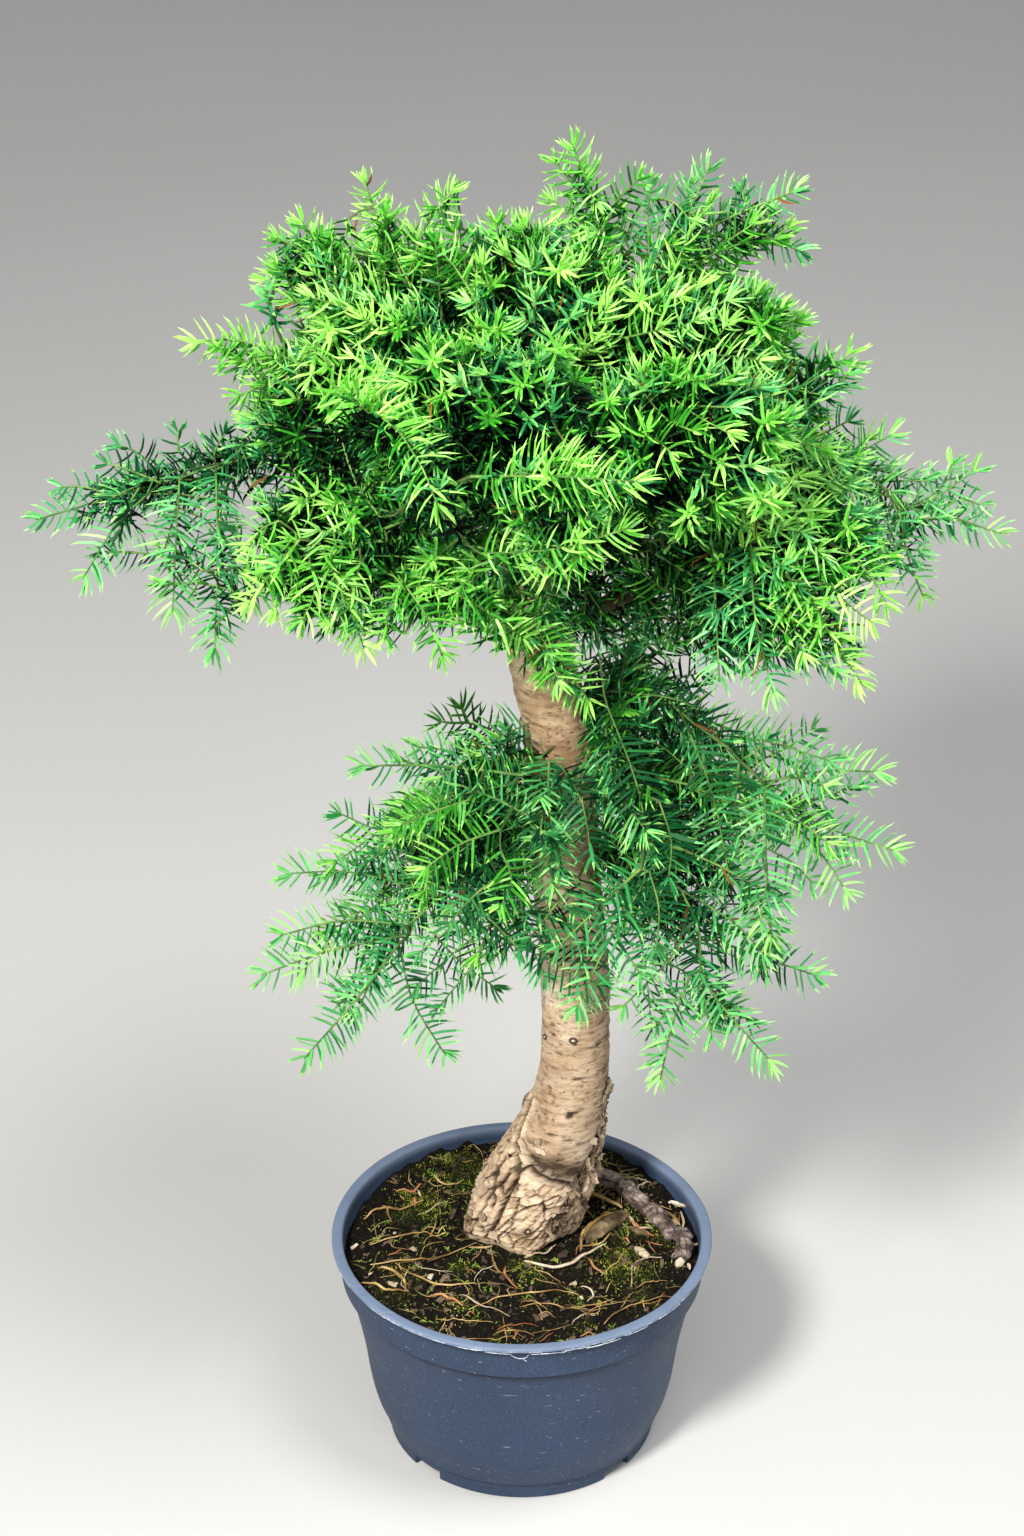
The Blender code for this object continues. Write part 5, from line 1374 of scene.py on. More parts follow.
    # the pale edge of the large flake
    edge = []
    for u in np.linspace(-0.97, 0.55, 16):
        px, py = u * 0.0160, 0.0050 * math.sqrt(1 - u * u)
        x, y = 0.0425 + px * math.cos(0.83) - py * math.sin(0.83), 0.0130 + px * math.sin(0.83) + py * math.cos(0.83)
        edge.append((x, y, soil_z(0.0425, 0.0130) + 0.0008 + 0.16 * 0.0160 * (1 - u * u)))
    strand(bags["straw"], edge, 0.0011)
    for name, bag, material in (
        ("litter_strands", bags["straw"], STRAW),
        ("litter_needles", bags["rust"], RUST),
        ("litter_bleached", bags["pale"], PALE),
        ("litter_olive", bags["olive"], OLIVE),
        ("moss_blades", moss, MOSS_GREEN),
        ("sprout_blades", sprouts, SPROUT),
        ("bark_crumbs", chips, CHIP),
        ("bark_curls", curls, FLAKE),
    ):
        points, faces = bag.arrays()
        piece(name, points, faces, material)


litter_pieces()


def rim_burrs():
    """Thin pale burrs of moulding flash along the lip, and the line down the collar."""
    bag = Bag()

    def on_lip(degrees, z, radius):
        a = math.radians(degrees)
        r = radius * (1 + 0.97 * (0.0034 * math.cos(2 * a + 0.8) + 0.0012 * math.cos(3 * a + 2.0)))
        return (r * math.cos(a), r * math.sin(a), z)

    for first, last, z, thick in (
        (-101, -93.5, 0.1124, 0.00034), (-87.5, -77, 0.1124, 0.00040), (-78.5, -70, 0.1129, 0.00034), (-71, -60, 0.1123, 0.00042), (-58.5, -50, 0.1127, 0.00032),
        (-120, -113, 0.1131, 0.00028), (-110, -103, 0.1127, 0.00030), (-46, -36, 0.1130, 0.00028), (-143, -134, 0.1130, 0.00028), (-66, -61.5, 0.1134, 0.00030),
    ):
        turns = np.linspace(first, last, 9)
        wave = rng.normal(0, 0.00009, (9, 2))
        strand(bag, [on_lip(d, z + w[0], 0.09490 + 0.4 * w[1]) for d, w in zip(turns, wave)], thick, 1.0, 5, 0.3)
    strand(bag, [on_lip(-93.6, 0.1122, 0.0947), on_lip(-92.2, 0.1108, 0.0952), on_lip(-90.4, 0.1101, 0.0953), on_lip(-88.8, 0.1108, 0.0952), on_lip(-88.1, 0.1122, 0.0947)], 0.00040, 1.0, 5, 0.4)
    strand(bag, [on_lip(-89.6, 0.1104, 0.0952), on_lip(-89.2, 0.1091, 0.0953), on_lip(-88.6, 0.1085, 0.0952)], 0.00032, 1.0, 5, 0.4)
    strand(bag, [on_lip(-122.5 + 0.1 * k, 0.1100 - 0.0016 * k, 0.09095 + 0.0003 * (0.1100 - 0.0016 * k - 0.106) / 0.0045) for k in range(7)], 0.00036, 1.0, 5, 0.3)
    m = Nodes("moulding_flash")
    base = m.ramp(m.noise(420.0, 2.0, 0.6), ((0.36, (0.34, 0.40, 0.50)), (0.60, (0.82, 0.86, 0.93))))
    points, faces = bag.arrays()
    piece("rim_burrs", points, faces, m.finish(base, 0.42, 0.4))


rim_burrs()


# ---------------------------------------------------------------- foliage: colours by shoot and by place on the shoot
def srgb(r, g, b):
    c = np.array((r, g, b)) / 255
    return tuple(float(v) for v in np.where(c <= 0.04045, c / 12.92, ((c + 0.055) / 1.055) ** 2.4))


# six tones of each green, 0 darkest to 5 palest: the tone a needle is dealt is partly its own colour and partly painted
# light and shade
TINTS = {
    "w0": srgb(1, 10, 2),
    "w1": srgb(6, 42, 9),
    "w2": srgb(17, 86, 15),
    "w3": srgb(58, 154, 38),
    "w4": srgb(110, 200, 66),
    "w5": srgb(168, 236, 110),
    "c0": srgb(1, 9, 4),
    "c1": srgb(4, 36, 16),
    "c2": srgb(14, 83, 41),
    "c3": srgb(54, 148, 78),
    "c4": srgb(104, 194, 106),
    "c5": srgb(160, 230, 122),
    "dead": srgb(136, 92, 48),
}


def needle_material(code):
    m = Nodes("needle_" + code)
    r, g, b = TINTS[code]
    tone = m.noise(26.0, 2.0, 0.5)
    base = m.ramp(
        tone,
        ((0.30, (r * 0.80, g * 0.84, b * 0.82)), (0.50, (r, g, b)), (0.70, (min(1, r * 1.22), min(1, g * 1.14), b * 1.12))),
    )
    lit = 0 if code == "dead" else int(code[1])
    return m.finish(base, (0.62, 0.60, 0.52, 0.44, 0.40, 0.40)[lit], (0.08, 0.10, 0.18, 0.30, 0.36, 0.36)[lit])


def stem_material(name, stops):
    m = Nodes(name)
    base = m.ramp(m.noise(60.0, 3.0, 0.6), stops)
    m.bump(m.noise(900.0, 2.0, 0.5), 0.3, 0.0002)
    return m.finish(base, 0.6, 0.3)


# how each mass grows: share of warm shoots, brightness (a painted light level, lower for masses in shade), needle
# length in mm, needles per mm
GROWTH = {
    "crown_top": (0.60, 3.4, 11.5, 1.00),
    "crown_top_left": (0.80, 3.6, 11.0, 1.05),
    "crown_top_right": (0.55, 3.6, 12.0, 0.95),
    "crown_left": (0.75, 3.5, 11.0, 1.05),
    "crown_right": (0.50, 3.4, 12.5, 0.95),
    "crown_front_left": (0.80, 3.2, 11.0, 1.05),
    "crown_front": (0.60, 3.0, 12.0, 1.00),
    "crown_front_right": (0.55, 3.4, 12.5, 0.95),
    "crown_back": (0.55, 3.2, 12.0, 0.95),
    "crown_back_left": (0.60, 3.2, 12.0, 0.95),
    "crown_back_right": (0.50, 3.2, 12.0, 0.95),
    "crown_low_right": (0.40, 3.0, 12.5, 0.90),
    "crown_low_front": (0.60, 3.3, 11.5, 0.95),
    "hanging_right": (0.60, 3.4, 12.0, 0.95),
    "top_sprig": (0.55, 3.6, 11.0, 1.05),
    "top_right_sprays": (0.45, 3.5, 11.5, 1.00),
    "top_left_sprigs": (0.80, 3.8, 10.5, 1.10),
    "left_spike": (0.80, 4.0, 10.0, 1.15),
    "right_spray": (0.30, 3.2, 12.5, 0.90),
    "right_tip": (0.40, 3.6, 11.5, 0.95),
    "right_outlier": (0.20, 3.1, 11.5, 0.85),
    "left_outlier": (0.20, 2.3, 10.5, 0.95),
    "left_hanging_outer": (0.20, 2.9, 11.0, 0.85),
    "left_hanging_inner": (0.20, 2.9, 11.5, 0.85),
    "front_spray_left": (0.85, 3.2, 11.5, 1.05),
    "front_spray_upper": (0.70, 3.0, 12.0, 1.05),
    "front_spray_lower": (0.75, 3.1, 11.5, 1.05),
    "low_left_core": (0.35, 2.8, 12.0, 0.85),
    "low_left_rear": (0.30, 2.2, 12.0, 0.75),
    "low_left_upper": (0.45, 3.0, 12.0, 0.85),
    "low_left_mid": (0.40, 2.9, 12.0, 0.85),
    "low_left_outer": (0.40, 3.2, 12.0, 0.85),
    "low_left_bottom": (0.35, 3.1, 11.5, 0.85),
    "low_front": (0.25, 2.9, 12.0, 0.85),
    "low_right_core": (0.25, 2.4, 13.0, 0.75),
    "low_right_rear": (0.30, 2.2, 12.0, 0.75),
    "low_right_curtain": (0.20, 2.4, 13.0, 0.75),
    "low_right_arch": (0.25, 2.4, 12.5, 0.75),
    "low_right_upper": (0.40, 2.9, 12.0, 0.85),
    "low_right_outer": (0.50, 3.2, 12.0, 0.85),
    "low_right_hanging": (0.50, 3.1, 12.0, 0.85),
    "low_right_low": (0.40, 2.9, 12.0, 0.80),
    "low_right_bottom": (0.45, 3.2, 11.5, 0.85),
}
CROWN_HUB = np.array((0.006, 0.0, 0.500))
LOW_HUBS = {"left": np.array((0.006, 0.006, 0.375)), "right": np.array((0.032, 0.006, 0.392))}

# Shoots that stand out from the rest: tint (its digit a painted light level), needle length in mm, and base, middle and
# tip.
LEADERS = (
    ("c3", 12, (0.000, -0.030, 0.397), (-0.038, -0.030, 0.402), (-0.074, -0.030, 0.402)),
    ("w3", 12, (-0.008, -0.034, 0.394), (-0.038, -0.034, 0.386), (-0.060, -0.034, 0.369)),
    ("c3", 11, (-0.010, -0.020, 0.393), (-0.033, -0.020, 0.404), (-0.048, -0.020, 0.406)),
    ("c2", 11, (-0.050, 0.050, 0.316), (-0.069, 0.050, 0.319), (-0.089, 0.050, 0.329)),
    ("c3", 12, (-0.048, -0.022, 0.331), (-0.081, -0.022, 0.340), (-0.110, -0.022, 0.339)),
    ("c3", 13, (-0.053, -0.036, 0.314), (-0.088, -0.036, 0.306), (-0.122, -0.036, 0.292)),
    ("c3", 12, (-0.057, -0.030, 0.316), (-0.085, -0.030, 0.318), (-0.113, -0.030, 0.310)),
    ("c3", 13, (-0.058, -0.044, 0.314), (-0.076, -0.044, 0.286), (-0.103, -0.044, 0.250)),
    ("c3", 13, (-0.058, -0.028, 0.303), (-0.052, -0.028, 0.272), (-0.037, -0.028, 0.241)),
    ("c2", 11, (-0.050, 0.040, 0.297), (-0.069, 0.040, 0.291), (-0.087, 0.040, 0.268)),
    ("c2", 11, (-0.045, 0.045, 0.265), (-0.031, 0.045, 0.247), (-0.013, 0.045, 0.231)),
    ("w3", 12, (-0.010, -0.050, 0.380), (-0.029, -0.050, 0.372), (-0.045, -0.050, 0.359)),
    ("c2", 13, (-0.004, -0.050, 0.358), (-0.020, -0.050, 0.347), (-0.035, -0.050, 0.328)),
    ("c2", 11, (-0.001, -0.040, 0.336), (0.003, -0.040, 0.314), (0.011, -0.040, 0.293)),
    ("c3", 13, (0.012, -0.034, 0.407), (0.012, -0.034, 0.386), (0.015, -0.034, 0.360)),
    ("c2", 12, (0.017, -0.036, 0.406), (0.027, -0.036, 0.387), (0.032, -0.036, 0.356)),
    ("w3", 11, (-0.024, -0.050, 0.396), (-0.042, -0.050, 0.389), (-0.056, -0.050, 0.382)),
    ("w3", 11, (-0.010, -0.055, 0.372), (-0.005, -0.055, 0.356), (-0.010, -0.055, 0.342)),
    ("c1", 11, (-0.034, -0.020, 0.329), (-0.048, -0.020, 0.320), (-0.071, -0.020, 0.301)),
    ("c2", 12, (-0.024, -0.046, 0.340), (-0.010, -0.046, 0.323), (-0.001, -0.046, 0.312)),
    ("w2", 11, (-0.020, 0.062, 0.360), (-0.025, 0.062, 0.371), (-0.029, 0.062, 0.381)),
    ("w2", 11, (-0.011, 0.062, 0.363), (-0.020, 0.062, 0.371), (-0.040, 0.062, 0.373)),
    ("c3", 13, (0.054, -0.050, 0.359), (0.036, -0.050, 0.339), (0.016, -0.050, 0.316)),
    ("c3", 13, (0.054, -0.052, 0.349), (0.041, -0.052, 0.324), (0.025, -0.052, 0.283)),
    ("c2", 13, (0.003, -0.050, 0.320), (0.017, -0.050, 0.306), (0.036, -0.050, 0.295)),
    ("c3", 12, (0.036, -0.052, 0.343), (0.045, -0.052, 0.321), (0.055, -0.052, 0.302)),
    ("c2", 11, (0.017, -0.045, 0.339), (0.010, -0.045, 0.328), (0.003, -0.045, 0.317)),
    ("c2", 14, (0.038, -0.042, 0.440), (0.052, -0.042, 0.399), (0.062, -0.042, 0.344)),
    ("c3", 14, (0.076, -0.036, 0.422), (0.087, -0.036, 0.390), (0.096, -0.036, 0.345)),
    ("c2", 13, (0.041, -0.010, 0.430), (0.077, -0.010, 0.423), (0.101, -0.010, 0.393)),
    ("c4", 12, (0.108, -0.018, 0.385), (0.137, -0.018, 0.392), (0.165, -0.018, 0.392)),
    ("c4", 12, (0.114, -0.026, 0.381), (0.142, -0.026, 0.366), (0.173, -0.026, 0.354)),
    ("c4", 12, (0.123, -0.030, 0.373), (0.139, -0.030, 0.354), (0.151, -0.030, 0.334)),
    ("c4", 13, (0.110, -0.044, 0.400), (0.112, -0.044, 0.360), (0.116, -0.044, 0.317)),
    ("c3", 10, (0.113, 0.030, 0.370), (0.127, 0.030, 0.378), (0.138, 0.030, 0.387)),
    ("c3", 10, (0.100, -0.020, 0.399), (0.107, -0.020, 0.404), (0.112, -0.020, 0.411)),
    ("c3", 12, (0.091, -0.028, 0.306), (0.114, -0.028, 0.296), (0.139, -0.028, 0.286)),
    ("c4", 12, (0.083, -0.038, 0.293), (0.098, -0.038, 0.270), (0.119, -0.038, 0.243)),
    ("c4", 12, (0.079, -0.036, 0.292), (0.071, -0.036, 0.263), (0.066, -0.036, 0.232)),
    ("c4", 11, (0.069, -0.040, 0.303), (0.058, -0.040, 0.289), (0.047, -0.040, 0.276)),
    ("c2", 13, (0.062, -0.048, 0.394), (0.068, -0.048, 0.373), (0.067, -0.048, 0.352)),
    ("c3", 13, (0.099, -0.030, 0.405), (0.098, -0.030, 0.378), (0.103, -0.030, 0.357)),
    ("c3", 12, (0.103, -0.036, 0.344), (0.113, -0.036, 0.328), (0.118, -0.036, 0.306)),
    ("c3", 12, (0.082, -0.044, 0.338), (0.099, -0.044, 0.325), (0.113, -0.044, 0.308)),
    ("c2", 12, (0.073, -0.044, 0.344), (0.082, -0.044, 0.322), (0.083, -0.044, 0.297)),
    ("c2", 12, (0.058, -0.050, 0.358), (0.063, -0.050, 0.337), (0.062, -0.050, 0.315)),
    ("c3", 11, (0.083, -0.036, 0.306), (0.086, -0.036, 0.278), (0.090, -0.036, 0.256)),
    ("c1", 12, (0.077, -0.020, 0.394), (0.063, -0.020, 0.407), (0.049, -0.020, 0.413)),
    ("c3", 11, (0.105, -0.030, 0.362), (0.124, -0.030, 0.351), (0.135, -0.030, 0.339)),
    ("w4", 11, (0.035, 0.002, 0.637), (0.030, 0.002, 0.666), (0.021, 0.002, 0.691)),
    ("w3", 10, (0.033, 0.004, 0.653), (0.041, 0.004, 0.665), (0.050, 0.004, 0.675)),
    ("w5", 10, (0.032, 0.000, 0.650), (0.021, 0.000, 0.660), (0.012, 0.000, 0.667)),
    ("c4", 10, (0.055, 0.010, 0.637), (0.054, 0.010, 0.656), (0.055, 0.010, 0.669)),
    ("c4", 11, (0.069, 0.010, 0.632), (0.072, 0.010, 0.656), (0.080, 0.010, 0.677)),
    ("c4", 11, (0.072, 0.018, 0.641), (0.092, 0.018, 0.652), (0.119, 0.018, 0.664)),
    ("c3", 11, (0.075, 0.016, 0.642), (0.099, 0.016, 0.645), (0.122, 0.016, 0.636)),
    ("w4", 10, (0.058, 0.012, 0.622), (0.069, 0.012, 0.636), (0.073, 0.012, 0.652)),
    ("w5", 10, (-0.052, 0.000, 0.629), (-0.062, 0.000, 0.655), (-0.068, 0.000, 0.675)),
    ("w5", 10, (-0.050, -0.003, 0.633), (-0.042, -0.003, 0.656), (-0.030, -0.003, 0.673)),
    ("w4", 10, (-0.075, -0.002, 0.626), (-0.087, -0.002, 0.644), (-0.096, -0.002, 0.658)),
    ("w5", 10, (-0.075, -0.004, 0.622), (-0.095, -0.004, 0.633), (-0.113, -0.004, 0.631)),
    ("w4", 9, (-0.008, 0.000, 0.629), (-0.010, 0.000, 0.643), (-0.012, 0.000, 0.657)),
    ("w4", 9, (0.007, 0.000, 0.634), (0.002, 0.000, 0.646), (-0.001, 0.000, 0.654)),
    ("c3", 9, (0.093, 0.020, 0.635), (0.097, 0.020, 0.652), (0.095, 0.020, 0.664)),
    ("w4", 9, (0.027, 0.002, 0.664), (0.020, 0.002, 0.675), (0.013, 0.002, 0.684)),
    ("w4", 9, (-0.084, 0.000, 0.634), (-0.097, 0.000, 0.644), (-0.107, 0.000, 0.649)),
    ("w5", 11, (-0.093, -0.015, 0.594), (-0.121, -0.015, 0.607), (-0.144, -0.015, 0.607)),
    ("w4", 11, (-0.095, -0.018, 0.591), (-0.111, -0.018, 0.588), (-0.125, -0.018, 0.582)),
    ("c3", 12, (-0.103, -0.010, 0.551), (-0.126, -0.010, 0.548), (-0.146, -0.010, 0.541), (-0.180, -0.010, 0.530), (-0.217, -0.010, 0.518)),
    ("c4", 12, (-0.170, -0.018, 0.538), (-0.183, -0.018, 0.517), (-0.197, -0.018, 0.493)),
    ("c3", 9, (-0.182, -0.010, 0.529), (-0.195, -0.010, 0.534), (-0.206, -0.010, 0.534)),
    ("c2", 9, (-0.162, -0.006, 0.536), (-0.170, -0.006, 0.548), (-0.180, -0.006, 0.553)),
    ("c2", 8, (-0.146, -0.004, 0.541), (-0.153, -0.004, 0.549), (-0.153, -0.004, 0.559)),
    ("c2", 8, (-0.137, -0.004, 0.542), (-0.137, -0.004, 0.549), (-0.132, -0.004, 0.558)),
    ("c4", 14, (-0.151, -0.028, 0.548), (-0.154, -0.028, 0.517), (-0.157, -0.028, 0.481)),
    ("c4", 14, (-0.135, -0.028, 0.550), (-0.136, -0.028, 0.507), (-0.139, -0.028, 0.460)),
    ("c2", 9, (-0.161, -0.012, 0.537), (-0.174, -0.012, 0.543), (-0.185, -0.012, 0.547)),
    ("c1", 9, (-0.125, -0.012, 0.548), (-0.121, -0.012, 0.539), (-0.116, -0.012, 0.529)),
    ("w5", 15, (-0.083, -0.049, 0.600), (-0.053, -0.123, 0.617), (-0.027, -0.112, 0.579)),
    ("w5", 14, (-0.053, -0.121, 0.617), (-0.042, -0.135, 0.605), (-0.0355, -0.140, 0.590)),
    ("w5", 14, (-0.022, -0.122, 0.594), (0.012, -0.140, 0.603), (0.047, -0.137, 0.599)),
    ("w5", 13, (-0.018, -0.129, 0.562), (0.013, -0.129, 0.564), (0.043, -0.124, 0.571)),
    ("w3", 10, (-0.024, -0.005, 0.629), (-0.026, -0.005, 0.643), (-0.030, -0.005, 0.655)),
    ("w3", 10, (-0.036, -0.010, 0.624), (-0.037, -0.010, 0.639), (-0.038, -0.010, 0.652)),
    ("w5", 12, (-0.096, -0.079, 0.543), (-0.107, -0.079, 0.529), (-0.121, -0.063, 0.503)),
    ("w5", 12, (-0.087, -0.080, 0.541), (-0.077, -0.078, 0.513), (-0.069, -0.077, 0.488)),
    ("w5", 12, (-0.092, -0.082, 0.535), (-0.090, -0.080, 0.519), (-0.096, -0.083, 0.505)),
    ("w5", 11, (-0.105, -0.071, 0.548), (-0.113, -0.069, 0.543), (-0.119, -0.067, 0.533)),
    ("w4", 12, (-0.053, -0.081, 0.525), (-0.042, -0.090, 0.512), (-0.035, -0.089, 0.491)),
    ("w4", 12, (-0.040, -0.083, 0.525), (-0.021, -0.087, 0.516), (0.001, -0.066, 0.487)),
    ("w4", 12, (-0.006, -0.056, 0.499), (0.013, -0.056, 0.476), (0.030, -0.056, 0.450)),
    ("w4", 10, (-0.053, -0.083, 0.523), (-0.058, -0.085, 0.512), (-0.060, -0.084, 0.497)),
    ("w5", 12, (-0.070, -0.077, 0.532), (-0.075, -0.075, 0.516), (-0.082, -0.080, 0.504)),
    ("w5", 12, (0.032, -0.125, 0.564), (0.019, -0.125, 0.557), (0.005, -0.125, 0.552)),
    ("w4", 13, (0.111, -0.012, 0.565), (0.127, -0.012, 0.582), (0.143, -0.012, 0.601)),
    ("c4", 12, (0.122, -0.014, 0.579), (0.132, -0.014, 0.581), (0.143, -0.014, 0.592)),
    ("c4", 12, (0.133, 0.000, 0.534), (0.148, 0.000, 0.545), (0.164, 0.000, 0.555)),
    ("c4", 12, (0.137, -0.004, 0.540), (0.151, -0.004, 0.537), (0.166, -0.004, 0.528)),
    ("c3", 11, (0.128, 0.000, 0.552), (0.136, 0.000, 0.557), (0.145, 0.000, 0.562)),
    ("c4", 11, (0.152, 0.000, 0.520), (0.178, 0.000, 0.520), (0.203, 0.000, 0.538)),
    ("c4", 10, (0.176, 0.002, 0.519), (0.187, 0.002, 0.527), (0.192, 0.002, 0.540)),
    ("c4", 11, (0.172, 0.000, 0.519), (0.195, 0.000, 0.513), (0.215, 0.000, 0.506)),
    ("c4", 11, (0.168, -0.010, 0.523), (0.173, -0.010, 0.500), (0.181, -0.010, 0.479)),
    ("c3", 9, (0.188, 0.000, 0.517), (0.196, 0.000, 0.523), (0.206, 0.000, 0.520)),
    ("c4", 13, (0.082, -0.063, 0.535), (0.084, -0.073, 0.503), (0.086, -0.077, 0.473)),
    ("c4", 13, (0.098, -0.074, 0.538), (0.101, -0.077, 0.503), (0.110, -0.076, 0.466)),
    ("w5", 12, (0.117, -0.082, 0.535), (0.131, -0.078, 0.501), (0.148, -0.080, 0.473)),
    ("w5", 11, (0.132, -0.084, 0.524), (0.141, -0.083, 0.513), (0.151, -0.083, 0.505)),
    ("w4", 11, (0.139, -0.074, 0.535), (0.150, -0.076, 0.524), (0.158, -0.075, 0.509)),
    ("w5", 11, (0.115, -0.084, 0.526), (0.117, -0.075, 0.502), (0.122, -0.082, 0.488)),
    ("w4", 11, (0.074, -0.050, 0.498), (0.063, -0.050, 0.503), (0.051, -0.050, 0.513)),
    ("w4", 11, (0.055, 0.055, 0.464), (0.065, 0.055, 0.453), (0.074, 0.055, 0.441)),
)

# Tips of the shoots that point to the front.
STARS = (
    ("w5", (0.097, -0.111, 0.578)),
    ("w5", (0.069, -0.117, 0.575)),
    ("w5", (0.009, -0.141, 0.603)),
    ("w4", (-0.010, -0.066, 0.635)),
    ("w4", (0.015, -0.085, 0.635)),
    ("w5", (0.050, -0.031, 0.634)),
    ("w4", (-0.002, -0.106, 0.628)),
    ("w4", (-0.037, -0.094, 0.634)),
    ("w5", (-0.083, -0.044, 0.625)),
    ("w3", (-0.053, -0.048, 0.627)),
    ("w4", (0.036, -0.091, 0.614)),
    ("w4", (0.073, -0.097, 0.626)),
    ("w4", (0.101, -0.040, 0.624)),
    ("w3", (-0.096, -0.063, 0.583)),
    ("w3", (-0.028, 0.003, 0.623)),
    ("w5", (0.016, -0.032, 0.648)),
    ("w3", (0.048, -0.113, 0.597)),
    ("w4", (0.124, -0.067, 0.546)),
    ("w4", (0.085, -0.073, 0.530)),
    ("w5", (-0.096, -0.068, 0.556)),
    ("w4", (-0.074, -0.075, 0.550)),
    ("w4", (0.102, -0.102, 0.610)),
    ("w4", (-0.040, -0.076, 0.531)),
    ("w4", (-0.014, -0.120, 0.619)),
    ("w5", (0.023, -0.132, 0.570)),
    ("w4", (0.141, -0.066, 0.541))
)


# ---------------------------------------------------------------- foliage: where the shoots grow
rng = np.random.default_rng(5127)
SHOOTS = []


def shoot(points, family, level, needle, density, grade, lower, flat=0.35, face=(0.0, -0.5, 0.87), bare=0.0, chief=False, comb=0.0):
    """grade 2 is seen close, 1 is the second row, 0 the shade inside. flat draws the needles to the sides, across face."""
    SHOOTS.append(
        {
            "points": np.asarray(points, float),
            "family": family,
            "level": level,
            "needle": needle,
            "density": density,
            "grade": grade,
            "lower": lower,
            "flat": flat,
            "bare": bare,
            "chief": chief,
            "comb": comb,
            "face": np.asarray(face, float),
        }
    )


MASS_MESHES = {}
for name in GROWTH:
    mesh = frame["nodes"][name].data
    mesh.calc_loop_triangles()
    points = np.empty(len(mesh.vertices) * 3, np.float32)
    mesh.vertices.foreach_get("co", points)
    faces = np.empty(len(mesh.loop_triangles) * 3, np.int32)
    mesh.loop_triangles.foreach_get("vertices", faces)
    MASS_MESHES[name] = (points.reshape(-1, 3).astype(float), faces.reshape(-1, 3))

ALL_POINTS, ALL_FACES, FACE_OWNER = [], [], []
offset = 0
for k, (name, (points, faces)) in enumerate(MASS_MESHES.items()):
    ALL_POINTS.append(points)
    ALL_FACES.append(faces + offset)
    FACE_OWNER.append(np.full(len(faces), k))
    offset += len(points)
FACE_OWNER = np.concatenate(FACE_OWNER)
FOLIAGE_TREE = BVHTree.FromPolygons([tuple(p) for p in np.vstack(ALL_POINTS)], [tuple(int(i) for i in f) for f in np.vstack(ALL_FACES)])
MASS_ORDER = {name: k for k, name in enumerate(MASS_MESHES)}


def inside_foliage(place):
    """True where a point lies inside any mass."""
    origin = Vector(place)
    for direction in (Vector((0.12, 0.23, 0.97)), Vector((0.81, -0.33, 0.48))):
        hits, start = 0, origin.copy()
        for _ in range(24):
            hit, normal, index, distance = FOLIAGE_TREE.ray_cast(start, direction)
            if hit is None:
                break
            hits += 1 if normal.dot(direction) > 0 else -1
            start = hit + direction * 1e-5
        if hits <= 0:
            return False
    return True


TO_CAMERA = unit(np.array((-0.0049, -1.6117, 1.3240)) - np.array((0.0, 0.0, 0.52)))


def hub_for(name):
    if "low_left" in name or name == "low_front":
        return LOW_HUBS["left"]
    if name.startswith("low_"):
        return LOW_HUBS["right"]
    return CROWN_HUB


def is_lower(name):
    return name.startswith("low_")


NEEDLE_STRETCH, NEEDLE_SPACING, LIFT = 1.22, 0.76, 0.36
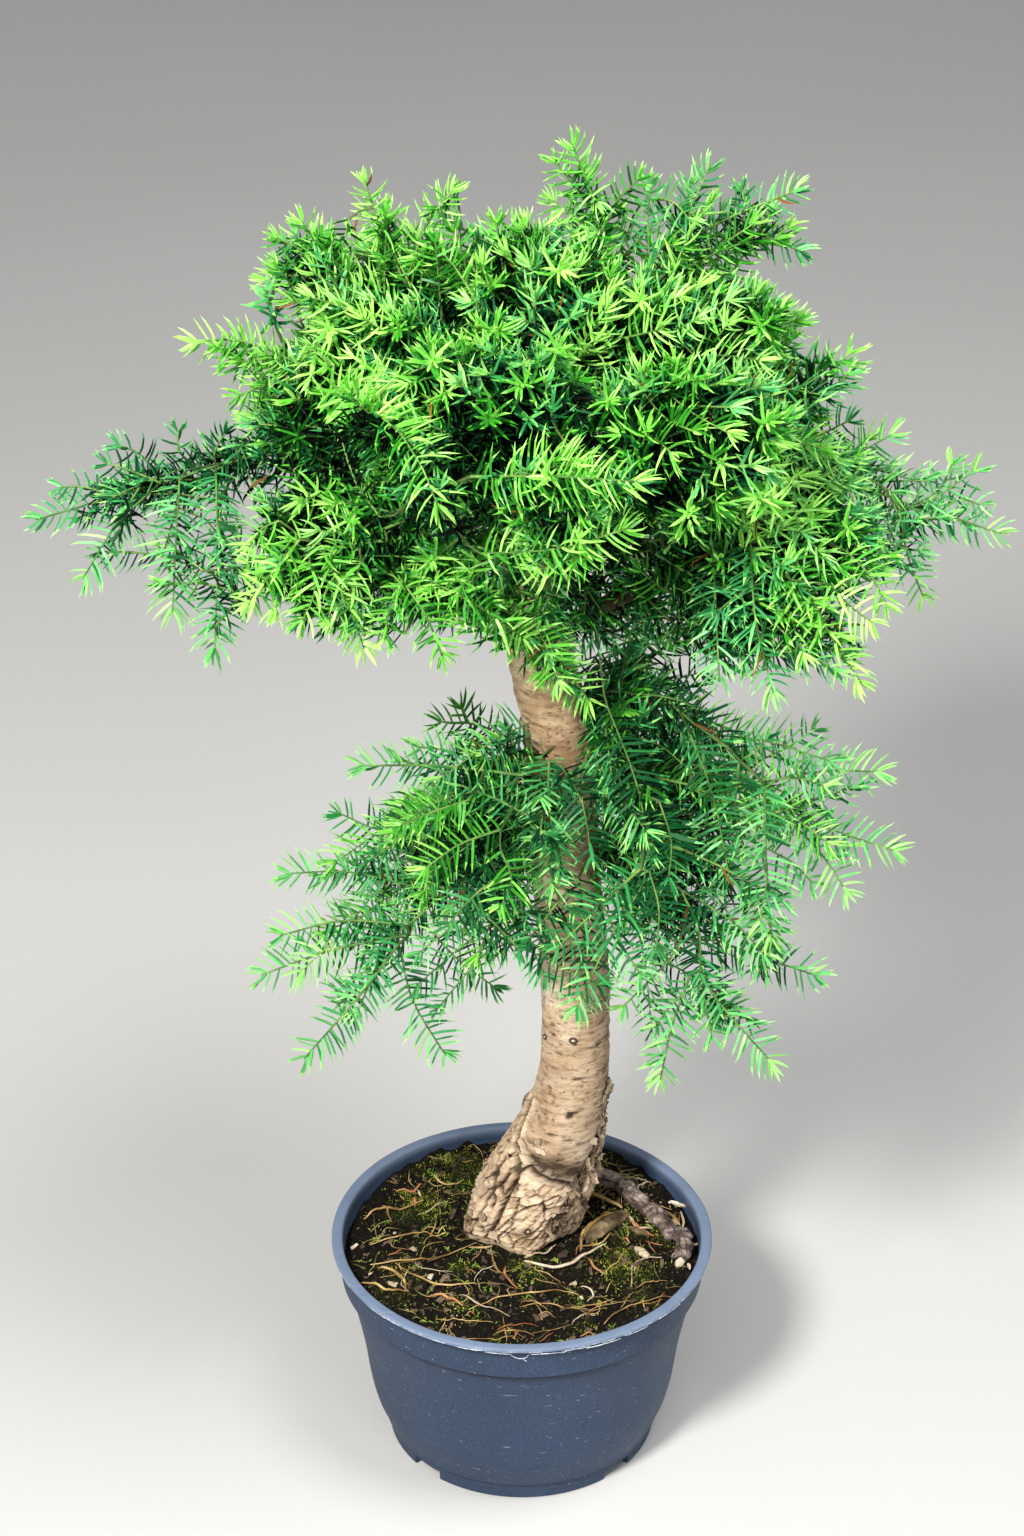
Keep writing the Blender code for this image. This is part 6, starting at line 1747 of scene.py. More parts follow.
# painted shade in hollows of the crown, and painted light where the amount is negative: place, reach, and how much
# darker
POCKETS = (
    (-0.089, -0.066, 0.584, 0.018, 2.4),
    (-0.082, -0.055, 0.568, 0.014, 1.6),
    (-0.017, -0.124, 0.620, 0.015, 1.6),
    (-0.026, -0.118, 0.574, 0.018, 2.6),
    (-0.055, -0.066, 0.543, 0.016, 1.8),
    (0.002, -0.079, 0.522, 0.018, 1.8),
    (0.010, -0.120, 0.590, 0.014, 1.8),
    (0.065, -0.106, 0.623, 0.012, 1.2),
    (0.138, -0.015, 0.569, 0.013, 1.2),
    (0.114, -0.034, 0.618, 0.012, 1.2),
    (0.077, -0.069, 0.513, 0.018, 1.4),
    (0.040, -0.050, 0.530, 0.024, 2.4),
    (0.053, -0.113, 0.577, 0.016, 3.2),
    (-0.065, -0.122, 0.606, 0.017, 3.0),
    (-0.034, -0.126, 0.578, 0.018, 3.0),
    (-0.074, -0.112, 0.614, 0.013, 2.4),
    (-0.050, -0.087, 0.500, 0.012, 1.2),
    (-0.110, -0.054, 0.575, 0.014, 1.6),
    (0.111, -0.091, 0.605, 0.013, 1.2),
    (0.039, -0.044, 0.624, 0.018, -1.7),
    (0.068, -0.041, 0.629, 0.018, -1.6),
    (0.109, -0.069, 0.544, 0.017, -1.6),
    (-0.088, -0.076, 0.548, 0.016, -1.7),
    (0.125, -0.046, 0.557, 0.014, -1.4),
    (-0.029, -0.078, 0.528, 0.013, -1.4),
    (-0.048, -0.083, 0.524, 0.014, -1.3),
    (-0.029, -0.100, 0.630, 0.015, -1.3),
    (-0.005, -0.121, 0.562, 0.013, -1.2),
    (0.078, -0.034, 0.634, 0.014, -1.2),
    (0.004, -0.047, 0.626, 0.016, -1.2),
    (0.081, -0.115, 0.581, 0.013, -0.9),
    (0.012, -0.096, 0.627, 0.014, -1.1),
    (-0.010, -0.074, 0.503, 0.014, -1.1),
    (-0.098, -0.074, 0.551, 0.014, -1.0),
    (0.001, -0.026, 0.647, 0.014, -1.0),
    (-0.022, -0.120, 0.612, 0.013, 2.4),
    (-0.034, -0.126, 0.572, 0.013, 1.6),
    (-0.120, -0.038, 0.584, 0.013, 1.2),
    (0.093, -0.045, 0.619, 0.015, -1.2),
    (0.125, -0.045, 0.551, 0.014, -1.1),
    (0.066, -0.046, 0.623, 0.015, -1.1),
    (0.109, -0.070, 0.543, 0.014, -0.9),
    (0.039, -0.041, 0.630, 0.014, -1.0),
    (0.095, -0.113, 0.594, 0.014, -1.2),
    (-0.086, -0.069, 0.555, 0.013, -0.9),
    (-0.066, -0.045, 0.630, 0.014, -1.2),
    (0.040, -0.044, 0.615, 0.013, -1.0),
    (0.032, -0.129, 0.574, 0.013, -0.9),
    (0.080, -0.035, 0.634, 0.013, -0.8),
    (-0.062, -0.117, 0.621, 0.013, -1.1),
    (-0.079, -0.036, 0.610, 0.014, -1.0),
    (-0.092, -0.042, 0.608, 0.013, -1.0),
    (-0.035, -0.099, 0.630, 0.013, -0.8),
    (-0.095, -0.058, 0.590, 0.013, -1.0),
    (0.081, -0.116, 0.581, 0.013, -1.0),
    (0.115, -0.091, 0.587, 0.013, -1.0),
    (0.088, -0.060, 0.602, 0.048, -0.45),
    (-0.112, -0.050, 0.575, 0.024, 0.7),
    (0.014, -0.112, 0.600, 0.012, 1.6),
    (0.020, -0.118, 0.570, 0.012, 1.6),
    (-0.010, -0.126, 0.594, 0.010, 1.4),
    (-0.071, -0.112, 0.615, 0.014, 1.6),
    (-0.072, -0.116, 0.601, 0.014, 2.0),
    (-0.033, -0.132, 0.587, 0.012, 2.0),
    (-0.114, -0.063, 0.548, 0.014, 1.4),
    (-0.115, -0.050, 0.572, 0.016, 1.0),
    (-0.123, -0.061, 0.534, 0.014, 1.0),
    (-0.092, -0.081, 0.503, 0.013, 1.0),
    (0.076, -0.068, 0.486, 0.015, 1.4),
    (0.022, -0.125, 0.556, 0.013, 2.0),
    (-0.036, -0.130, 0.572, 0.012, 2.0),
    (0.106, -0.029, 0.632, 0.014, 1.2),
    (0.133, -0.019, 0.601, 0.013, 1.0),
    (-0.008, 0.006, 0.652, 0.013, 1.2),
    (0.117, -0.077, 0.487, 0.013, 1.0),
    (-0.125, -0.025, 0.484, 0.014, 1.2),
    (0.147, -0.016, 0.564, 0.012, 0.8),
    (0.040, -0.042, 0.626, 0.015, -1.2),
    (-0.079, -0.078, 0.516, 0.014, -1.2),
    (-0.090, -0.073, 0.551, 0.013, -1.2),
    (-0.009, -0.021, 0.648, 0.014, -1.2),
    (0.128, -0.043, 0.553, 0.013, -1.0),
    (0.001, -0.075, 0.636, 0.013, -1.0),
    (0.045, -0.042, 0.613, 0.013, -1.0),
    (0.029, -0.001, 0.647, 0.013, -1.0),
    (-0.070, -0.008, 0.637, 0.013, -1.0),
    (0.130, -0.073, 0.538, 0.013, -1.0),
    (0.102, -0.070, 0.543, 0.013, -0.8),
    (-0.097, -0.043, 0.605, 0.013, -0.8),
    (0.036, -0.128, 0.575, 0.011, -0.9),
    (0.007, -0.066, 0.479, 0.013, -0.9),
    (-0.037, -0.091, 0.514, 0.013, -0.9),
)
leader_tips = []
for code, needle, *line in LEADERS:
    line = np.array(line)
    lower = bool(line[-1][2] < 0.455)
    outlier = abs(line[-1][0]) > 0.15
    shoot(line, code[0], float(code[1]) + LIFT - (0.2 if lower or outlier else 0.65), needle * (1.24 if lower or outlier else 1.16), 0.56 if lower or outlier else 0.78, 2, lower, 0.40, (0.0, -0.80, 0.60), 0.0, True, 0.80 if lower or outlier else 0.26)
    leader_tips.append(line[-1])
for code, tip in STARS:
    tip = np.array(tip)
    away = unit(TO_CAMERA * 0.9 + np.array((rng.normal(0, 0.16), 0, rng.normal(0, 0.12))))
    back = tip - away * 0.030 - np.array((0, 0, 0.006))
    shoot((back, tip - away * 0.014, tip), code[0], float(code[1]) + LIFT - 0.55, 14.5, 0.86, 2, False, 0.0, chief=True)
    leader_tips.append(tip)


def grow_outer():
    """A row of shoots whose tips lie just inside the surface of the masses."""
    spots, normals, owners = [], [], []
    per_area = 52000
    for name, (points, faces) in MASS_MESHES.items():
        corner = points[faces]
        cross = np.cross(corner[:, 1] - corner[:, 0], corner[:, 2] - corner[:, 0])
        area = np.linalg.norm(cross, axis=1) / 2
        count = int(area.sum() * per_area)
        if not count:
            continue
        pick = rng.choice(len(faces), count, p=area / area.sum())
        u, v = rng.uniform(size=(2, count))
        flip = u + v > 1
        u, v = np.where(flip, 1 - u, u), np.where(flip, 1 - v, v)
        where = corner[pick, 0] + u[:, None] * (corner[pick, 1] - corner[pick, 0]) + v[:, None] * (corner[pick, 2] - corner[pick, 0])
        facing = unit(cross[pick])
        own = MASS_ORDER[name]
        for p, n in zip(where, facing):
            ahead = Vector(p + n * 0.0040)
            hit, _, index, distance = FOLIAGE_TREE.find_nearest(ahead, 0.0036)
            if hit is not None and FACE_OWNER[index] != own:
                continue
            if inside_foliage(p + n * 0.0050):
                continue
            spots.append(p)
            normals.append(n)
            owners.append(name)
    spots, normals = np.array(spots), np.array(normals)
    order = rng.permutation(len(spots))
    spots, normals = spots[order], normals[order]
    owners = [owners[i] for i in order]
    inset = spots - normals * 0.006
    crown_rows = [i for i in range(len(spots)) if not is_lower(owners[i]) and not (owners[i].startswith("front_spray") and rng.uniform() < 0.93)]
    low_rows = [i for i in range(len(spots)) if is_lower(owners[i])]
    chosen = []
    for rows, gap in ((crown_rows, 0.0122), (low_rows, 0.0196)):
        kept = spread(inset[rows], gap, leader_tips)
        chosen += [rows[i] for i in kept]
    for i in chosen:
        name, p, n = owners[i], spots[i], normals[i]
        lower = is_lower(name)
        warm, level, needle, density = GROWTH[name]
        hub = hub_for(name)
        out = unit(p - hub)
        flat_out = unit(np.array((out[0], out[1], 0.0)))
        seen = float(np.dot(n, TO_CAMERA))
        if not lower and n[2] < -0.45 and p[1] > 0.02 and rng.uniform() < 0.45:
            continue
        tangent = flat_out * 0.9 + np.array((0, 0, -0.35 if p[1] < 0 or p[2] < 0.56 else 0.25))
        tangent = tangent + rng.normal(0, 0.45, 3)
        tangent = unit(tangent - n * np.dot(tangent, n))
        if lower:
            along = unit(flat_out * 0.80 + n * 0.28 + np.array((0, 0, -0.22)) + rng.normal(0, 0.20, 3))
            length = rng.uniform(0.058, 0.092)
            flat, comb = 0.46, 0.86
        elif rng.uniform() < 0.30:
            along = unit(n * 0.85 + out * 0.45 + np.array((0, 0, 0.15)) + rng.normal(0, 0.26, 3))
            length = rng.uniform(0.030, 0.050)
            flat, comb = 0.12, 0.0
        else:
            along = unit(tangent * 0.95 + n * 0.42 + rng.normal(0, 0.12, 3))
            length = rng.uniform(0.042, 0.074)
            flat, comb = 0.30, 0.45
        tip = p - n * 0.0075
        for x, y, z, reach, fall in POCKETS:
            near = math.exp(-(((p[0] - x) ** 2 + (p[1] - y) ** 2 + (p[2] - z) ** 2) / reach**2) ** 1.5)
            tip = tip - n * 0.005 * near * max(0.0, fall)
        start = tip - along * length * 0.55 - unit(tip - hub) * length * 0.42 + np.array((0, 0, -0.002 if not lower else 0.004))
        droop = np.array((0, 0, 0.0035 if (lower or n[2] < 0.2) else -0.0020))
        middle = (start + tip) / 2 + droop + rng.normal(0, 0.0012, 3)
        shade = 0.0
        face = unit(n * 0.6 + np.array((0.0, -0.70, 0.60))) if lower else n
        # painted shade: shoots on the underside of a mass are dealt darker tones; the rest of the spread is random
        shade -= 0.7 * max(0.0, -n[2])
        shade += rng.normal(0, 0.60)
        family = "w" if rng.uniform() < warm else "c"
        grade = 2 if seen > -0.15 else 1
        shoot(
            (start, middle, tip), family, level + LIFT + shade, needle * NEEDLE_STRETCH * (1.08 if lower else 1) + rng.normal(0, 0.8),
            density * NEEDLE_SPACING * (1 if seen > -0.2 else 0.85) * (0.88 if lower else 1), grade, lower, flat, face, comb=comb,
        )
    return spots, normals, owners


OUTER = grow_outer()


OUTSIDE = KDTree(len(OUTER[0]))
for k, p in enumerate(OUTER[0]):
    OUTSIDE.insert(p, k)
OUTSIDE.balance()


def depth_of(places):
    """How far each place lies below the outside of the foliage; 0 for a place outside it."""
    out = np.zeros(len(places))
    for k, p in enumerate(places):
        spot, index, _ = OUTSIDE.find(p)
        out[k] = max(0.0, -float(np.dot(p - OUTER[0][index], OUTER[1][index])))
    return out


NARROW = {
    "top_sprig", "top_right_sprays", "top_left_sprigs", "left_spike", "right_spray", "right_tip", "right_outlier", "left_outlier",
    "left_hanging_outer", "left_hanging_inner", "low_left_outer", "low_left_bottom", "low_right_outer", "low_right_hanging", "low_right_bottom",
}


def p_back(place):
    return place[1] > 0.02


def grow_inner():
    """Deeper rows that close the crown, dealt darker tones inside it as painted shade."""
    spots, normals, owners = OUTER
    for low_depth, high_depth, gap, fall in ((0.013, 0.020, 0.0165, 0.3), (0.024, 0.035, 0.0180, 0.6), (0.042, 0.058, 0.0205, 1.2)):
        depths = rng.uniform(low_depth, high_depth, len(spots))
        deep = spots - normals * depths[:, None]
        rows = rng.permutation(len(spots))
        kept = spread(deep[rows], gap)
        for i in rows[kept]:
            name, n, tip = owners[i], normals[i], deep[i]
            if name in NARROW or not inside_foliage(tip):
                continue
            lower = is_lower(name)
            if n[2] < -0.3 and p_back(tip) and rng.uniform() < 0.6:
                continue
            if lower and (fall > 0.5 or rng.uniform() < 0.35):
                continue
            warm, level, needle, density = GROWTH[name]
            hub = hub_for(name)
            out = unit(tip - hub)
            along = unit(out * 0.6 + n * 0.3 + rng.normal(0, 0.55, 3))
            length = rng.uniform(0.036, 0.060)
            start = tip - along * length * 0.6 - out * length * 0.4
            middle = (start + tip) / 2 + rng.normal(0, 0.002, 3)
            family = "w" if rng.uniform() < warm * 0.55 else "c"
            shoot(
                (start, middle, tip), family, level + LIFT - fall + rng.normal(0, 0.45), needle * NEEDLE_STRETCH,
                density * (0.82 if fall < 1 else 0.58), 1 if fall < 1 else 0, lower, 0.15, n,
            )


grow_inner()


def grow_under():
    """Shoots dealt dark tones as painted shade, straight off the boughs inside the crown, which close it from below."""
    for name in BOUGHS:
        start, middle, goal, radius = bough_line(name)
        curve, along, length = catmull((start, middle, goal), 40)
        low = goal[2] < 0.455
        count = int(length * 1000 / (9.0 if low else 4.6))
        for k in range(count):
            t = rng.uniform(0.16, 1.0)
            i = int(t * 39)
            turn = rng.uniform(0, math.tau)
            side = unit(np.cross(along[i], (0.1, 0.2, 1.0)))
            up = np.cross(side, along[i])
            away = side * math.cos(turn) + up * math.sin(turn)
            direction = unit(away * 0.85 + along[i] * 0.55 + np.array((0, 0, -0.10)))
            size = rng.uniform(0.026, 0.050)
            tip = curve[i] + direction * size
            if not inside_foliage(tip):
                continue
            family = "c" if rng.uniform() < 0.7 else "w"
            shoot(
                (curve[i], (curve[i] + tip) / 2 + rng.normal(0, 0.002, 3), tip), family, rng.uniform(0.1, 1.5), 15.5, 0.34, 0, low, 0.2, away,
            )


grow_under()


def grow_sleeves():
    """Short shoots all round the foot of each bough, dealt dim tones as painted shade."""
    for name in BOUGHS:
        start, middle, goal, radius = bough_line(name)
        curve, along, length = catmull((start, middle, goal), 40)
        low = goal[2] < 0.455
        _, _, stem = trunk_at(start[2])
        first = float(stem) / length
        for k in range(int((0.92 - first) * length * 1000 / (3.4 if low else 5.0))):
            t = rng.uniform(first, 0.92)
            i = int(t * 39)
            away = rng.normal(size=3)
            away = unit(away - along[i] * np.dot(away, along[i]))
            direction = unit(away * 0.8 + along[i] * 0.6)
            tip = curve[i] + direction * rng.uniform(0.011, 0.021)
            shoot(
                (curve[i], (curve[i] + tip) / 2, tip), "c" if rng.uniform() < 0.65 else "w", rng.uniform(1.0, 2.7) if low else rng.uniform(0.4, 1.8), 13.0, 0.62, 1, low, 0.2, away,
            )


grow_sleeves()


def grow_veil():
    """Shoots dealt dim tones as painted shade, round the lowest right bough of the crown and behind it, seen through
    the opening beside the trunk.
    """
    for name, first, last, count, low_size, high_size, drop in (("bough_right_low", 0.10, 0.75, 34, 0.020, 0.036, 0.0), ("bough_right", 0.08, 0.60, 26, 0.030, 0.052, -0.55), ("bough_back", 0.05, 0.45, 16, 0.035, 0.060, -0.6)):
        start, middle, goal, radius = bough_line(name)
        curve, along, length = catmull((start, middle, goal), 40)
        for k in range(count):
            t = rng.uniform(first, last)
            i = int(t * 39)
            away = unit(rng.normal(size=3))
            away = unit(away - along[i] * np.dot(away, along[i]) + np.array((0.1 if name == "bough_back" else 0.0, 0.0, drop)))
            direction = unit(away * 0.9 + along[i] * 0.45)
            tip = curve[i] + direction * rng.uniform(low_size, high_size)
            if tip[2] < 0.452 or (tip[1] < -0.02 and tip[2] < 0.468):
                continue
            shoot(
                (curve[i], (curve[i] + tip) / 2 + rng.normal(0, 0.002, 3), tip), "c" if rng.uniform() < 0.6 else "w", rng.uniform(1.2, 2.6), 15.0, 0.42, 1, False, 0.3, away, comb=0.5,
            )


grow_veil()


def side_shoots():
    """Short shoots at about 45 degrees from the longer leaders."""
    for row in list(SHOOTS[: len(LEADERS)]):
        curve, along, length = catmull(row["points"], 24)
        if length < 0.050:
            continue
        for k in range(2 if length < 0.075 else 4):
            t = rng.uniform(0.18, 0.66)
            i = int(t * 23)
            sideways = unit(np.cross(along[i], (0, 0, 1)) + rng.normal(0, 0.15, 3)) * (1 if k % 2 else -1)
            direction = unit(along[i] * 0.75 + sideways * 0.62 + np.array((0, 0, 0.05)))
            tip = curve[i] + direction * rng.uniform(0.018, 0.034)
            if not inside_foliage(tip):
                continue
            shoot(
                (curve[i], (curve[i] + tip) / 2 + (0, 0, 0.001), tip),
                row["family"], row["level"] - 0.3 + rng.normal(0, 0.3), row["needle"] - 0.8, row["density"], 2, row["lower"], row["flat"], (0.0, -0.8, 0.6), chief=True, comb=row["comb"],
            )


side_shoots()


# ---------------------------------------------------------------- foliage: links back to the limbs
def grow_links():
    place = np.array(SKELETON["place"])
    parent = list(SKELETON["parent"])
    reach = list(SKELETON["reach"])
    wood = len(parent)
    capacity = wood + len(SHOOTS) * 9 + 10
    nodes = np.zeros((capacity, 3))
    nodes[:wood] = place
    far = np.zeros(capacity)
    far[:wood] = reach
    parents = np.full(capacity, -1)
    parents[:wood] = parent
    heading = np.zeros((capacity, 3))
    count = wood
    bases = np.array([s["points"][0] for s in SHOOTS])
    low_bits = np.array([s["lower"] for s in SHOOTS])
    hubs = np.where(low_bits[:, None], np.where(bases[:, :1] < 0.02, LOW_HUBS["left"], LOW_HUBS["right"]), CROWN_HUB)
    order = np.argsort(np.linalg.norm(bases - hubs, axis=1))
    links = []
    for index in order:
        base = bases[index]
        first = SHOOTS[index]["points"]
        aim = unit(first[1] - first[0])
        away = base - nodes[:count]
        gap = np.linalg.norm(away, axis=1)
        backward = np.einsum("ij,j->i", away / np.maximum(gap, 1e-9)[:, None], aim)
        cost = gap * (1.0 + 0.45 * (1 - backward)) + 0.22 * far[:count]
        best = np.argpartition(cost, min(24, count - 1))[:24]
        best = best[np.argsort(cost[best])]
        root = -1
        for option in best[:18]:
            route = [nodes[option] + (base - nodes[option]) * u for u in (0.35, 0.7)]
            if gap[option] < 0.012 or all(inside_foliage(q) for q in route):
                root = int(option)
                break
        if root < 0 and index >= len(LEADERS) + len(STARS) and gap[best[0]] > 0.016:
            SHOOTS[index]["left_out"] = True
            continue
        root = int(best[0]) if root < 0 else root
        start = nodes[root]
        span = gap[root]
        if span < 0.0006:
            SHOOTS[index]["root"] = root
            tail = root
        else:
            pull = heading[root] if root >= wood else unit(base - start)
            steps = int(np.clip(span / 0.008, 2, 7))
            t = np.linspace(0, 1, steps + 1)[1:, None]
            m0, m1 = unit(pull * 0.5 + unit(base - start)) * span * 0.9, aim * span * 0.7
            curve = (2 * t**3 - 3 * t**2 + 1) * start + (t**3 - 2 * t**2 + t) * m0 + (3 * t**2 - 2 * t**3) * base + (t**3 - t**2) * m1
            sag = np.sin(np.pi * t) * np.array((0, 0, -0.03 * span))
            curve = curve + sag
            curve[-1] = base
            ids = []
            previous = root
            for p in curve:
                nodes[count] = p
                parents[count] = previous
                far[count] = far[previous] + np.linalg.norm(p - nodes[previous])
                heading[count] = unit(p - nodes[previous])
                ids.append(count)
                previous = count
                count += 1
            links.append((root, ids))
            tail = ids[-1]
        SHOOTS[index]["tail"] = tail
        # the shoot itself also carries later links
        curve, _, _ = catmull(first, 5)
        previous = tail
        for p in curve[1:4]:
            nodes[count] = p
            parents[count] = previous
            far[count] = far[previous] + np.linalg.norm(p - nodes[previous])
            heading[count] = unit(p - nodes[previous])
            previous = count
            count += 1
            if count >= capacity - 10:
                break
    SHOOTS[:] = [s for s in SHOOTS if not s.get("left_out")]
    carried = np.zeros(count)
    for s in SHOOTS:
        carried[s["tail"]] += 1
    for node in range(count - 1, -1, -1):
        if parents[node] >= 0 and parents[node] < node:
            carried[parents[node]] += carried[node]
    return nodes, links, carried


def twig_radius(load):
    return np.minimum(0.00052 * np.maximum(load, 1) ** 0.40, 0.0022)


def twig_pieces():
    nodes, links, carried = grow_links()
    bags = {"twigs_crown": Bag(), "twigs_lower": Bag(), "young_crown": Bag(), "young_lower": Bag(), "stems_crown": Bag(), "stems_lower": Bag()}
    for root, ids in links:
        curve = nodes[[root] + ids]
        radii = twig_radius(carried[ids])
        radii = np.concatenate((radii[:1] * 1.15, radii))
        points, faces = tube_arrays(curve, radii, 5, 0.3)
        lower = curve[-1][2] < 0.455
        kind = "twigs" if carried[ids[0]] > 7 else "young"
        bags[kind + ("_lower" if lower else "_crown")].add(points, np.vstack((faces[:, (0, 1, 2)], faces[:, (0, 2, 3)])))
    for s in SHOOTS:
        grade = s["grade"]
        curve, along, length = catmull(s["points"], 8 if grade == 2 else 5)
        base = float(twig_radius(max(1.0, carried[s["tail"]])))
        radii = np.linspace(min(base, 0.0009), 0.00040, len(curve))
        points, faces = tube_arrays(curve, radii, 4)
        last = (len(curve) - 1) * 4
        points = np.vstack((points, curve[-1] + along[-1] * 0.0012))
        cap = np.array([(last + a, last + (a + 1) % 4, len(points) - 1) for a in range(4)])
        bags["stems_lower" if s["lower"] else "stems_crown"].add(points, np.vstack((faces[:, (0, 1, 2)], faces[:, (0, 2, 3)], cap)))
        s["curve"] = (curve, along, length)
    twig = stem_material("twig_bark", ((0.35, (0.045, 0.026, 0.012)), (0.5, (0.105, 0.068, 0.026)), (0.65, (0.17, 0.125, 0.045))))
    stem = stem_material("shoot_stem", ((0.35, (0.050, 0.140, 0.028)), (0.5, (0.125, 0.260, 0.055)), (0.65, (0.24, 0.40, 0.09))))
    green = stem_material("young_twig", ((0.35, (0.022, 0.060, 0.016)), (0.5, (0.060, 0.115, 0.028)), (0.65, (0.125, 0.190, 0.045))))
    for name, bag in bags.items():
        points, faces = bag.arrays()
        piece(name, points, faces, {"twigs": twig, "young": green, "stems": stem}[name.split("_")[0]], smooth=True)


twig_pieces()


# ---------------------------------------------------------------- foliage: needles
GOLDEN = math.pi * (3 - math.sqrt(5))


LIT_SIDE = unit(np.array((-0.30, -0.45, 0.84)))


def needle_rows():
    """One row for each needle: place, direction along the shoot, direction out, angles, length, width, tint."""
    rows = []
    for s in SHOOTS:
        curve, along, length = s["curve"]
        grade = s["grade"]
        count = max(6, int(length * 1000 * s["density"] * (1.0)))
        t = (np.arange(count) + rng.uniform(0.3, 0.7, count)) / count
        t = s["bare"] + (1 - s["bare"]) * t
        # crowded toward the tip
        extra = 5 if grade == 2 else 2
        t = np.concatenate((t, np.linspace(0.97, 1.0, extra)))
        count = len(t)
        grid = np.linspace(0, 1, len(curve))
        place = np.stack([np.interp(t, grid, curve[:, k]) for k in range(3)], 1)
        axis = unit(np.stack([np.interp(t, grid, along[:, k]) for k in range(3)], 1))
        side = np.cross(axis, s["face"])
        weak = np.linalg.norm(side, axis=1) < 0.25
        side = np.where(weak[:, None], np.cross(axis, (1.0, 0.2, 0)), side)
        side = unit(side)
        up = np.cross(side, axis)
        phi = np.arange(count) * GOLDEN + rng.uniform(0, math.tau) + rng.normal(0, 0.14, count)
        phi = phi - s["flat"] * np.sin(2 * phi)
        ranked = rng.uniform(size=count) < s["comb"]
        phi = np.where(ranked, np.where(np.arange(count) % 2 == 0, 0.0, math.pi) + rng.normal(0, 0.24, count), phi)
        out = np.cos(phi)[:, None] * side + np.sin(phi)[:, None] * up
        spread_angle = np.radians(np.interp(t, (0, 0.35, 0.8, 0.95, 1.0), (70, 68, 62, 46, 22))) + rng.normal(0, 0.06 if s["comb"] > 0.4 else 0.10, count)
        size = np.interp(t, (0, 0.12, 0.45, 0.85, 1.0), (0.70, 0.92, 1.0, 0.93, 0.66)) * rng.uniform(0.86, 1.12, count)
        needle = size * s["needle"] * 0.001
        level = s["level"] + np.interp(t, (0, 0.3, 0.7, 0.9, 1.0), (-0.8, -0.4, 0.0, 0.4, 0.75)) + rng.normal(0, 0.34, count)
        # painted light and shade: needles turned away from the lit side are dealt darker tones, those turned to it
        # paler
        level = level - 1.25 * np.clip(-(out @ LIT_SIDE) - 0.05, 0, 1) + 0.25 * np.clip(out @ LIT_SIDE, 0, 1)
        centre = place + (np.cos(spread_angle)[:, None] * axis + np.sin(spread_angle)[:, None] * out) * needle[:, None] * 0.6
        depth = depth_of(centre)
        # painted shade: needles deeper below the outside of the foliage, and in the hollows listed in POCKETS, are
        # dealt darker tones (paler where a hollow's amount is negative); the lower left is dealt paler tones, painted
        # light
        if s["lower"]:
            level = level - np.interp(depth, (0.0, 0.006, 0.012, 0.020, 0.030), (0.0, 0.2, 1.0, 2.1, 2.8))
            level = level + np.interp(centre[:, 0], (-0.10, -0.02, 0.03), (0.60, 0.45, 0.15))
        else:
            level = level - np.interp(depth, (0.0, 0.0040, 0.0080, 0.012, 0.017, 0.026, 0.040), (0.0, 0.1, 0.9, 2.1, 3.2, 4.0, 4.8))
            for x, y, z, reach, fall in POCKETS:
                away = ((centre - (x, y, z)) ** 2).sum(1) / reach**2
                level = level - fall * np.exp(-(away**1.5)) * (0.45 if s["chief"] else 1.0)
        width = (0.00144 if s["chief"] else 0.00131 if grade == 2 else 0.00132 if grade == 1 else 0.00165) * rng.uniform(0.88, 1.14, count)
        if s["lower"] and grade == 2:
            width = width * (1.14 if s["chief"] else 1.08)
        rows.append(
            np.column_stack(
                (
                    place, axis, out, spread_angle, needle, width,
                    np.clip(np.round(level), 0, 5),
                    np.full(count, 0 if s["family"] == "w" else 1),
                    np.full(count, 1 if s["lower"] else 0),
                    np.full(count, grade),
                )
            )
        )
    rows = np.vstack(rows)
    cx, cy, stem = trunk_at(rows[:, 2])
    clear = (np.hypot(rows[:, 0] - cx, rows[:, 1] - cy) > stem + 0.0008) | (rows[:, 2] > 0.56)
    return rows[clear]


CUTS = {3: (0.0, 0.30, 0.70, 1.0), 2: (0.0, 0.56, 1.0)}
WIDTHS = {3: (0.80, 1.04, 0.80), 2: (0.94, 1.04)}


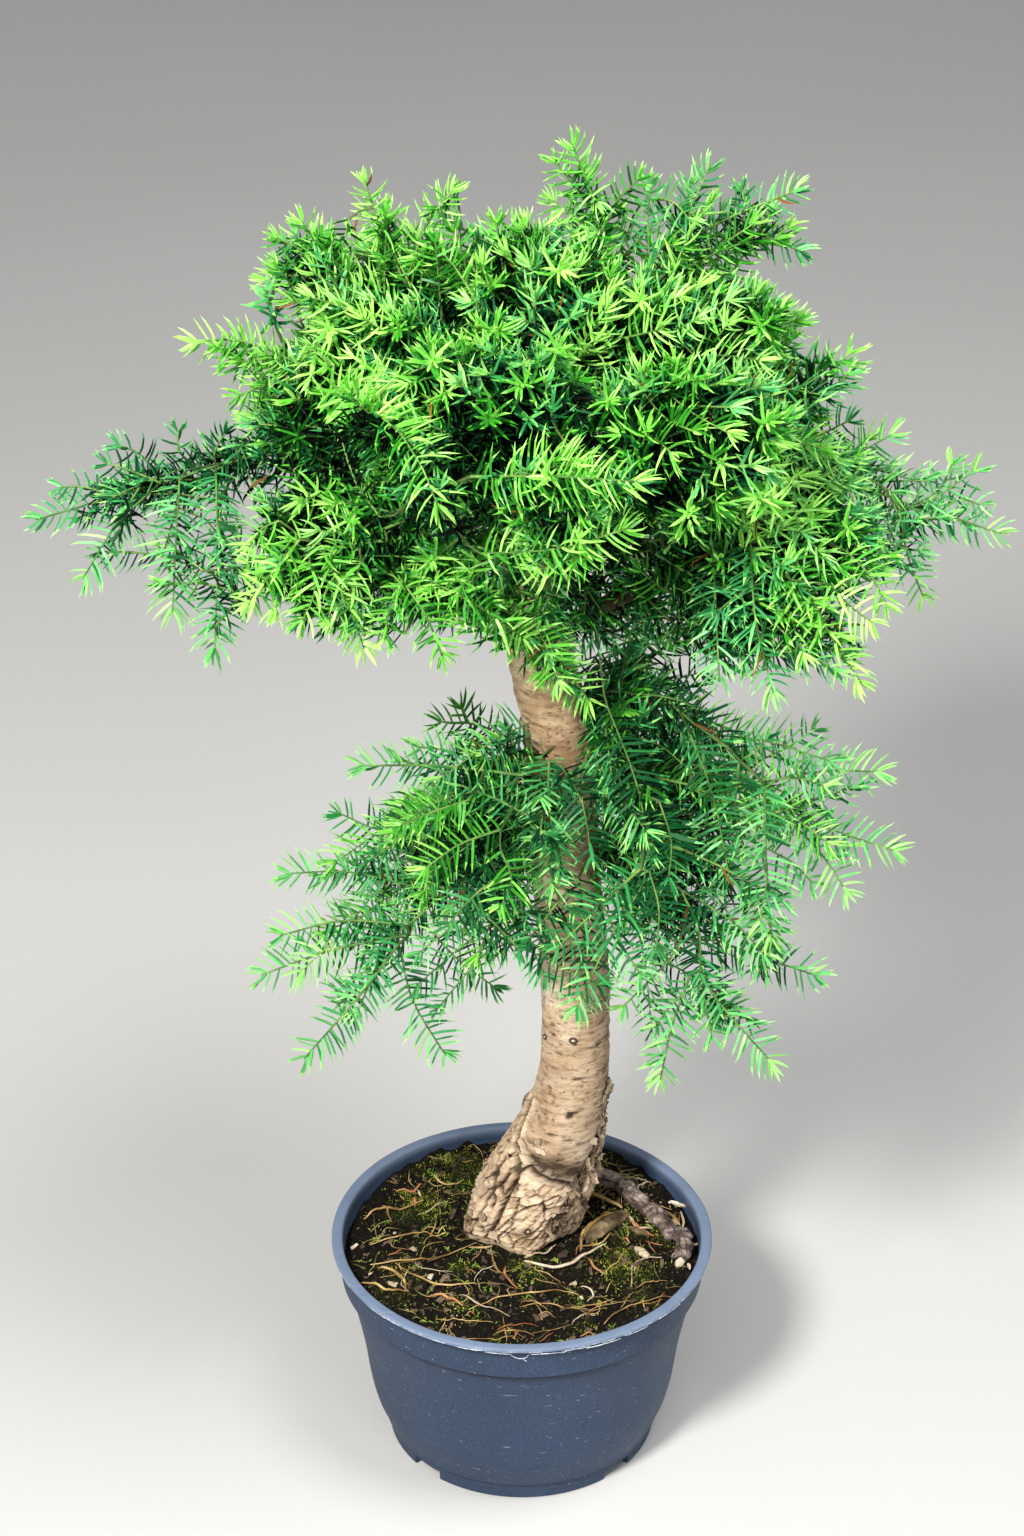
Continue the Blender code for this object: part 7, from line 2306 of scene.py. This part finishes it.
def needle_mesh(rows, segments):
    """Blades of triangular section that curve toward the tip of their shoot: points, and faces grouped by needle with the last three at its point."""
    place, axis, out = rows[:, 0:3], rows[:, 3:6], rows[:, 6:9]
    angle, length, width = rows[:, 9], rows[:, 10], rows[:, 11]
    n = len(rows)
    bend = rng.uniform(0.0, 0.34, n) + 0.14 * (rows[:, 14] == 0)
    wide = unit(np.cross(axis, out))
    turn = rng.choice((-1.0, 1.0), n)
    cuts = CUTS[segments]
    centre = place + out * 0.0003
    rings = []
    twist = rng.normal(0, 0.35, n)
    sway = rng.normal(0, 0.10, n)
    for k in range(segments):
        a = angle + bend * 0.5 - bend * (cuts[k] + cuts[k + 1]) * 0.75
        heading = np.cos(a)[:, None] * axis + np.sin(a)[:, None] * out + (sway * (0.5 + k))[:, None] * wide
        normal = -np.sin(a)[:, None] * axis + np.cos(a)[:, None] * out
        w = wide * np.cos(twist)[:, None] + normal * np.sin(twist)[:, None]
        h = unit(np.cross(heading, w)) * turn[:, None]
        half = (width * WIDTHS[segments][k] / 2)[:, None]
        rings.append(np.stack((centre - w * half, centre + w * half, centre + h * half * 1.1), 1))
        centre = centre + heading * (length * (cuts[k + 1] - cuts[k]))[:, None]
    points = np.concatenate(rings + [centre[:, None, :]], 1)
    per = 3 * segments + 1
    faces = []
    for k in range(segments - 1):
        b = 3 * k
        for i, j in ((0, 1), (1, 2), (2, 0)):
            faces += [(b + i, b + j, b + 3 + j), (b + i, b + 3 + j, b + 3 + i)]
    b = 3 * (segments - 1)
    faces += [(b, b + 1, per - 1), (b + 1, b + 2, per - 1), (b + 2, b, per - 1)]
    faces = np.array(faces)
    grouped = faces[None] + (np.arange(n) * per)[:, None, None]
    flipped = turn < 0
    grouped[flipped] = grouped[flipped][:, :, ::-1]
    return points.reshape(-1, 3), grouped


MOST_FACES = 190000


def needle_pieces():
    rows = needle_rows()
    materials = {code: needle_material(code) for code in TINTS}
    nodes = ([name for name in GROWTH if not is_lower(name)], [name for name in GROWTH if is_lower(name)])
    dealt, points, offset = {}, [], 0
    for fine, segments in ((True, 3), (False, 2)):
        part = rows[(rows[:, 15] == 2) == fine]
        if not len(part):
            continue
        made, grouped = needle_mesh(part, segments)
        grouped = grouped + offset
        points.append(made)
        offset += len(made)
        low, family, level = (part[:, k].astype(int) for k in (14, 13, 12))
        withered = rng.uniform(size=len(part)) < (0.0008 if fine else 0.010)
        family = np.where(withered, 2, family)
        level = np.where(withered, 0, level)
        brighter = np.where(withered, 0, np.minimum(level + rng.choice((1, 1, 2), len(part)), 5))
        for l in (0, 1):
            for f in (0, 1, 2):
                for v in range(6):
                    here = (low == l) & (family == f)
                    dealt.setdefault((l, f, v), []).append(grouped[here & (level == v)][:, :-3].reshape(-1, 3))
                    dealt[(l, f, v)].append(grouped[here & (brighter == v)][:, -3:].reshape(-1, 3))
    points = np.vstack(points)
    total = 0
    for (l, f, v), groups in dealt.items():
        faces = np.vstack(groups)
        if not len(faces):
            continue
        code = "dead" if f == 2 else "wc"[f] + str(v)
        total += len(faces)
        chunks = math.ceil(len(faces) / MOST_FACES)
        for k, chunk in enumerate(np.array_split(faces, chunks)):
            used, index = np.unique(chunk, return_inverse=True)
            name = f"needles_{'lower' if l else 'crown'}_{code}" + (f"_{k + 1}" if chunks > 1 else "")
            piece(name, points[used], index.reshape(chunk.shape), materials[code], replaces=nodes[l])
    print("needles", len(rows), "triangles", total, "shoots", len(SHOOTS))


needle_pieces()
